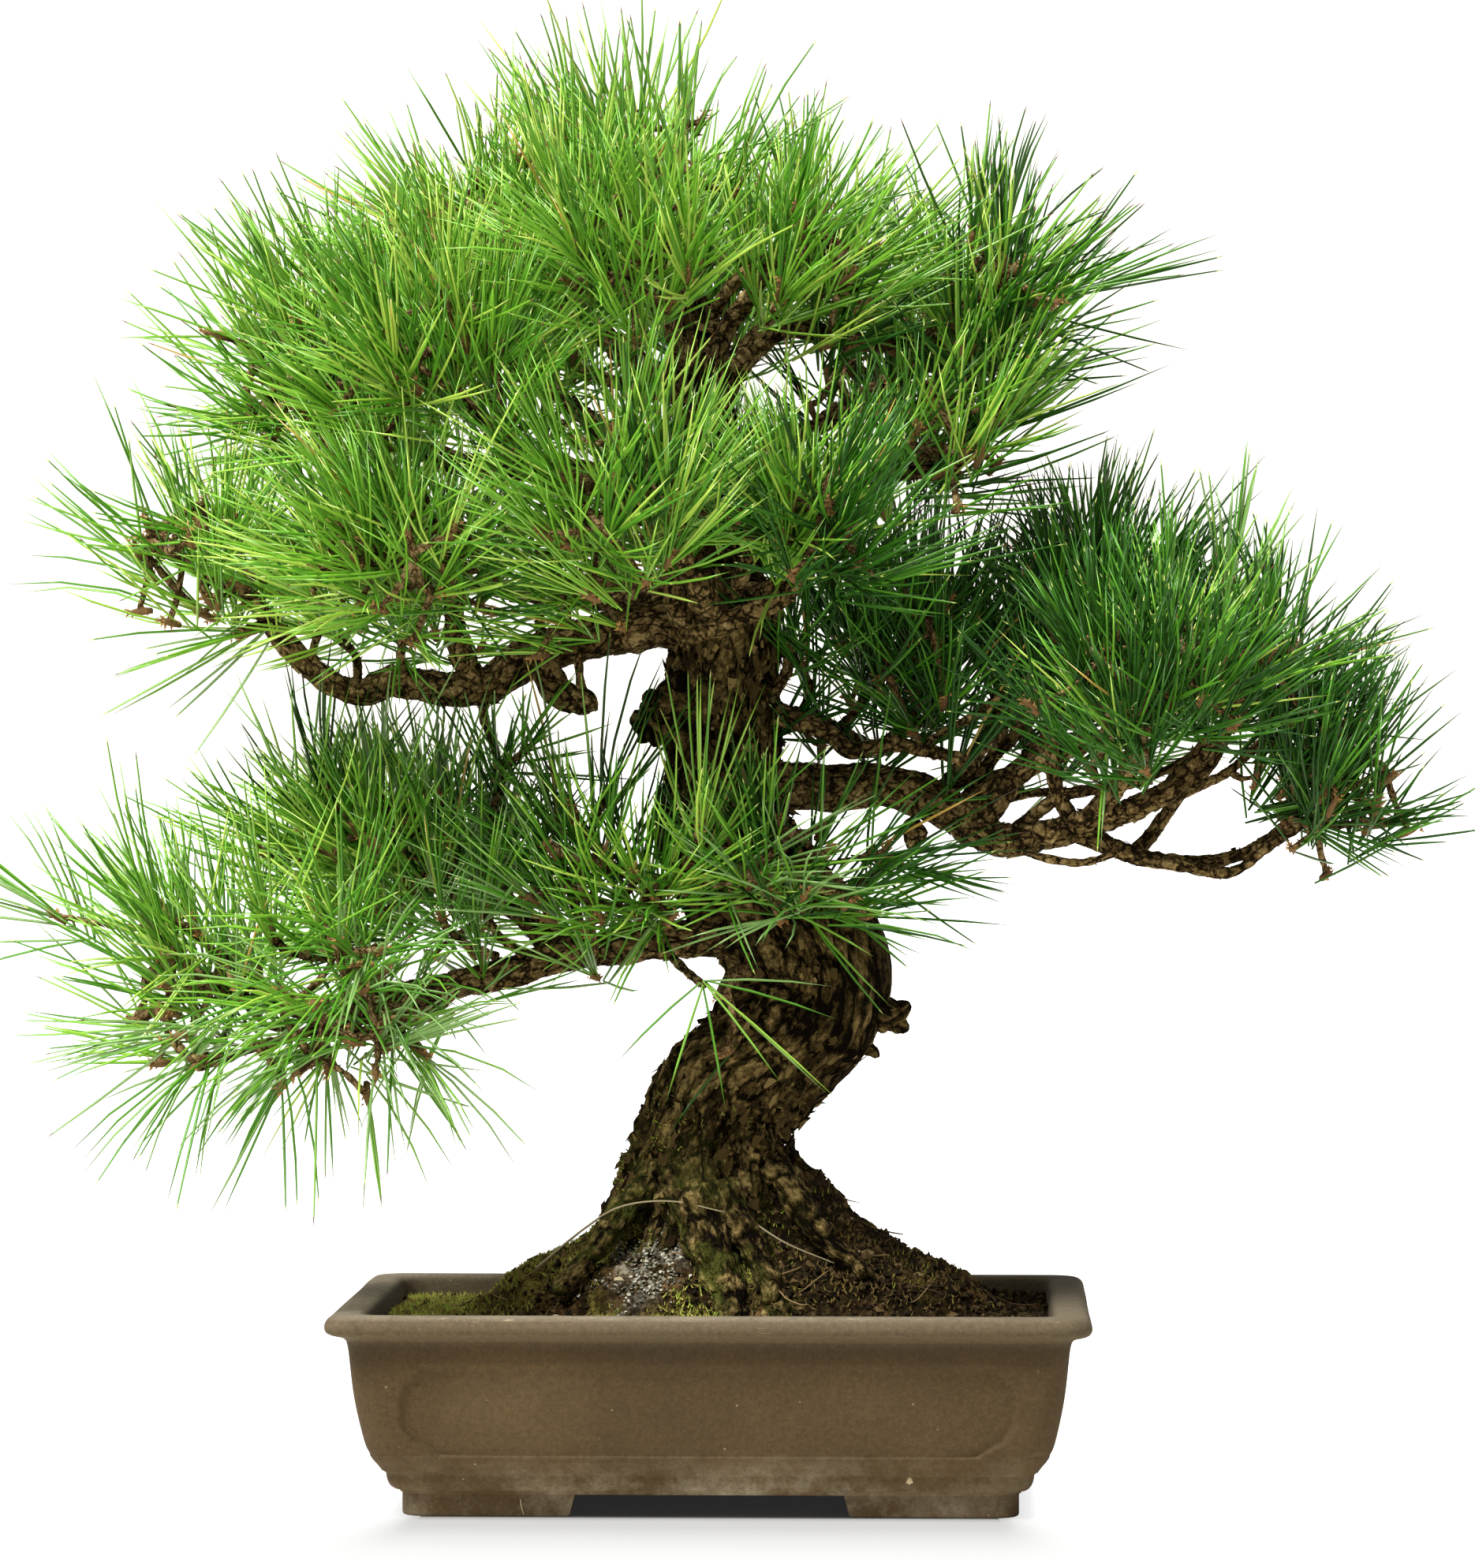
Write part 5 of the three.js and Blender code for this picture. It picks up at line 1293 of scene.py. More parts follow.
def within_spaces(rows, rng):
    """Shortens needles to about their mass's space, and drops stumps and what crosses a limb."""
    free = rows.pop("free")
    count = len(rows["length"])
    limit = mix(*SPACE_LIMIT, rng.beta(1.6, 2.4, count))
    overrun = rng.uniform(*SPACE_OVERRUN, count)
    chance = rng.random(count)
    stray = (rng.random(count) < STRAY_SHARE) & (rows["way"][:, 2] > -0.1)
    limit, overrun = np.where(stray, STRAY_LIMIT, limit), np.where(stray, STRAY_OVERRUN, overrun)
    rows["length"] = rows["length"] * np.where(stray, STRAY_LENGTH, 1)
    full = rows["length"].copy()
    keep = np.ones(count, bool)
    for _ in range(5):
        tip = rows["base"] + rows["length"][:, None] * (rows["way"] + rows["bend"])
        placed = place(tip)
        over = (placed < solid_low - BOX_MARGIN).any(1) | (placed > solid_high + BOX_MARGIN).any(1)
        for order, (name, _, centre, radii, _, _) in enumerate(MASSES):
            own = rows["mass"] == order
            outside = np.linalg.norm((tip[own] - centre) / np.array(radii), axis=1) > limit[own]
            outside |= room_at(tip[own], walls_of(order)) < -overrun[own]
            over[own] |= outside & ~free[own]
            keep[own] &= (chance[own] < THIN_MASSES.get(name, 1.0)) | free[own]
        rows["length"] = np.where(over, rows["length"] * 0.92, rows["length"])
    keep &= ~over & (rows["length"] > full * SHORTEST) & ~crosses_sky(rows, rng)
    middle = rows["base"] + rows["length"][:, None] * (rows["way"] / 2 + rows["bend"] / 4)
    tip = rows["base"] + rows["length"][:, None] * (rows["way"] + rows["bend"])
    start = mix(rows["base"], middle, 0.2)
    for a, b in ((start, middle), (middle, tip)):
        for low in range(0, len(keep), 4000):
            part = slice(low, low + 4000)
            gaps = gap_between(
                a[part, None], b[part, None], CAPSULE_STARTS[None], CAPSULE_ENDS[None]
            )
            keep[part] &= (gaps > CAPSULE_RADII * 0.92).all(1)
    return {key: value[keep] for key, value in rows.items()}


def needle_mesh(bundle, rows, stations, widths):
    """Three-sided needles, with the part beyond the last ring in the tip's tint."""
    count = len(rows["length"])
    if not count:
        return
    stations, widths = np.array(stations), NEEDLE_RADIUS * np.array(widths)
    line = rows["base"][:, None] + rows["length"][:, None, None] * (
        rows["way"][:, None] * stations[:, None] + rows["bend"][:, None] * stations[:, None] ** 2
    )
    side = unit(np.cross(rows["way"], [0.3, 0.5, 0.81]))
    other = np.cross(rows["way"], side)
    corners = 3
    angle = angles(corners)
    arms = side[:, None] * np.cos(angle)[:, None] + other[:, None] * np.sin(angle)[:, None]
    rings = len(stations) - 1
    skin = line[:, :rings, None] + arms[:, None] * widths[:, None, None]
    points = np.concatenate([skin.reshape(count, -1, 3), line[:, -1:]], 1)
    each = rings * corners + 1
    quads = copies(ring_faces(rings, corners), count, each)
    last = (rings - 1) * corners
    fan = [[last + k, last + (k + 1) % corners, each - 1] for k in range(corners)]
    bundle.add(points.reshape(-1, 3), copies(fan, count, each), quads)
    bundle.triangle_tints[-1] = np.repeat(rows["tip"], corners)
    bundle.quad_tints[-1] = np.repeat(rows["tint"], len(quads) // count)


# Pot
RIM_LENGTH, RIM_DEPTH, CORNER = 360, 270, 13
CORNER_STEPS = 9
# The wall's section, as (distance in from the rim's edge, height): foot, curve and lip
WALL_FOOT = [
    (34.2, 10.4), (33.2, 10.9), (32.6, 11.9), (30.6, 12.5), (29.2, 13.5), (28.1, 15.0),
    (27.4, 16.8), (27.0, 18.6), (26.9, 19.8), (26.5, 20.6), (25.6, 21.2),
]
WALL_CURVE = [(25.0, 21.6), (22.6, 25.2), (19.6, 30.2), (17.0, 37), (12.9, 57), (10.4, 79.3)]
WALL_STEPS = 58
CREASE_LEVEL, CREASE = 29.4, 0.4
LIP = [
    (9.9, 82.2), (9.4, 84.0), (8.3, 85.3), (6.4, 86.1), (4.4, 86.6), (2.6, 87.2), (1.2, 88.1),
    (0.35, 89.3), (0.0, 90.8), (0.15, 92.4), (0.7, 93.8), (1.6, 95.0), (2.8, 95.9), (4.4, 96.5),
    (7.0, 96.7), (14.0, 96.6), (16.2, 96.1), (17.7, 94.9), (18.4, 93.2), (19.3, 88.0), (21.5, 70.0),
]
# The right half of the front panel's outline: across and height
PANEL = [
    (135, 72), (136.5, 67.5), (141.5, 64.5), (144.5, 54), (143.5, 44), (139, 37.5), (131, 33),
    (126, 30),
]
PANEL_DEPTH = 2.3
PANEL_EDGE = 0.45
PANEL_FAINT = 0.3
FOOT_INSET, FOOT_WIDTH, FOOT_TOP = 34, 22, 10.8
FOOT_LENGTH, FOOT_DEPTH, FOOT_SLANT = 79, 58, 3.5
DRAIN_RADIUS, DRAIN_OFFSET, DRAIN_DEPTH, DRAIN_SIDES = 12, 82, 10, 24
STRAIGHT = np.concatenate([
    np.linspace(-0.985, -0.74, 30), np.linspace(-0.66, 0.66, 9), np.linspace(0.74, 0.985, 30),
])


def panel_relief(across, height, shorter):
    """How far the panel is sunk in: 1 inside its outline, 0 outside, with a soft edge."""
    right = [(x - shorter, z) for x, z in PANEL]
    outline = np.array([*right, *[(-x, z) for x, z in reversed(right)]])
    place_in = np.stack([across, height], -1)[..., None, :]
    start, end = outline, np.roll(outline, -1, axis=0)
    way = end - start
    share = np.clip(((place_in - start) * way).sum(-1) / (way**2).sum(-1), 0, 1)
    distance = np.linalg.norm(place_in - start - share[..., None] * way, axis=-1).min(-1)
    x, z = place_in[..., 0], place_in[..., 1]
    spans = (start[:, 1] > z) != (end[:, 1] > z)
    rise = np.where(end[:, 1] == start[:, 1], 1e-9, end[:, 1] - start[:, 1])
    inside = (spans & (x < way[:, 0] * (z - start[:, 1]) / rise + start[:, 0])).sum(-1) % 2
    sunk = smooth(-PANEL_EDGE, PANEL_EDGE, np.where(inside == 1, distance, -distance))
    end = PANEL[3][0] - shorter
    return sunk * mix(PANEL_FAINT, 1.0, smooth(end - 34, end - 8, np.abs(across)))


def pot_ring(inset, height, relief=True):
    """One ring of the pot, with its points closer together where the panels end."""
    half_x, half_y = RIM_LENGTH / 2 - inset - CORNER, RIM_DEPTH / 2 - inset - CORNER
    points, outward, lift = [], [], []
    turns = (((1, 1), 0), ((-1, 1), 1), ((-1, -1), 2), ((1, -1), 3))
    for (sx, sy), quarter in turns:
        angle = (quarter + np.linspace(0, 1, CORNER_STEPS)) * np.pi / 2
        round_way = np.stack([np.cos(angle), np.sin(angle)], -1)
        points.append(np.array([sx * half_x, sy * half_y]) + CORNER * round_way)
        outward.append(round_way)
        lift.append(np.zeros(CORNER_STEPS))
        normal = np.array([[0, 1], [-1, 0], [0, -1], [1, 0]][quarter], float)
        along_x = quarter % 2 == 0
        half = half_x if along_x else half_y
        sign = (-1, -1, 1, 1)[quarter]
        run = sign * STRAIGHT * half
        fixed = np.full(len(run), (half_y if along_x else half_x) + CORNER)
        side = normal[1] if along_x else normal[0]
        pair = (run, side * fixed) if along_x else (side * fixed, run)
        points.append(np.stack(pair, -1))
        outward.append(np.broadcast_to(normal, (len(run), 2)))
        shorter = 0 if along_x else (RIM_LENGTH - RIM_DEPTH) / 2
        level = np.full(len(run), float(height))
        lift.append(panel_relief(run, level, shorter) if relief else np.zeros(len(run)))
    points, outward, lift = np.vstack(points), np.vstack(outward), np.concatenate(lift)
    points = points - outward * (PANEL_DEPTH * lift)[:, None]
    return np.column_stack([points, np.full(len(points), float(height))])


def make_pot(clay):
    """The pot's skin, closed underneath by a plate with two drain holes, on four feet."""
    rings = [pot_ring(*step) for step in [*WALL_FOOT, *spline(WALL_CURVE, WALL_STEPS)]]
    rings += [pot_ring(*step, relief=False) for step in LIP]
    points = np.vstack(rings)
    level = points[:, 2:]
    push = noise(points, 46, 5)[:, None] * np.array([0.35, 0.35, 0]) * smooth(20, 40, level)
    below = smooth(CREASE_LEVEL + 0.5, CREASE_LEVEL - 0.3, level) * smooth(24, 27, level)
    push = push + np.sign(points) * np.array([1, 1, 0]) * below * CREASE
    pot = Bundle()
    pot.add(points + push, quads=ring_faces(len(rings), len(rings[0])))
    base = pot_ring(FOOT_INSET, WALL_FOOT[0][1], relief=False)
    angle = np.linspace(0, 2 * np.pi, DRAIN_SIDES + 1)[:-1]
    drain = unrolled(DRAIN_RADIUS, angle, base[0, 2])
    holes = [drain + [side * DRAIN_OFFSET, 0, 0] for side in (-1, 1)]
    plate = np.vstack([base, *holes])
    pot.add(plate, tessellate_polygon([outline.tolist() for outline in (base, *holes)]))
    for hole in holes:
        top = hole + UP * DRAIN_DEPTH
        pot.add(np.vstack([top, hole]), quads=ring_faces(2, DRAIN_SIDES))
        fan = [[k, (k + 1) % DRAIN_SIDES, DRAIN_SIDES] for k in range(DRAIN_SIDES)]
        pot.add(np.vstack([top, top.mean(0)]), fan)
    for sx, sy in ((-1, -1), (-1, 1), (1, -1), (1, 1)):
        add_foot(pot, sx, sy)
    return pot.mesh("pot_clay", [clay], ["pot"], "clay")


def add_foot(pot, sx, sy):
    """An L-shaped foot with slanted ends and slightly rounded edges."""
    x1, y1 = RIM_LENGTH / 2 - FOOT_INSET, RIM_DEPTH / 2 - FOOT_INSET
    angle = np.linspace(0, np.pi / 2, 7)
    rings = []
    for height, swell, slant in ((0, -0.9, 0), (0.5, -0.2, 0.1), (1.2, 0, 0.3), (FOOT_TOP, 0, 1)):
        end_x = x1 - FOOT_LENGTH - FOOT_SLANT * slant - swell
        end_y = y1 - FOOT_DEPTH - FOOT_SLANT * slant - swell
        round_x = x1 - CORNER + (CORNER + swell) * np.sin(angle)
        round_y = y1 - CORNER + (CORNER + swell) * np.cos(angle)
        inner_x, inner_y = x1 - FOOT_WIDTH - swell, y1 - FOOT_WIDTH - swell
        outline = [
            (end_x, y1 + swell), *zip(round_x, round_y), (x1 + swell, end_y), (inner_x, end_y),
            (inner_x, inner_y), (end_x, inner_y),
        ]
        rings.append([(sx * x, sy * y, height) for x, y in outline])
    quads = ring_faces(len(rings), len(rings[0]))
    pot.add(np.vstack(rings), tessellate_polygon([rings[0]]), quads)


# Soil and moss
SOIL_LEVEL = 87
MOUND_CENTRE = np.array([2.0, 4.0])
MOUND_DEPTH_SHARE = 0.82
MOUND_RUN = (0, 40, 48, 55, 64, 76, 90, 103, 112, 122, 400)
MOUND_RISE = (74, 68, 60, 49, 38, 30, 24, 16, 6, 1.5, 0)
SOIL_HALF = (161.5, 116.5)
SOIL_GRID = 1.7
# Sizes and heights of the moss's cushions and of the crumbs
CUSHION_SIZE, CUSHION_RISE = 8.5, 4.2
CRUMB_SIZE, CRUMB_RISE = 4.6, 3.0
SMALL_CRUMB_SIZE, SMALL_CRUMB_RISE = 2.3, 1.3


def soil_height(x, y):
    """Height of the soil at places in the pot, without the fine roughness."""
    dx, dy = x - MOUND_CENTRE[0], (y - MOUND_CENTRE[1]) / MOUND_DEPTH_SHARE
    run = np.hypot(dx, dy)
    flat = stacked(x, y, 0.0)
    turn = np.arctan2(dy, dx)
    around = unrolled(1.0, turn, 0.0)
    run = run * (1 + 0.07 * fractal(around, 0.8, 2, 91)) + 3.2 * noise(flat, 22, 97)
    run = run * (1 - 0.12 * np.exp(-((turn / 0.6) ** 2)))
    rise = np.interp(run, MOUND_RUN, MOUND_RISE)
    left = smooth(-60, -130, x) * (1.2 * noise(flat, 25, 99) - 1.0 - 0.05 * (-130 - x))
    left = left + 11 * np.exp(-((x + 108) ** 2 + (y + 44) ** 2) / 14**2)
    return SOIL_LEVEL - 1.2 + rise + left + 1.1 * fractal(flat, 30, 2, 93)


def soil_at(x, y):
    """Height of the soil at one place."""
    return soil_height(np.array([float(x)]), np.array([float(y)]))[0]


def moss_share(x, y):
    """Moss lies on the left and in the front, thin and patchy to the right."""
    flat = stacked(x, y, 0.0)
    patch = fractal(flat, 34, 3, 111)
    return smooth(-0.25, 0.35, patch * 0.9 - (x + 10) / 150 - 0.0015 * (y + 20))


def lichen_distance(x, y):
    """1 at the border of the crust of lichen on the mound's left front."""
    across = (x + 31) * 0.9 - (y + 58) * 0.43
    along = (x + 31) * 0.43 + (y + 58) * 0.9
    return np.hypot(across / 22, along / 25)


def make_soil(earth):
    """The soil as a grid with cushions of moss on the left and crumbs on the right."""
    xs = np.arange(-SOIL_HALF[0], SOIL_HALF[0] + 0.1, SOIL_GRID)
    ys = np.arange(-SOIL_HALF[1], SOIL_HALF[1] + 0.1, SOIL_GRID)
    x, y = np.meshgrid(xs, ys, indexing="ij")
    flat = stacked(x, y, 0.0)
    moss = moss_share(x, y)
    away, number = plates(flat, CUSHION_SIZE, 141)
    cushion = (1 - smooth(0, 0.8, away)) * CUSHION_RISE * number
    bent = flat + 2.2 * noise_ways(flat, 6, 145)
    away, crumb_number = plates(bent, CRUMB_SIZE, 151)
    swelling = 1 - smooth(0.1, 0.75, away)
    away, small_number = plates(bent, SMALL_CRUMB_SIZE, 157)
    crumb = swelling * CRUMB_RISE * crumb_number
    crumb = crumb + (1 - smooth(0.1, 0.7, away)) * SMALL_CRUMB_RISE * small_number
    clods = fractal(bent, 15, 3, 166) * smooth(3, 14, soil_height(x, y) - SOIL_LEVEL)
    z = soil_height(x, y) + mix(crumb, cushion, moss) + 2.2 * clods + 0.4 * noise(flat, 2.2, 161)
    points = stacked(x, y, z)
    side = fractal(points, 9, 2, 171)
    steep = smooth(3, 14, z - SOIL_LEVEL)
    points[..., 0] += steep * side * 1.6
    points[..., 1] += steep * noise(points, 8, 181) * 1.6
    i, j = np.meshgrid(np.arange(len(xs) - 1), np.arange(len(ys) - 1), indexing="ij")
    a = (i * len(ys) + j).ravel()
    quads = np.stack([a, a + len(ys), a + len(ys) + 1, a + 1], -1)
    soil = Bundle()
    soil.add(points.reshape(-1, 3), quads=quads)
    pale = smooth(1.0, 0.3, lichen_distance(x, y)) * smooth(-0.4, 0.4, side)
    return soil.mesh("soil_surface", [earth], ["soil"], "soil", layers={
        "moss": (moss * smooth(0.95, 1.25, lichen_distance(x, y))).ravel(), "pale": pale.ravel(),
        "relief": mix(crumb_number * swelling, number, moss).ravel(),
    })


def icosahedron():
    t = (1 + 5**0.5) / 2
    points = unit([
        (-1, t, 0), (1, t, 0), (-1, -t, 0), (1, -t, 0), (0, -1, t), (0, 1, t), (0, -1, -t),
        (0, 1, -t), (t, 0, -1), (t, 0, 1), (-t, 0, -1), (-t, 0, 1),
    ])
    faces = np.array([
        (0, 11, 5), (0, 5, 1), (0, 1, 7), (0, 7, 10), (0, 10, 11), (1, 5, 9), (5, 11, 4),
        (11, 10, 2), (10, 7, 6), (7, 1, 8), (3, 9, 4), (3, 4, 2), (3, 2, 6), (3, 6, 8),
        (3, 8, 9), (4, 9, 5), (2, 4, 11), (6, 2, 10), (8, 6, 7), (9, 8, 1),
    ])
    return points, faces


# How much lies on the soil, how far out it is scattered, and sizes with their shares
SCATTER_X, SCATTER_Y = 159, 114
GRAINS = 700
GRAIN_SIZES = {0.6: 0.38, 0.9: 0.34, 1.3: 0.21, 1.9: 0.07}
CRUMB_SIZES = {0.7: 0.35, 1.1: 0.35, 1.7: 0.22, 2.5: 0.08}
CRUMBS = 6000
MOSS_LEAVES = 15000
TRUNK_MOSS = 4600
LICHEN = 4200
DRY_NEEDLES = 40
# A pale speck on the pot's wall, and small stones: place, size and tint
WALL_SPECK = (94.5, -107.6, 18.6)
STONES = (
    (74, -88, 4.6, 3), (-20, -100, 3.0, 3), (18, -100, 2.4, 3), (-44, -66, 2.6, 3),
    (98, -36, 2.6, 2), (135, -86, 2.8, 2), (73, -32, 3.4, 2), (-92, -60, 1.8, 3),
    (-86, -66, 1.6, 3), (-98, -74, 1.5, 3), (-84, -52, 1.4, 3), (-74, -70, 1.6, 3),
)


# Bare twigs on the soil and a needle on a foot: radii, spacing of rings and line
LYING_TWIGS = (
    ((0.7, 0.35), 3, ((-86, -34, 112), (-62, -44, 132), (-44, -52, 143), (-20, -58, 146),
                      (6, -60, 141))),
    ((0.6, 0.35), 3, ((19, -56, 136), (36, -62, 126), (58, -62, 117))),
    ((0.45, 0.25), 1.5, ((-89, -102.2, 8.5), (-88.6, -102.4, 5), (-87.4, -102.6, 1.2))),
)


def make_grains(tints):
    """Grains of soil and small stones, lying in the soil."""
    rng = np.random.default_rng(12)
    ball, faces = icosahedron()
    grains = Bundle()
    for _ in range(GRAINS):
        x, y = (rng.uniform(-half, half) for half in (SCATTER_X - 1, SCATTER_Y - 1))
        size = rng.choice(list(GRAIN_SIZES), p=list(GRAIN_SIZES.values()))
        height = soil_at(x, y) + 1.6
        shape = ball * size * rng.uniform(0.75, 1.25, (12, 1)) * rng.uniform(0.7, 1.1, 3)
        grains.add(shape + [x, y, height], faces, tint=rng.choice(4, p=[0.42, 0.34, 0.2, 0.04]))
    for x, y, size, tint in STONES:
        height = soil_at(x, y) + size * 0.65
        shape = ball * size * rng.uniform(0.75, 1.2, (12, 1)) * [1.25, 0.85, 0.75]
        grains.add(shape + [x, y, height], faces, tint=tint)
    shape = ball * 1.9 * rng.uniform(0.9, 1.1, (12, 1)) * [1, 0.6, 1.1]
    grains.add(shape + WALL_SPECK, faces, tint=3)
    return grains.mesh("soil_grains", tints, slot="soil", shade=False)


def make_crumbs(tints):
    """Crumbs of earth with eight uneven faces, thickest on the mound and to the right."""
    rng = np.random.default_rng(15)
    x, y = (rng.uniform(-half, half, CRUMBS * 3) for half in (SCATTER_X, SCATTER_Y))
    steep = smooth(2, 12, soil_height(x, y) - SOIL_LEVEL)
    keep = rng.random(len(x)) < (1 - 0.75 * moss_share(x, y)) * mix(0.5, 1, steep)
    x, y = x[keep][:CRUMBS], y[keep][:CRUMBS]
    size = rng.choice(list(CRUMB_SIZES), len(x), p=list(CRUMB_SIZES.values()))[:, None, None]
    centre = stacked(x, y, soil_height(x, y) + 1.5)
    octahedron = np.vstack([sign * np.eye(3)[axis] for axis in range(3) for sign in (1, -1)])
    jitter = rng.uniform(-0.38, 0.38, (len(x), 6, 3))
    points = centre[:, None] + (octahedron + jitter) * size * rng.uniform(0.7, 1.25, (len(x), 1, 3))
    sides = [(0, 2, 4), (2, 1, 4), (1, 3, 4), (3, 0, 4), (2, 0, 5), (1, 2, 5), (3, 1, 5), (0, 3, 5)]
    faces = copies(sides, len(x), 6)
    crumbs = Bundle()
    crumbs.add(points.reshape(-1, 3), faces, tint=np.repeat(rng.choice(len(tints), len(x)), 8))
    return crumbs.mesh("soil_crumbs", tints, slot="soil", shade=False)


def add_blades(moss, foot, way, rng, tint, sizes, reaches):
    """Small pointed moss leaves."""
    count = len(foot)
    side = unit(np.cross(way, [0.3, 0.5, 0.8]))
    width = rng.uniform(*sizes, (count, 1))
    height = rng.uniform(*reaches, (count, 1))
    spikes(moss, foot, side, np.cross(way, side), width, way, height, tint)


def make_moss(tints, bark):
    """Moss leaves on the cushions, and a thin growth of them low on the trunk's left."""
    rng = np.random.default_rng(13)
    x = rng.uniform(-SCATTER_X, 150, MOSS_LEAVES * 3)
    y = rng.uniform(-SCATTER_Y, SCATTER_Y, MOSS_LEAVES * 3)
    mound = smooth(2, 12, soil_height(x, y) - SOIL_LEVEL)
    share = np.maximum(moss_share(x, y), 0.22 * mound)
    keep = rng.random(len(x)) < share * smooth(0.9, 1.15, lichen_distance(x, y))
    x, y = x[keep][:MOSS_LEAVES], y[keep][:MOSS_LEAVES]
    foot = stacked(x, y, soil_height(x, y) + 0.9)
    way = unit(UP + 0.55 * rng.normal(size=(len(x), 3)))
    patch = fractal(foot * [1, 1, 0], 20, 2, 133) + 0.5 * rng.normal(size=len(x))
    tint = np.digitize(patch - 0.9 * smooth(10, 50, foot[:, 0]), [-0.35, 0.2, 0.65])
    moss = Bundle()
    add_blades(moss, foot, way, rng, tint, (0.35, 0.75), (1.6, 4.4))
    ring = rng.integers(0, len(bark), TRUNK_MOSS * 6)
    side = rng.integers(0, bark.shape[1], TRUNK_MOSS * 6)
    spot = bark[ring, side]
    low = smooth(215, 160, spot[:, 2]) * smooth(96, 115, spot[:, 2]) * smooth(30, -22, spot[:, 0])
    keep = rng.random(len(spot)) < low * smooth(-0.05, 0.3, fractal(spot, 16, 2, 137))
    spot = spot[keep][:TRUNK_MOSS]
    out = unit((spot - [-5, 0, 0]) * [1, 1, 0])
    way = unit(out + 0.6 * UP + 0.5 * rng.normal(size=spot.shape))
    tint = rng.choice([1, 1, 2, 2, 3], len(spot))
    add_blades(moss, spot, way, rng, tint, (0.35, 0.65), (1.3, 3.2))
    return moss.mesh("moss_leaves", tints, slot="soil")


def make_lichen(tints):
    """Thin pale scales of lichen on the mound."""
    rng = np.random.default_rng(16)
    x, y = rng.uniform(-66, 6, LICHEN), rng.uniform(-92, -26, LICHEN)
    patch = fractal(stacked(x, y, 0.0), 9, 3, 191)
    inside = lichen_distance(x, y) + 0.25 * rng.normal(size=len(x)) - 0.7 * patch < 0.72
    x, y = x[inside], y[inside]
    centre = stacked(x, y, soil_height(x, y) + rng.uniform(1.2, 3.0, len(x)))
    fall_x = soil_height(x - 2, y) - soil_height(x + 2, y)
    fall_y = soil_height(x, y - 2) - soil_height(x, y + 2)
    slope = stacked(fall_x, fall_y, 4.0)
    out = unit(unit(slope) + 0.35 * rng.normal(size=slope.shape))
    side = unit(np.cross(out, [0.3, 0.9, 0.2]))
    other = np.cross(out, side)
    turn = np.arange(6) * np.pi / 3
    reach = rng.uniform(0.4, 1.25, (len(x), 1)) * rng.uniform(0.4, 1.15, (len(x), 6))
    points = (
        centre[:, None] + side[:, None] * (reach * np.cos(turn))[..., None]
        + other[:, None] * (reach * np.sin(turn))[..., None]
    )
    lichen = Bundle()
    six_cornered(lichen, points, rng.choice(len(tints), len(x), p=[0.22, 0.38, 0.4]))
    return lichen.mesh("lichen_scales", tints, slot="soil", shade=False)


def make_litter(tints):
    """Dry needles and bare twigs on the soil, and one needle on a foot."""
    rng = np.random.default_rng(14)
    litter = Bundle()
    for _ in range(DRY_NEEDLES):
        x, y = rng.uniform(-150, 150), rng.uniform(-108, 30)
        turn, length = rng.uniform(0, 2 * np.pi), rng.uniform(10, 34)
        run = np.linspace(-0.5, 0.5, 6)
        px = np.clip(x + run * length * math.cos(turn), -157, 157)
        py = np.clip(y + run * length * math.sin(turn), -112, 112)
        pz = soil_height(px, py)
        pz = mix(pz, pz.max(), 0.5) + 2.6 + 2 * (run**2) * rng.uniform(0, 3)
        radii = np.array([0.3, 0.38, 0.4, 0.38, 0.34, 0.15])
        litter.tube(stacked(px, py, pz), radii, 4, rng.integers(0, 2))
    for radii, spacing, points in LYING_TWIGS:
        line, share, _ = even(points, spacing)
        litter.tube(line, mix(*radii, share), 5, 2)
    return litter.mesh("litter", tints, slot="soil")


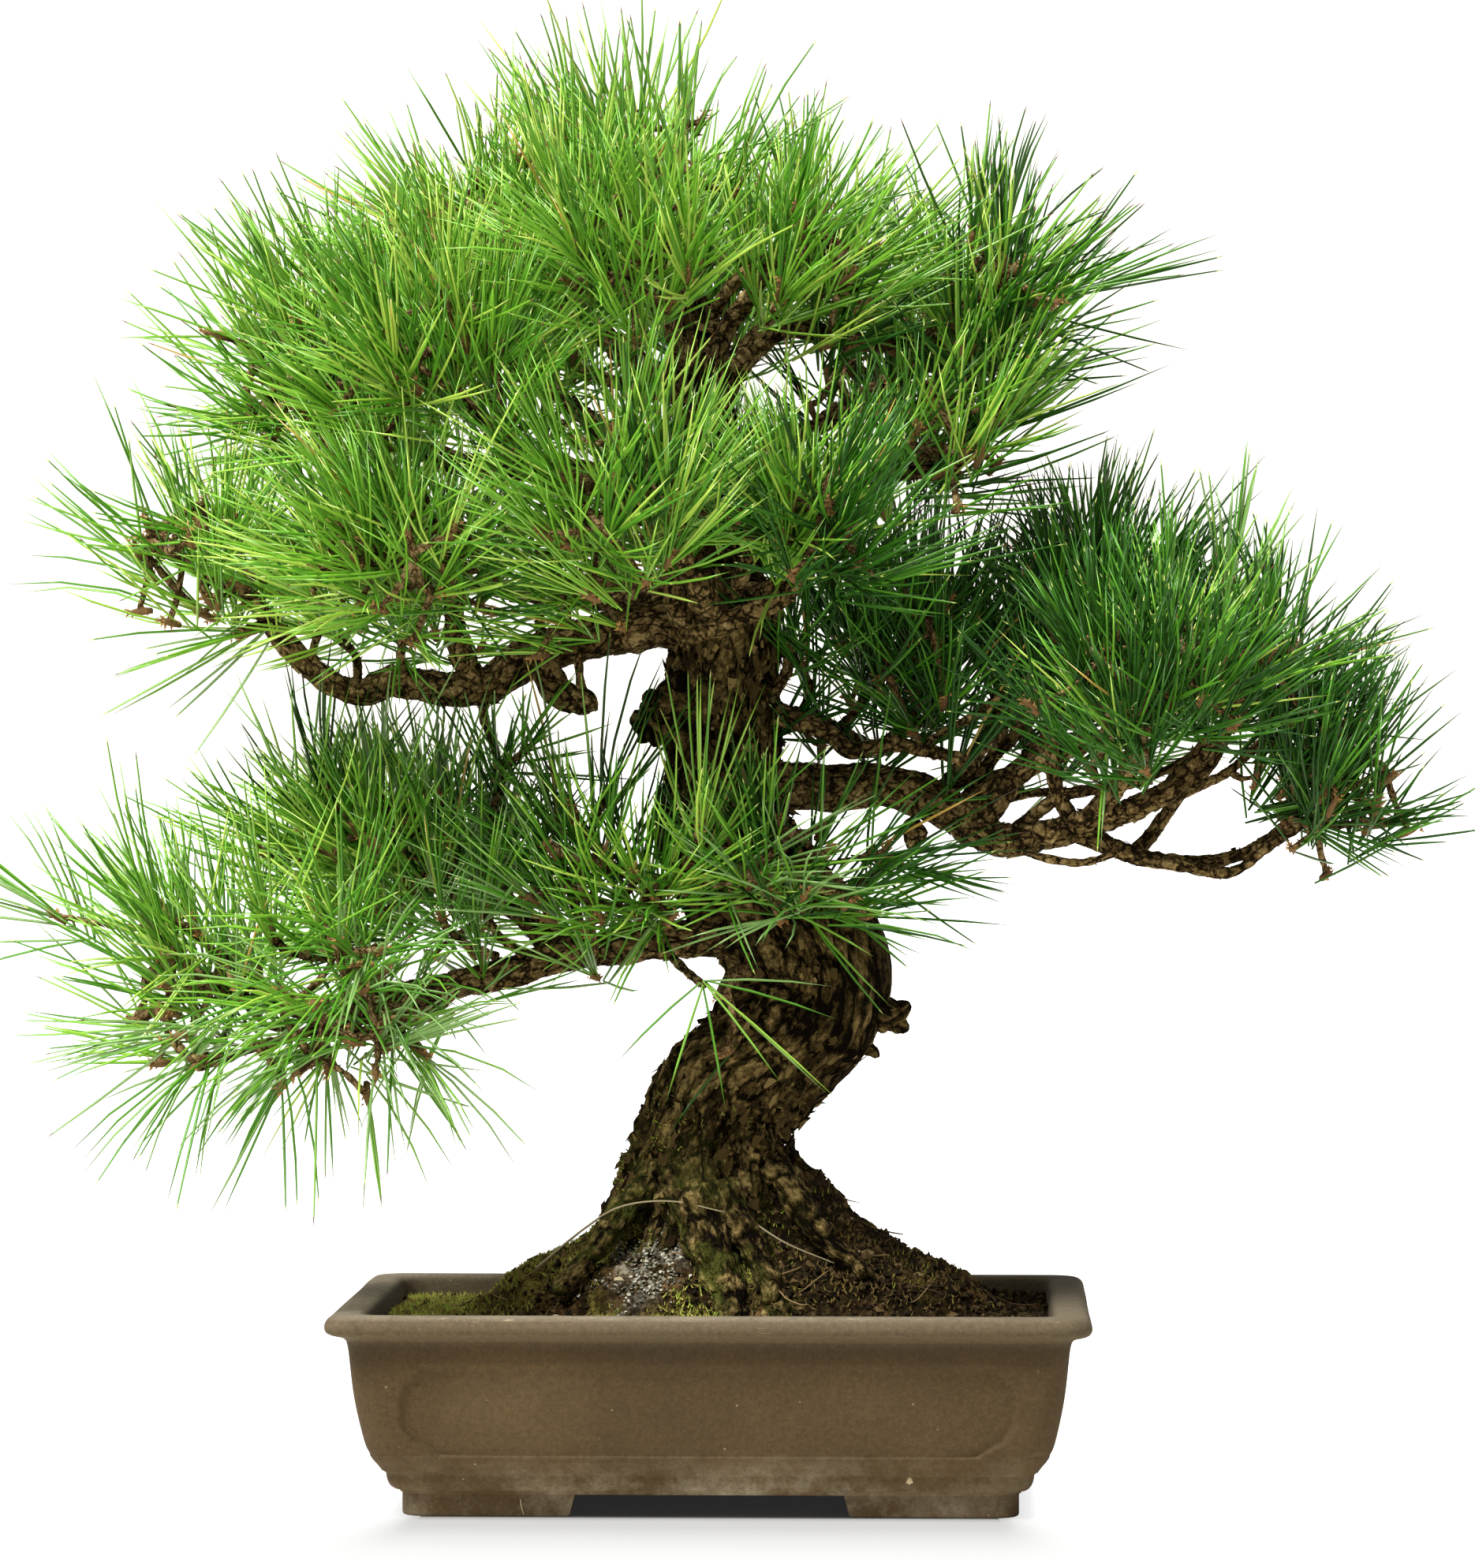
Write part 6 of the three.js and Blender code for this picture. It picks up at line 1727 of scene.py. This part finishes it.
# Materials, each with its own grain, roughness and bump
def clay_material():
    """Dark clay with lime low on the walls, painted shade under the rim and towards the right end,
    dust and a painted highlight on the rim's top, and a few pale specks.
    """
    made, tree, shader = material("clay", (0.062, 0.041, 0.018), 0.7, 0.25)
    cloud, fine = noise_node(tree, 14, 5, 0.6), noise_node(tree, 420, 3, 0.6)
    level, across = levels(tree)["Z"], levels(tree)["X"]
    color = ramp(tree, cloud, [
        (0.3, (0.054, 0.035, 0.0145)), (0.5, (0.069, 0.045, 0.0195)), (0.72, (0.088, 0.060, 0.029)),
    ])
    middle = span(tree, math_node(tree, "ABSOLUTE", across), 0.12, 0.02, 0.45, 1.0)
    cloudy = span(tree, noise_node(tree, 34, 7, 0.75), 0.42, 0.66)
    lime = times(tree, span(tree, level, 0.034, 0.012), cloudy, middle, 0.8)
    color = blend(tree, lime, color, (0.27, 0.235, 0.175))
    color = blend(tree, span(tree, level, 0.080, 0.087, 0.0, 0.75), color, (0.098, 0.076, 0.047))
    # Painted shade: the clay darkens under the rim's overhang.
    painted_shade_under_rim = times(tree, span(tree, level, 0.0855, 0.084), span(tree, level, 0.071, 0.081), 0.45)
    color = blend(tree, painted_shade_under_rim, color, (0.024, 0.015, 0.007))
    # Dust on the rim's top, with a painted highlight that is strongest at the left end and fades
    # towards the right.
    rim_top_dust_and_highlight = times(tree, span(tree, level, 0.0945, 0.0965), span(tree, across, -0.02, 0.165, 1.0, 0.4))
    dust = span(tree, noise_node(tree, 60, 6, 0.7), 0.34, 0.66, 0.35, 0.75)
    color = blend(tree, times(tree, rim_top_dust_and_highlight, dust), color, (0.235, 0.203, 0.152))
    streaky = vector_node(tree, "MULTIPLY", place_of(tree), i1=(0.22, 1, 2.2))
    scuff = span(tree, noise_node(tree, 150, 6, 0.8, streaky), 0.62, 0.67)
    scuff = times(tree, scuff, span(tree, level, 0.085, 0.093), 0.7)
    color = blend(tree, scuff, color, (0.36, 0.31, 0.22))
    specks = node(tree, "ShaderNodeTexVoronoi", Vector=place_of(tree), Scale=170.0).outputs
    chosen = span(tree, red_of(tree, specks["Color"]), 0.9, 0.96)
    pale = times(tree, span(tree, specks["Distance"], 0.12, 0.05), chosen, 0.45)
    color = blend(tree, pale, color, (0.4, 0.34, 0.24))
    finest = span(tree, noise_node(tree, 1100, 2, 0.5), 0.3, 0.7, 0.86, 1.14)
    # Fine grit, times a painted shade that darkens the clay from the left end to 0.86 of its colour at
    # the right end.
    grit_and_shade_to_right = times(tree, span(tree, fine, 0.3, 0.7, 0.82, 1.16), finest,
                 span(tree, across, -0.1, 0.16, 1.0, 0.86))
    link(tree, vector_node(tree, "SCALE", color, Scale=grit_and_shade_to_right), shader, "Base Color")
    link(tree, span(tree, cloud, 0.3, 0.7, 0.7, 0.92), shader, "Roughness")
    bump(tree, shader, plus(tree, times(tree, fine, 0.6), noise_node(tree, 90, 3)), 0.0003, 0.6)
    return made


def cracked(tree, cell, stretch, salt):
    """Plates of bark along the limb: distance to their edges and a number for each."""
    skin = vector_node(tree, "MULTIPLY", attribute(tree, "skin", "Vector"), i1=(1, 1, stretch))
    moved = vector_node(tree, "ADD", skin, i1=(salt, salt, salt))
    bend = node(tree, "ShaderNodeTexNoise", Scale=0.7 / cell, Detail=4.0, Roughness=0.65,
                Vector=moved).outputs["Color"]
    warped = vector_node(tree, "ADD", moved, i1=vector_node(tree, "SCALE", bend, Scale=1.7 * cell))
    edges = node(tree, "ShaderNodeTexVoronoi", {"feature": "DISTANCE_TO_EDGE"}, Vector=warped,
                 Scale=1 / cell).outputs["Distance"]
    number = node(tree, "ShaderNodeTexVoronoi", Vector=warped, Scale=1 / cell).outputs["Color"]
    return edges, red_of(tree, number)


def bark_material(name, low, middle, high, cell, stretch, depth, moss_level=None):
    """Bark in plates of about the cell's size, from low in the cracks to high on the ridges, with a
    lighter band round each plate: ochre bark with a painted highlight.
    """
    made, tree, shader = material(name, middle, 0.95, 0.06)
    cloud, fine = noise_node(tree, 46, 5, 0.65), noise_node(tree, 360, 5, 0.7)
    edges, number = cracked(tree, cell, stretch, 0.0)
    small_edges, small_number = cracked(tree, cell * 0.42, stretch, 0.35)
    # A lighter band round each plate's edge: ochre bark with a painted highlight.
    plate_rim_ochre_and_highlight = times(tree, span(tree, edges, 0.12, 0.2), span(tree, edges, 0.36, 0.2))
    parts = [
        (attribute(tree, "relief"), 0.5), (span(tree, cloud, 0.3, 0.72, -0.1, 0.3), 1.0),
        (span(tree, fine, 0.3, 0.7, -0.18, 0.2), 1.0), (span(tree, number, 0, 1, -0.12, 0.2), 1.0),
        (span(tree, small_number, 0, 1, -0.09, 0.1), 1.0), (plate_rim_ochre_and_highlight, 0.16),
        (span(tree, edges, 0.13, 0.0), -0.42), (span(tree, small_edges, 0.16, 0.0), -0.2),
    ]
    tone = 0.0
    for value, weight in parts:
        tone = node(tree, "ShaderNodeMath", {"operation": "MULTIPLY_ADD"}, i0=value, i1=weight,
                    i2=tone).outputs[0]
    between = tuple(0.62 * a + 0.38 * b for a, b in zip(middle, high))
    color = ramp(tree, tone, [(0.0, low), (0.36, middle), (0.62, between), (0.95, high)])
    if moss_level:
        place_in = levels(tree)
        below = span(tree, place_in["Z"], moss_level, moss_level - 0.07)
        left = span(tree, place_in["X"], 0.045, -0.04)
        patch = span(tree, noise_node(tree, 38, 5, 0.7), 0.46, 0.6)
        green = ramp(tree, fine, [(0.3, (0.035, 0.046, 0.007)), (0.7, (0.13, 0.145, 0.026))])
        color = blend(tree, times(tree, below, left, patch, 0.85), color, green)
    link(tree, color, shader, "Base Color")
    link(tree, span(tree, tone, 0, 1, 1.0, 0.82), shader, "Roughness")
    height = plus(
        tree, times(tree, fine, 0.35), times(tree, math_node(tree, "MINIMUM", edges, 0.22), 4.0),
        times(tree, math_node(tree, "MINIMUM", small_edges, 0.22), 1.6), times(tree, number, 0.5),
    )
    bump(tree, shader, height, depth, 1.0)
    return made


def earth_material():
    """Dark earth, brown moss where the moss attribute is high and a pale crust of lichen."""
    made, tree, shader = material("earth", (0.04, 0.03, 0.015), 0.95, 0.05)
    fine = noise_node(tree, 420, 4, 0.7)
    relief = times(tree, attribute(tree, "relief"), 0.5)
    tone = plus(tree, relief, span(tree, fine, 0.3, 0.7, -0.1, 0.6))
    soil = ramp(tree, tone, [
        (0.15, (0.004, 0.0026, 0.0010)), (0.5, (0.020, 0.0132, 0.0048)), (0.9, (0.095, 0.066, 0.028)),
    ])
    moss = ramp(tree, tone, [
        (0.2, (0.010, 0.0078, 0.0018)), (0.5, (0.048, 0.038, 0.009)), (0.9, (0.18, 0.150, 0.038)),
    ])
    warm = times(tree, span(tree, noise_node(tree, 34, 4, 0.6), 0.5, 0.66), 0.7)
    brown = ramp(tree, tone, [(0.15, (0.012, 0.006, 0.002)), (0.9, (0.15, 0.085, 0.03))])
    color = blend(tree, attribute(tree, "moss"), blend(tree, warm, soil, brown), moss)
    crust = times(tree, attribute(tree, "pale"), span(tree, fine, 0.4, 0.55))
    color = blend(tree, crust, color, (0.36, 0.35, 0.29))
    link(tree, color, shader, "Base Color")
    link(tree, span(tree, fine, 0.3, 0.7, 0.85, 1.0), shader, "Roughness")
    bump(tree, shader, fine, 0.0012, 0.9)
    return made


def grain_material(name, color, roughness=0.88, scale=500, depth=0.0003, specular=0.1):
    """A plain colour with a fine grain in its roughness and bump."""
    made, tree, shader = material(name, color, roughness, specular)
    fine = noise_node(tree, scale, 3, 0.6)
    grainy = span(tree, fine, 0.3, 0.7, roughness - 0.08, min(1, roughness + 0.08))
    link(tree, grainy, shader, "Roughness")
    bump(tree, shader, fine, depth, 0.5)
    return made


def tints_of(name, colors, **surface):
    """One grain material for each tone."""
    return [grain_material(f"{name}_{tone}", color, **surface) for tone, color in colors.items()]


def needle_material(name, color):
    """Bright needles are glossier than the dark ones."""
    gloss = 0.12 + 0.55 * min(1.0, color[1] / 0.4)
    return grain_material(name, color, roughness=0.36, scale=700, depth=0.0001, specular=gloss)


# Assembly
make_pot(clay_material())
make_soil(earth_material())
make_grains(tints_of("grain", {
    "dark": (0.03, 0.021, 0.010), "brown": (0.09, 0.06, 0.03), "ochre": (0.19, 0.13, 0.06),
    "pale": (0.40, 0.34, 0.22),
}))
make_crumbs(tints_of("crumb", {
    "black": (0.008, 0.0052, 0.0022), "dark": (0.018, 0.012, 0.005),
    "brown": (0.036, 0.024, 0.010), "tan": (0.085, 0.056, 0.024),
}))
make_lichen(tints_of("lichen", {
    "white": (0.40, 0.39, 0.33), "grey": (0.20, 0.195, 0.155), "dim": (0.085, 0.08, 0.06),
}))
make_litter(tints_of("litter", {
    "tan": (0.22, 0.15, 0.07), "brown": (0.085, 0.05, 0.024), "pale": (0.26, 0.22, 0.14),
}))

trunk_bark = bark_material(
    "trunk_bark", (0.0032, 0.0019, 0.0007), (0.046, 0.0325, 0.0105), (0.31, 0.225, 0.09),
    cell=0.0095, stretch=0.5, depth=0.0022, moss_level=0.19,
)
bough_bark = bark_material(
    "bough_bark", (0.012, 0.0075, 0.003), (0.135, 0.092, 0.035), (0.46, 0.345, 0.165),
    cell=0.0055, stretch=0.75, depth=0.0010,
)
twig_bark = bark_material(
    "twig_bark", (0.04, 0.024, 0.010), (0.20, 0.137, 0.060), (0.48, 0.36, 0.19),
    cell=0.0034, stretch=0.7, depth=0.0006,
)
flake_tints = tints_of("flake", {
    "dark": (0.018, 0.012, 0.005), "brown": (0.062, 0.043, 0.016), "ochre": (0.17, 0.125, 0.05),
}, roughness=0.95, scale=600, depth=0.0005, specular=0.05)

# Where each kind of limb starts its own noise
SNAG_SALT, ROOT_SALT, BURL_SALT, BOUGH_SALT, KNOB_SALT, FINE_SALT, TWIG_SALT = (
    300, 320, 340, 500, 560, 700, 900,
)

trunk = Bundle()
trunk_grid, trunk_line = trunk_surface(trunk)
for order, (centre, size) in enumerate(BURL):
    lump(trunk, centre, size, BURL_SALT + order)
for order, (points, radii) in enumerate(SNAGS):
    limb_tube(trunk, points, radii, sides=28, spacing=1.2, relief=1.8, salt=SNAG_SALT + order,
              collar=0.25, dome=True)
for order, (points, radii) in enumerate(SURFACE_ROOTS):
    limb_tube(trunk, points, radii, sides=30, spacing=1.3, relief=1.7, salt=ROOT_SALT + order,
              wander=2.0, dome=True)
trunk.mesh("trunk_bark", [trunk_bark], ["trunk"], "bark")
make_moss(tints_of("moss", {
    "brown": (0.10, 0.072, 0.020), "olive": (0.18, 0.160, 0.033), "green": (0.17, 0.225, 0.028),
    "yellow": (0.30, 0.30, 0.065),
}), trunk_grid)

boughs, bark_flakes, thin_bark = Bundle(), Bundle(), Bundle()
flake_rng = np.random.default_rng(31)
TRUNK_FLAKES = 6500
TRUNK_FLAKE_TINTS = (0, 0, 1, 1, 1, 1, 2)
FLAKES_ON_BOUGH = 0.16

# The tips of some boughs are a little slimmer than their solids
SLIMMER = {"right_low": 0.72, "right": 0.85, "right_upper": 0.85, "left_low": 0.85}


def on_bark(points):
    """Where scales stand off the trunk: everywhere but on the smooth streaky side."""
    x, height = points[:, 0], points[:, 2]
    calm = smooth(-8, 14, x - 20) * smooth(215, 230, height) * smooth(305, 285, height)
    return (1 - 0.9 * calm) * mix(0.7, 1, smooth(120, 420, height))


flakes(bark_flakes, trunk_grid, trunk_line, TRUNK_FLAKES, (0.9, 3.0), flake_rng, TRUNK_FLAKE_TINTS,
       on_bark)
for order, (name, (radii, points)) in enumerate(BOUGHS.items()):
    sides = 34 if radii[0] > 8 else 20
    radii = (radii[0], radii[1] * SLIMMER.get(name, 1.0))
    centres, radius = limb_tube(
        boughs, points, radii, sides, spacing=1.5, relief=1.0, salt=BOUGH_SALT + order,
        collar=0.22, wander=1.2, dome=True,
    )
    grid = boughs.points[-1][:-2].reshape(len(centres), sides, 3)
    amount = int(length_of(centres) * radii[0] * FLAKES_ON_BOUGH)
    flakes(bark_flakes, grid, centres, amount, (0.6, 1.9), flake_rng, (0, 1, 1, 1, 2))
    thorns(thin_bark, centres, radius, flake_rng, every=6.0)
for order, (centre, size) in enumerate(BOUGH_KNOBS):
    lump(boughs, centre, size, KNOB_SALT + order)
boughs.mesh("bough_bark", [bough_bark], [f"bough_{name}" for name in BOUGHS], "limb")
bark_flakes.mesh("bark_flakes", flake_tints, slot="bark", shade=False)

fine_limbs = Bundle()
for order, (radii, points) in enumerate(FINE_LIMBS):
    centres, radius = limb_tube(
        fine_limbs, points, radii, sides=12, spacing=1.7, relief=1.1, salt=FINE_SALT + order,
        collar=0.2, wander=1.4,
    )
    thorns(thin_bark, centres, radius, flake_rng)
fine_limbs.mesh("fine_limb_bark", [bough_bark], [], "limb")

# The tufts at the ends of finer limbs; a tuft that stands off its limb gets a twig of its own
tufts, twigs = spread_shoots()
twig_points = np.vstack([path for path, _ in twigs] + [row[1] for row in FINE_LIMBS])
mass_centres, mass_radii = (np.array([row[k] for row in MASSES], float) for k in (2, 3))
for tip, axis, share, droop, family in END_TUFTS:
    tip, axis = np.array(tip, float), unit(axis)
    order = int(np.argmin(np.linalg.norm((tip - mass_centres) / mass_radii, axis=1)))
    tufts.append((tip, axis, order, share, droop, family))
    distances = np.linalg.norm(twig_points - tip, axis=1)
    start = twig_points[int(np.argmin(distances))]
    if distances.min() > LOOSE_TUFT:
        twigs.append((np.array([start, mix(start, tip, 0.5) - axis * 3, tip]), SHOOT_RADII))

twig_bundle = Bundle()
for order, (path, widths) in enumerate(twigs):
    centres, radius = limb_tube(
        twig_bundle, path, widths, sides=5, spacing=3.9, relief=1.2, salt=TWIG_SALT + order,
    )
    thorns(thin_bark, centres, radius, flake_rng, every=2.8, sizes=(0.9, 2.0))
twig_bundle.mesh("twigs", [twig_bark], [], "limb")
base_tints = tints_of("base", {"tan": (0.2, 0.14, 0.065)}, roughness=0.85, scale=800)
thin_bark.mesh("needle_bases", base_tints, [], "limb", shade=False)

BUD_STATIONS = np.array([[-7.0], [-2.0], [2.0], [6.5]])
BUD_WIDTHS = np.array([1.5, 2.1, 1.6, 0.15])
buds, bud_scales = Bundle(), Bundle()
for tip, axis, *_ in tufts:
    line = tip + axis * BUD_STATIONS
    buds.tube(line, BUD_WIDTHS, 5)
    thorns(bud_scales, line, BUD_WIDTHS, flake_rng, every=0.75, sizes=(1.6, 3.4))
bud_tints = tints_of("bud", {"bark": (0.17, 0.10, 0.045)}, roughness=0.8, scale=900, depth=0.0006)
buds.mesh("buds", bud_tints, [], "limb")
scale_tints = tints_of("bud", {"tan": (0.36, 0.20, 0.075)}, roughness=0.7, scale=900, depth=0.0004)
bud_scales.mesh("bud_scales", scale_tints, [], "limb", shade=False)

rows = needle_rows(tufts)
needle_tints = [
    needle_material(f"needle_tint_{tint}", color) for tint, color in NEEDLE_COLORS.items()
]
NEEDLE_PIECES = {"lower": range(0, 7), "right": range(7, 13), "left": range(13, 19),
                 "top": range(19, 27), "back": range(27, 31)}
for name, orders in NEEDLE_PIECES.items():
    own = np.isin(rows["mass"], list(orders))
    tipped = own & (rows["tip"] != rows["tint"])
    sprays = Bundle()
    for chosen, stations, widths in (
        (tipped, TIPPED_STATIONS, TIPPED_WIDTHS), (own & ~tipped, PLAIN_STATIONS, PLAIN_WIDTHS),
    ):
        needle_mesh(sprays, {key: value[chosen] for key, value in rows.items()}, stations, widths)
    nodes = [f"needles_{MASS_NAMES[order]}" for order in orders]
    slot = "needles_bright" if name in ("left", "top", "back") else "needles_deep"
    sprays.mesh(f"needle_sprays_{name}", needle_tints, nodes, slot)


# Floor, light and camera
FLOOR_REACH = 60.0
FLOOR_WHITE, FLOOR_WARM = (0.92, 0.92, 0.92), (0.78, 0.74, 0.66)
SHADE_REACH = 0.25
# Painted light: the floor glows for camera rays alone, faintly at the pot's foot and fully far out;
# with the dark base colour below, this paints the shade round the pot and whitens the shadows cast on
# the floor.
FLOOR_GLOW = (
    (0.0, 0.02), (0.02, 0.36), (0.07, 0.50), (0.16, 0.52), (0.25, 0.595), (0.344, 0.675),
    (0.44, 0.725), (0.544, 0.776), (0.64, 0.80), (0.8, 0.86), (1.0, 1.0),
)
# The floor's base colour for camera rays, darkest near the pot, part of the painted shade.
FLOOR_COLOR = ((0.0, 0.08), (0.8, 0.08), (1.0, 0.3))
SHADE_HALF_WIDTH, SHADE_HALF_DEPTH, SHADE_WIDENING = 0.136, 0.101, 20.0
SIDE_WEIGHT, BACK_WEIGHT, FRONT_WEIGHT = 13.0, 8.0, 1.0


def add_object(name, data):
    made = bpy.data.objects.new(name, data)
    bpy.context.scene.collection.objects.link(made)
    return made


def grey_ramp(tree, value, stops):
    return ramp(tree, value, [(position, (grey, grey, grey)) for position, grey in stops])


def floor_material():
    """White to the camera through a painted glow, with a painted shade round the pot that fades out
    soonest at its sides and last ahead; other rays see a warm floor with no glow.
    """
    made, tree, shader = material("floor_white", FLOOR_WHITE, 0.95, 0.1)
    shader.inputs["Emission Color"].default_value = (1, 1, 1, 1)
    place_in = levels(tree)
    beside = math_node(tree, "SUBTRACT", place_in["X"], float(SHIFT[0]))
    beyond = math_node(tree, "SUBTRACT", place_in["Y"], float(SHIFT[1]))
    side = math_node(tree, "SUBTRACT", math_node(tree, "ABSOLUTE", beside), SHADE_HALF_WIDTH)
    back = math_node(tree, "SUBTRACT", beyond, SHADE_HALF_DEPTH)
    front = math_node(tree, "SUBTRACT", times(tree, beyond, -1.0), SHADE_HALF_DEPTH)
    widening = times(tree, math_node(tree, "MAXIMUM", front, 0.0), SHADE_WIDENING)
    side = math_node(tree, "DIVIDE", side, plus(tree, widening, 1.0))
    squares = []
    for way, weight in ((side, SIDE_WEIGHT), (back, BACK_WEIGHT), (front, FRONT_WEIGHT)):
        run = times(tree, math_node(tree, "MAXIMUM", way, 0.0), weight)
        squares.append(times(tree, run, run))
    away = span(tree, math_node(tree, "SQRT", plus(tree, *squares), 0.0), 0.0, SHADE_REACH)
    # Camera rays get the painted glow and the painted shade; other rays see the warm base colour and
    # no glow.
    seen = node(tree, "ShaderNodeLightPath").outputs["Is Camera Ray"]
    glow = times(tree, grey_ramp(tree, away, FLOOR_GLOW), seen)
    link(tree, glow, shader, "Emission Strength")
    color = blend(tree, seen, FLOOR_WARM, grey_ramp(tree, away, FLOOR_COLOR))
    link(tree, color, shader, "Base Color")
    return made


floor_mesh = bpy.data.meshes.new("floor")
floor_mesh.from_pydata(
    [(x * FLOOR_REACH, y * FLOOR_REACH, 0) for x, y in ((-1, -1), (1, -1), (1, 1), (-1, 1))],
    [], [(0, 1, 2, 3)],
)
floor_mesh.materials.append(floor_material())
floor = add_object("floor", floor_mesh)
floor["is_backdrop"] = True

SKY_COLOR, SKY_LIGHT, SKY_SEEN = (1, 0.97, 0.9), 0.40, 1.3
world = bpy.data.worlds.new("studio")
world.use_nodes = True
sky = world.node_tree.nodes["Background"]
sky.inputs["Color"].default_value = (*SKY_COLOR, 1)
seen = node(world.node_tree, "ShaderNodeLightPath").outputs["Is Camera Ray"]
link(world.node_tree, span(world.node_tree, seen, 0, 1, SKY_LIGHT, SKY_SEEN), sky, "Strength")
bpy.context.scene.world = world

KEY_COLOR, KEY_STRENGTH, KEY_SOFTNESS = (1, 0.97, 0.91), 7.4, 24
KEY_WAY = Vector((0.46, 0.42, -1.0))
lamp = bpy.data.lights.new("key", "SUN")
lamp.energy = KEY_STRENGTH
lamp.angle = math.radians(KEY_SOFTNESS)
lamp.color = KEY_COLOR
add_object("key", lamp).rotation_euler = KEY_WAY.to_track_quat("-Z", "Y").to_euler()

# The camera, with the focal length and the shift in pixels of a frame of this height
FRAME_HEIGHT, FOCAL_LENGTH, FRAME_SHIFT = 1988, 8593, -59
SENSOR_HEIGHT, CAMERA_TURN = 36, 2
camera_data = bpy.data.cameras.new("camera")
camera_data.sensor_fit = "VERTICAL"
camera_data.sensor_height = SENSOR_HEIGHT
camera_data.lens = FOCAL_LENGTH * SENSOR_HEIGHT / FRAME_HEIGHT
camera_data.clip_start, camera_data.clip_end = 0.1, 200
camera_data.shift_y = FRAME_SHIFT / FRAME_HEIGHT
camera = add_object("camera", camera_data)
camera.location = place(VIEWPOINT)
camera.rotation_euler = (math.pi / 2, 0, math.radians(CAMERA_TURN))
bpy.context.scene.camera = camera
bpy.context.scene.view_settings.view_transform = "Standard"
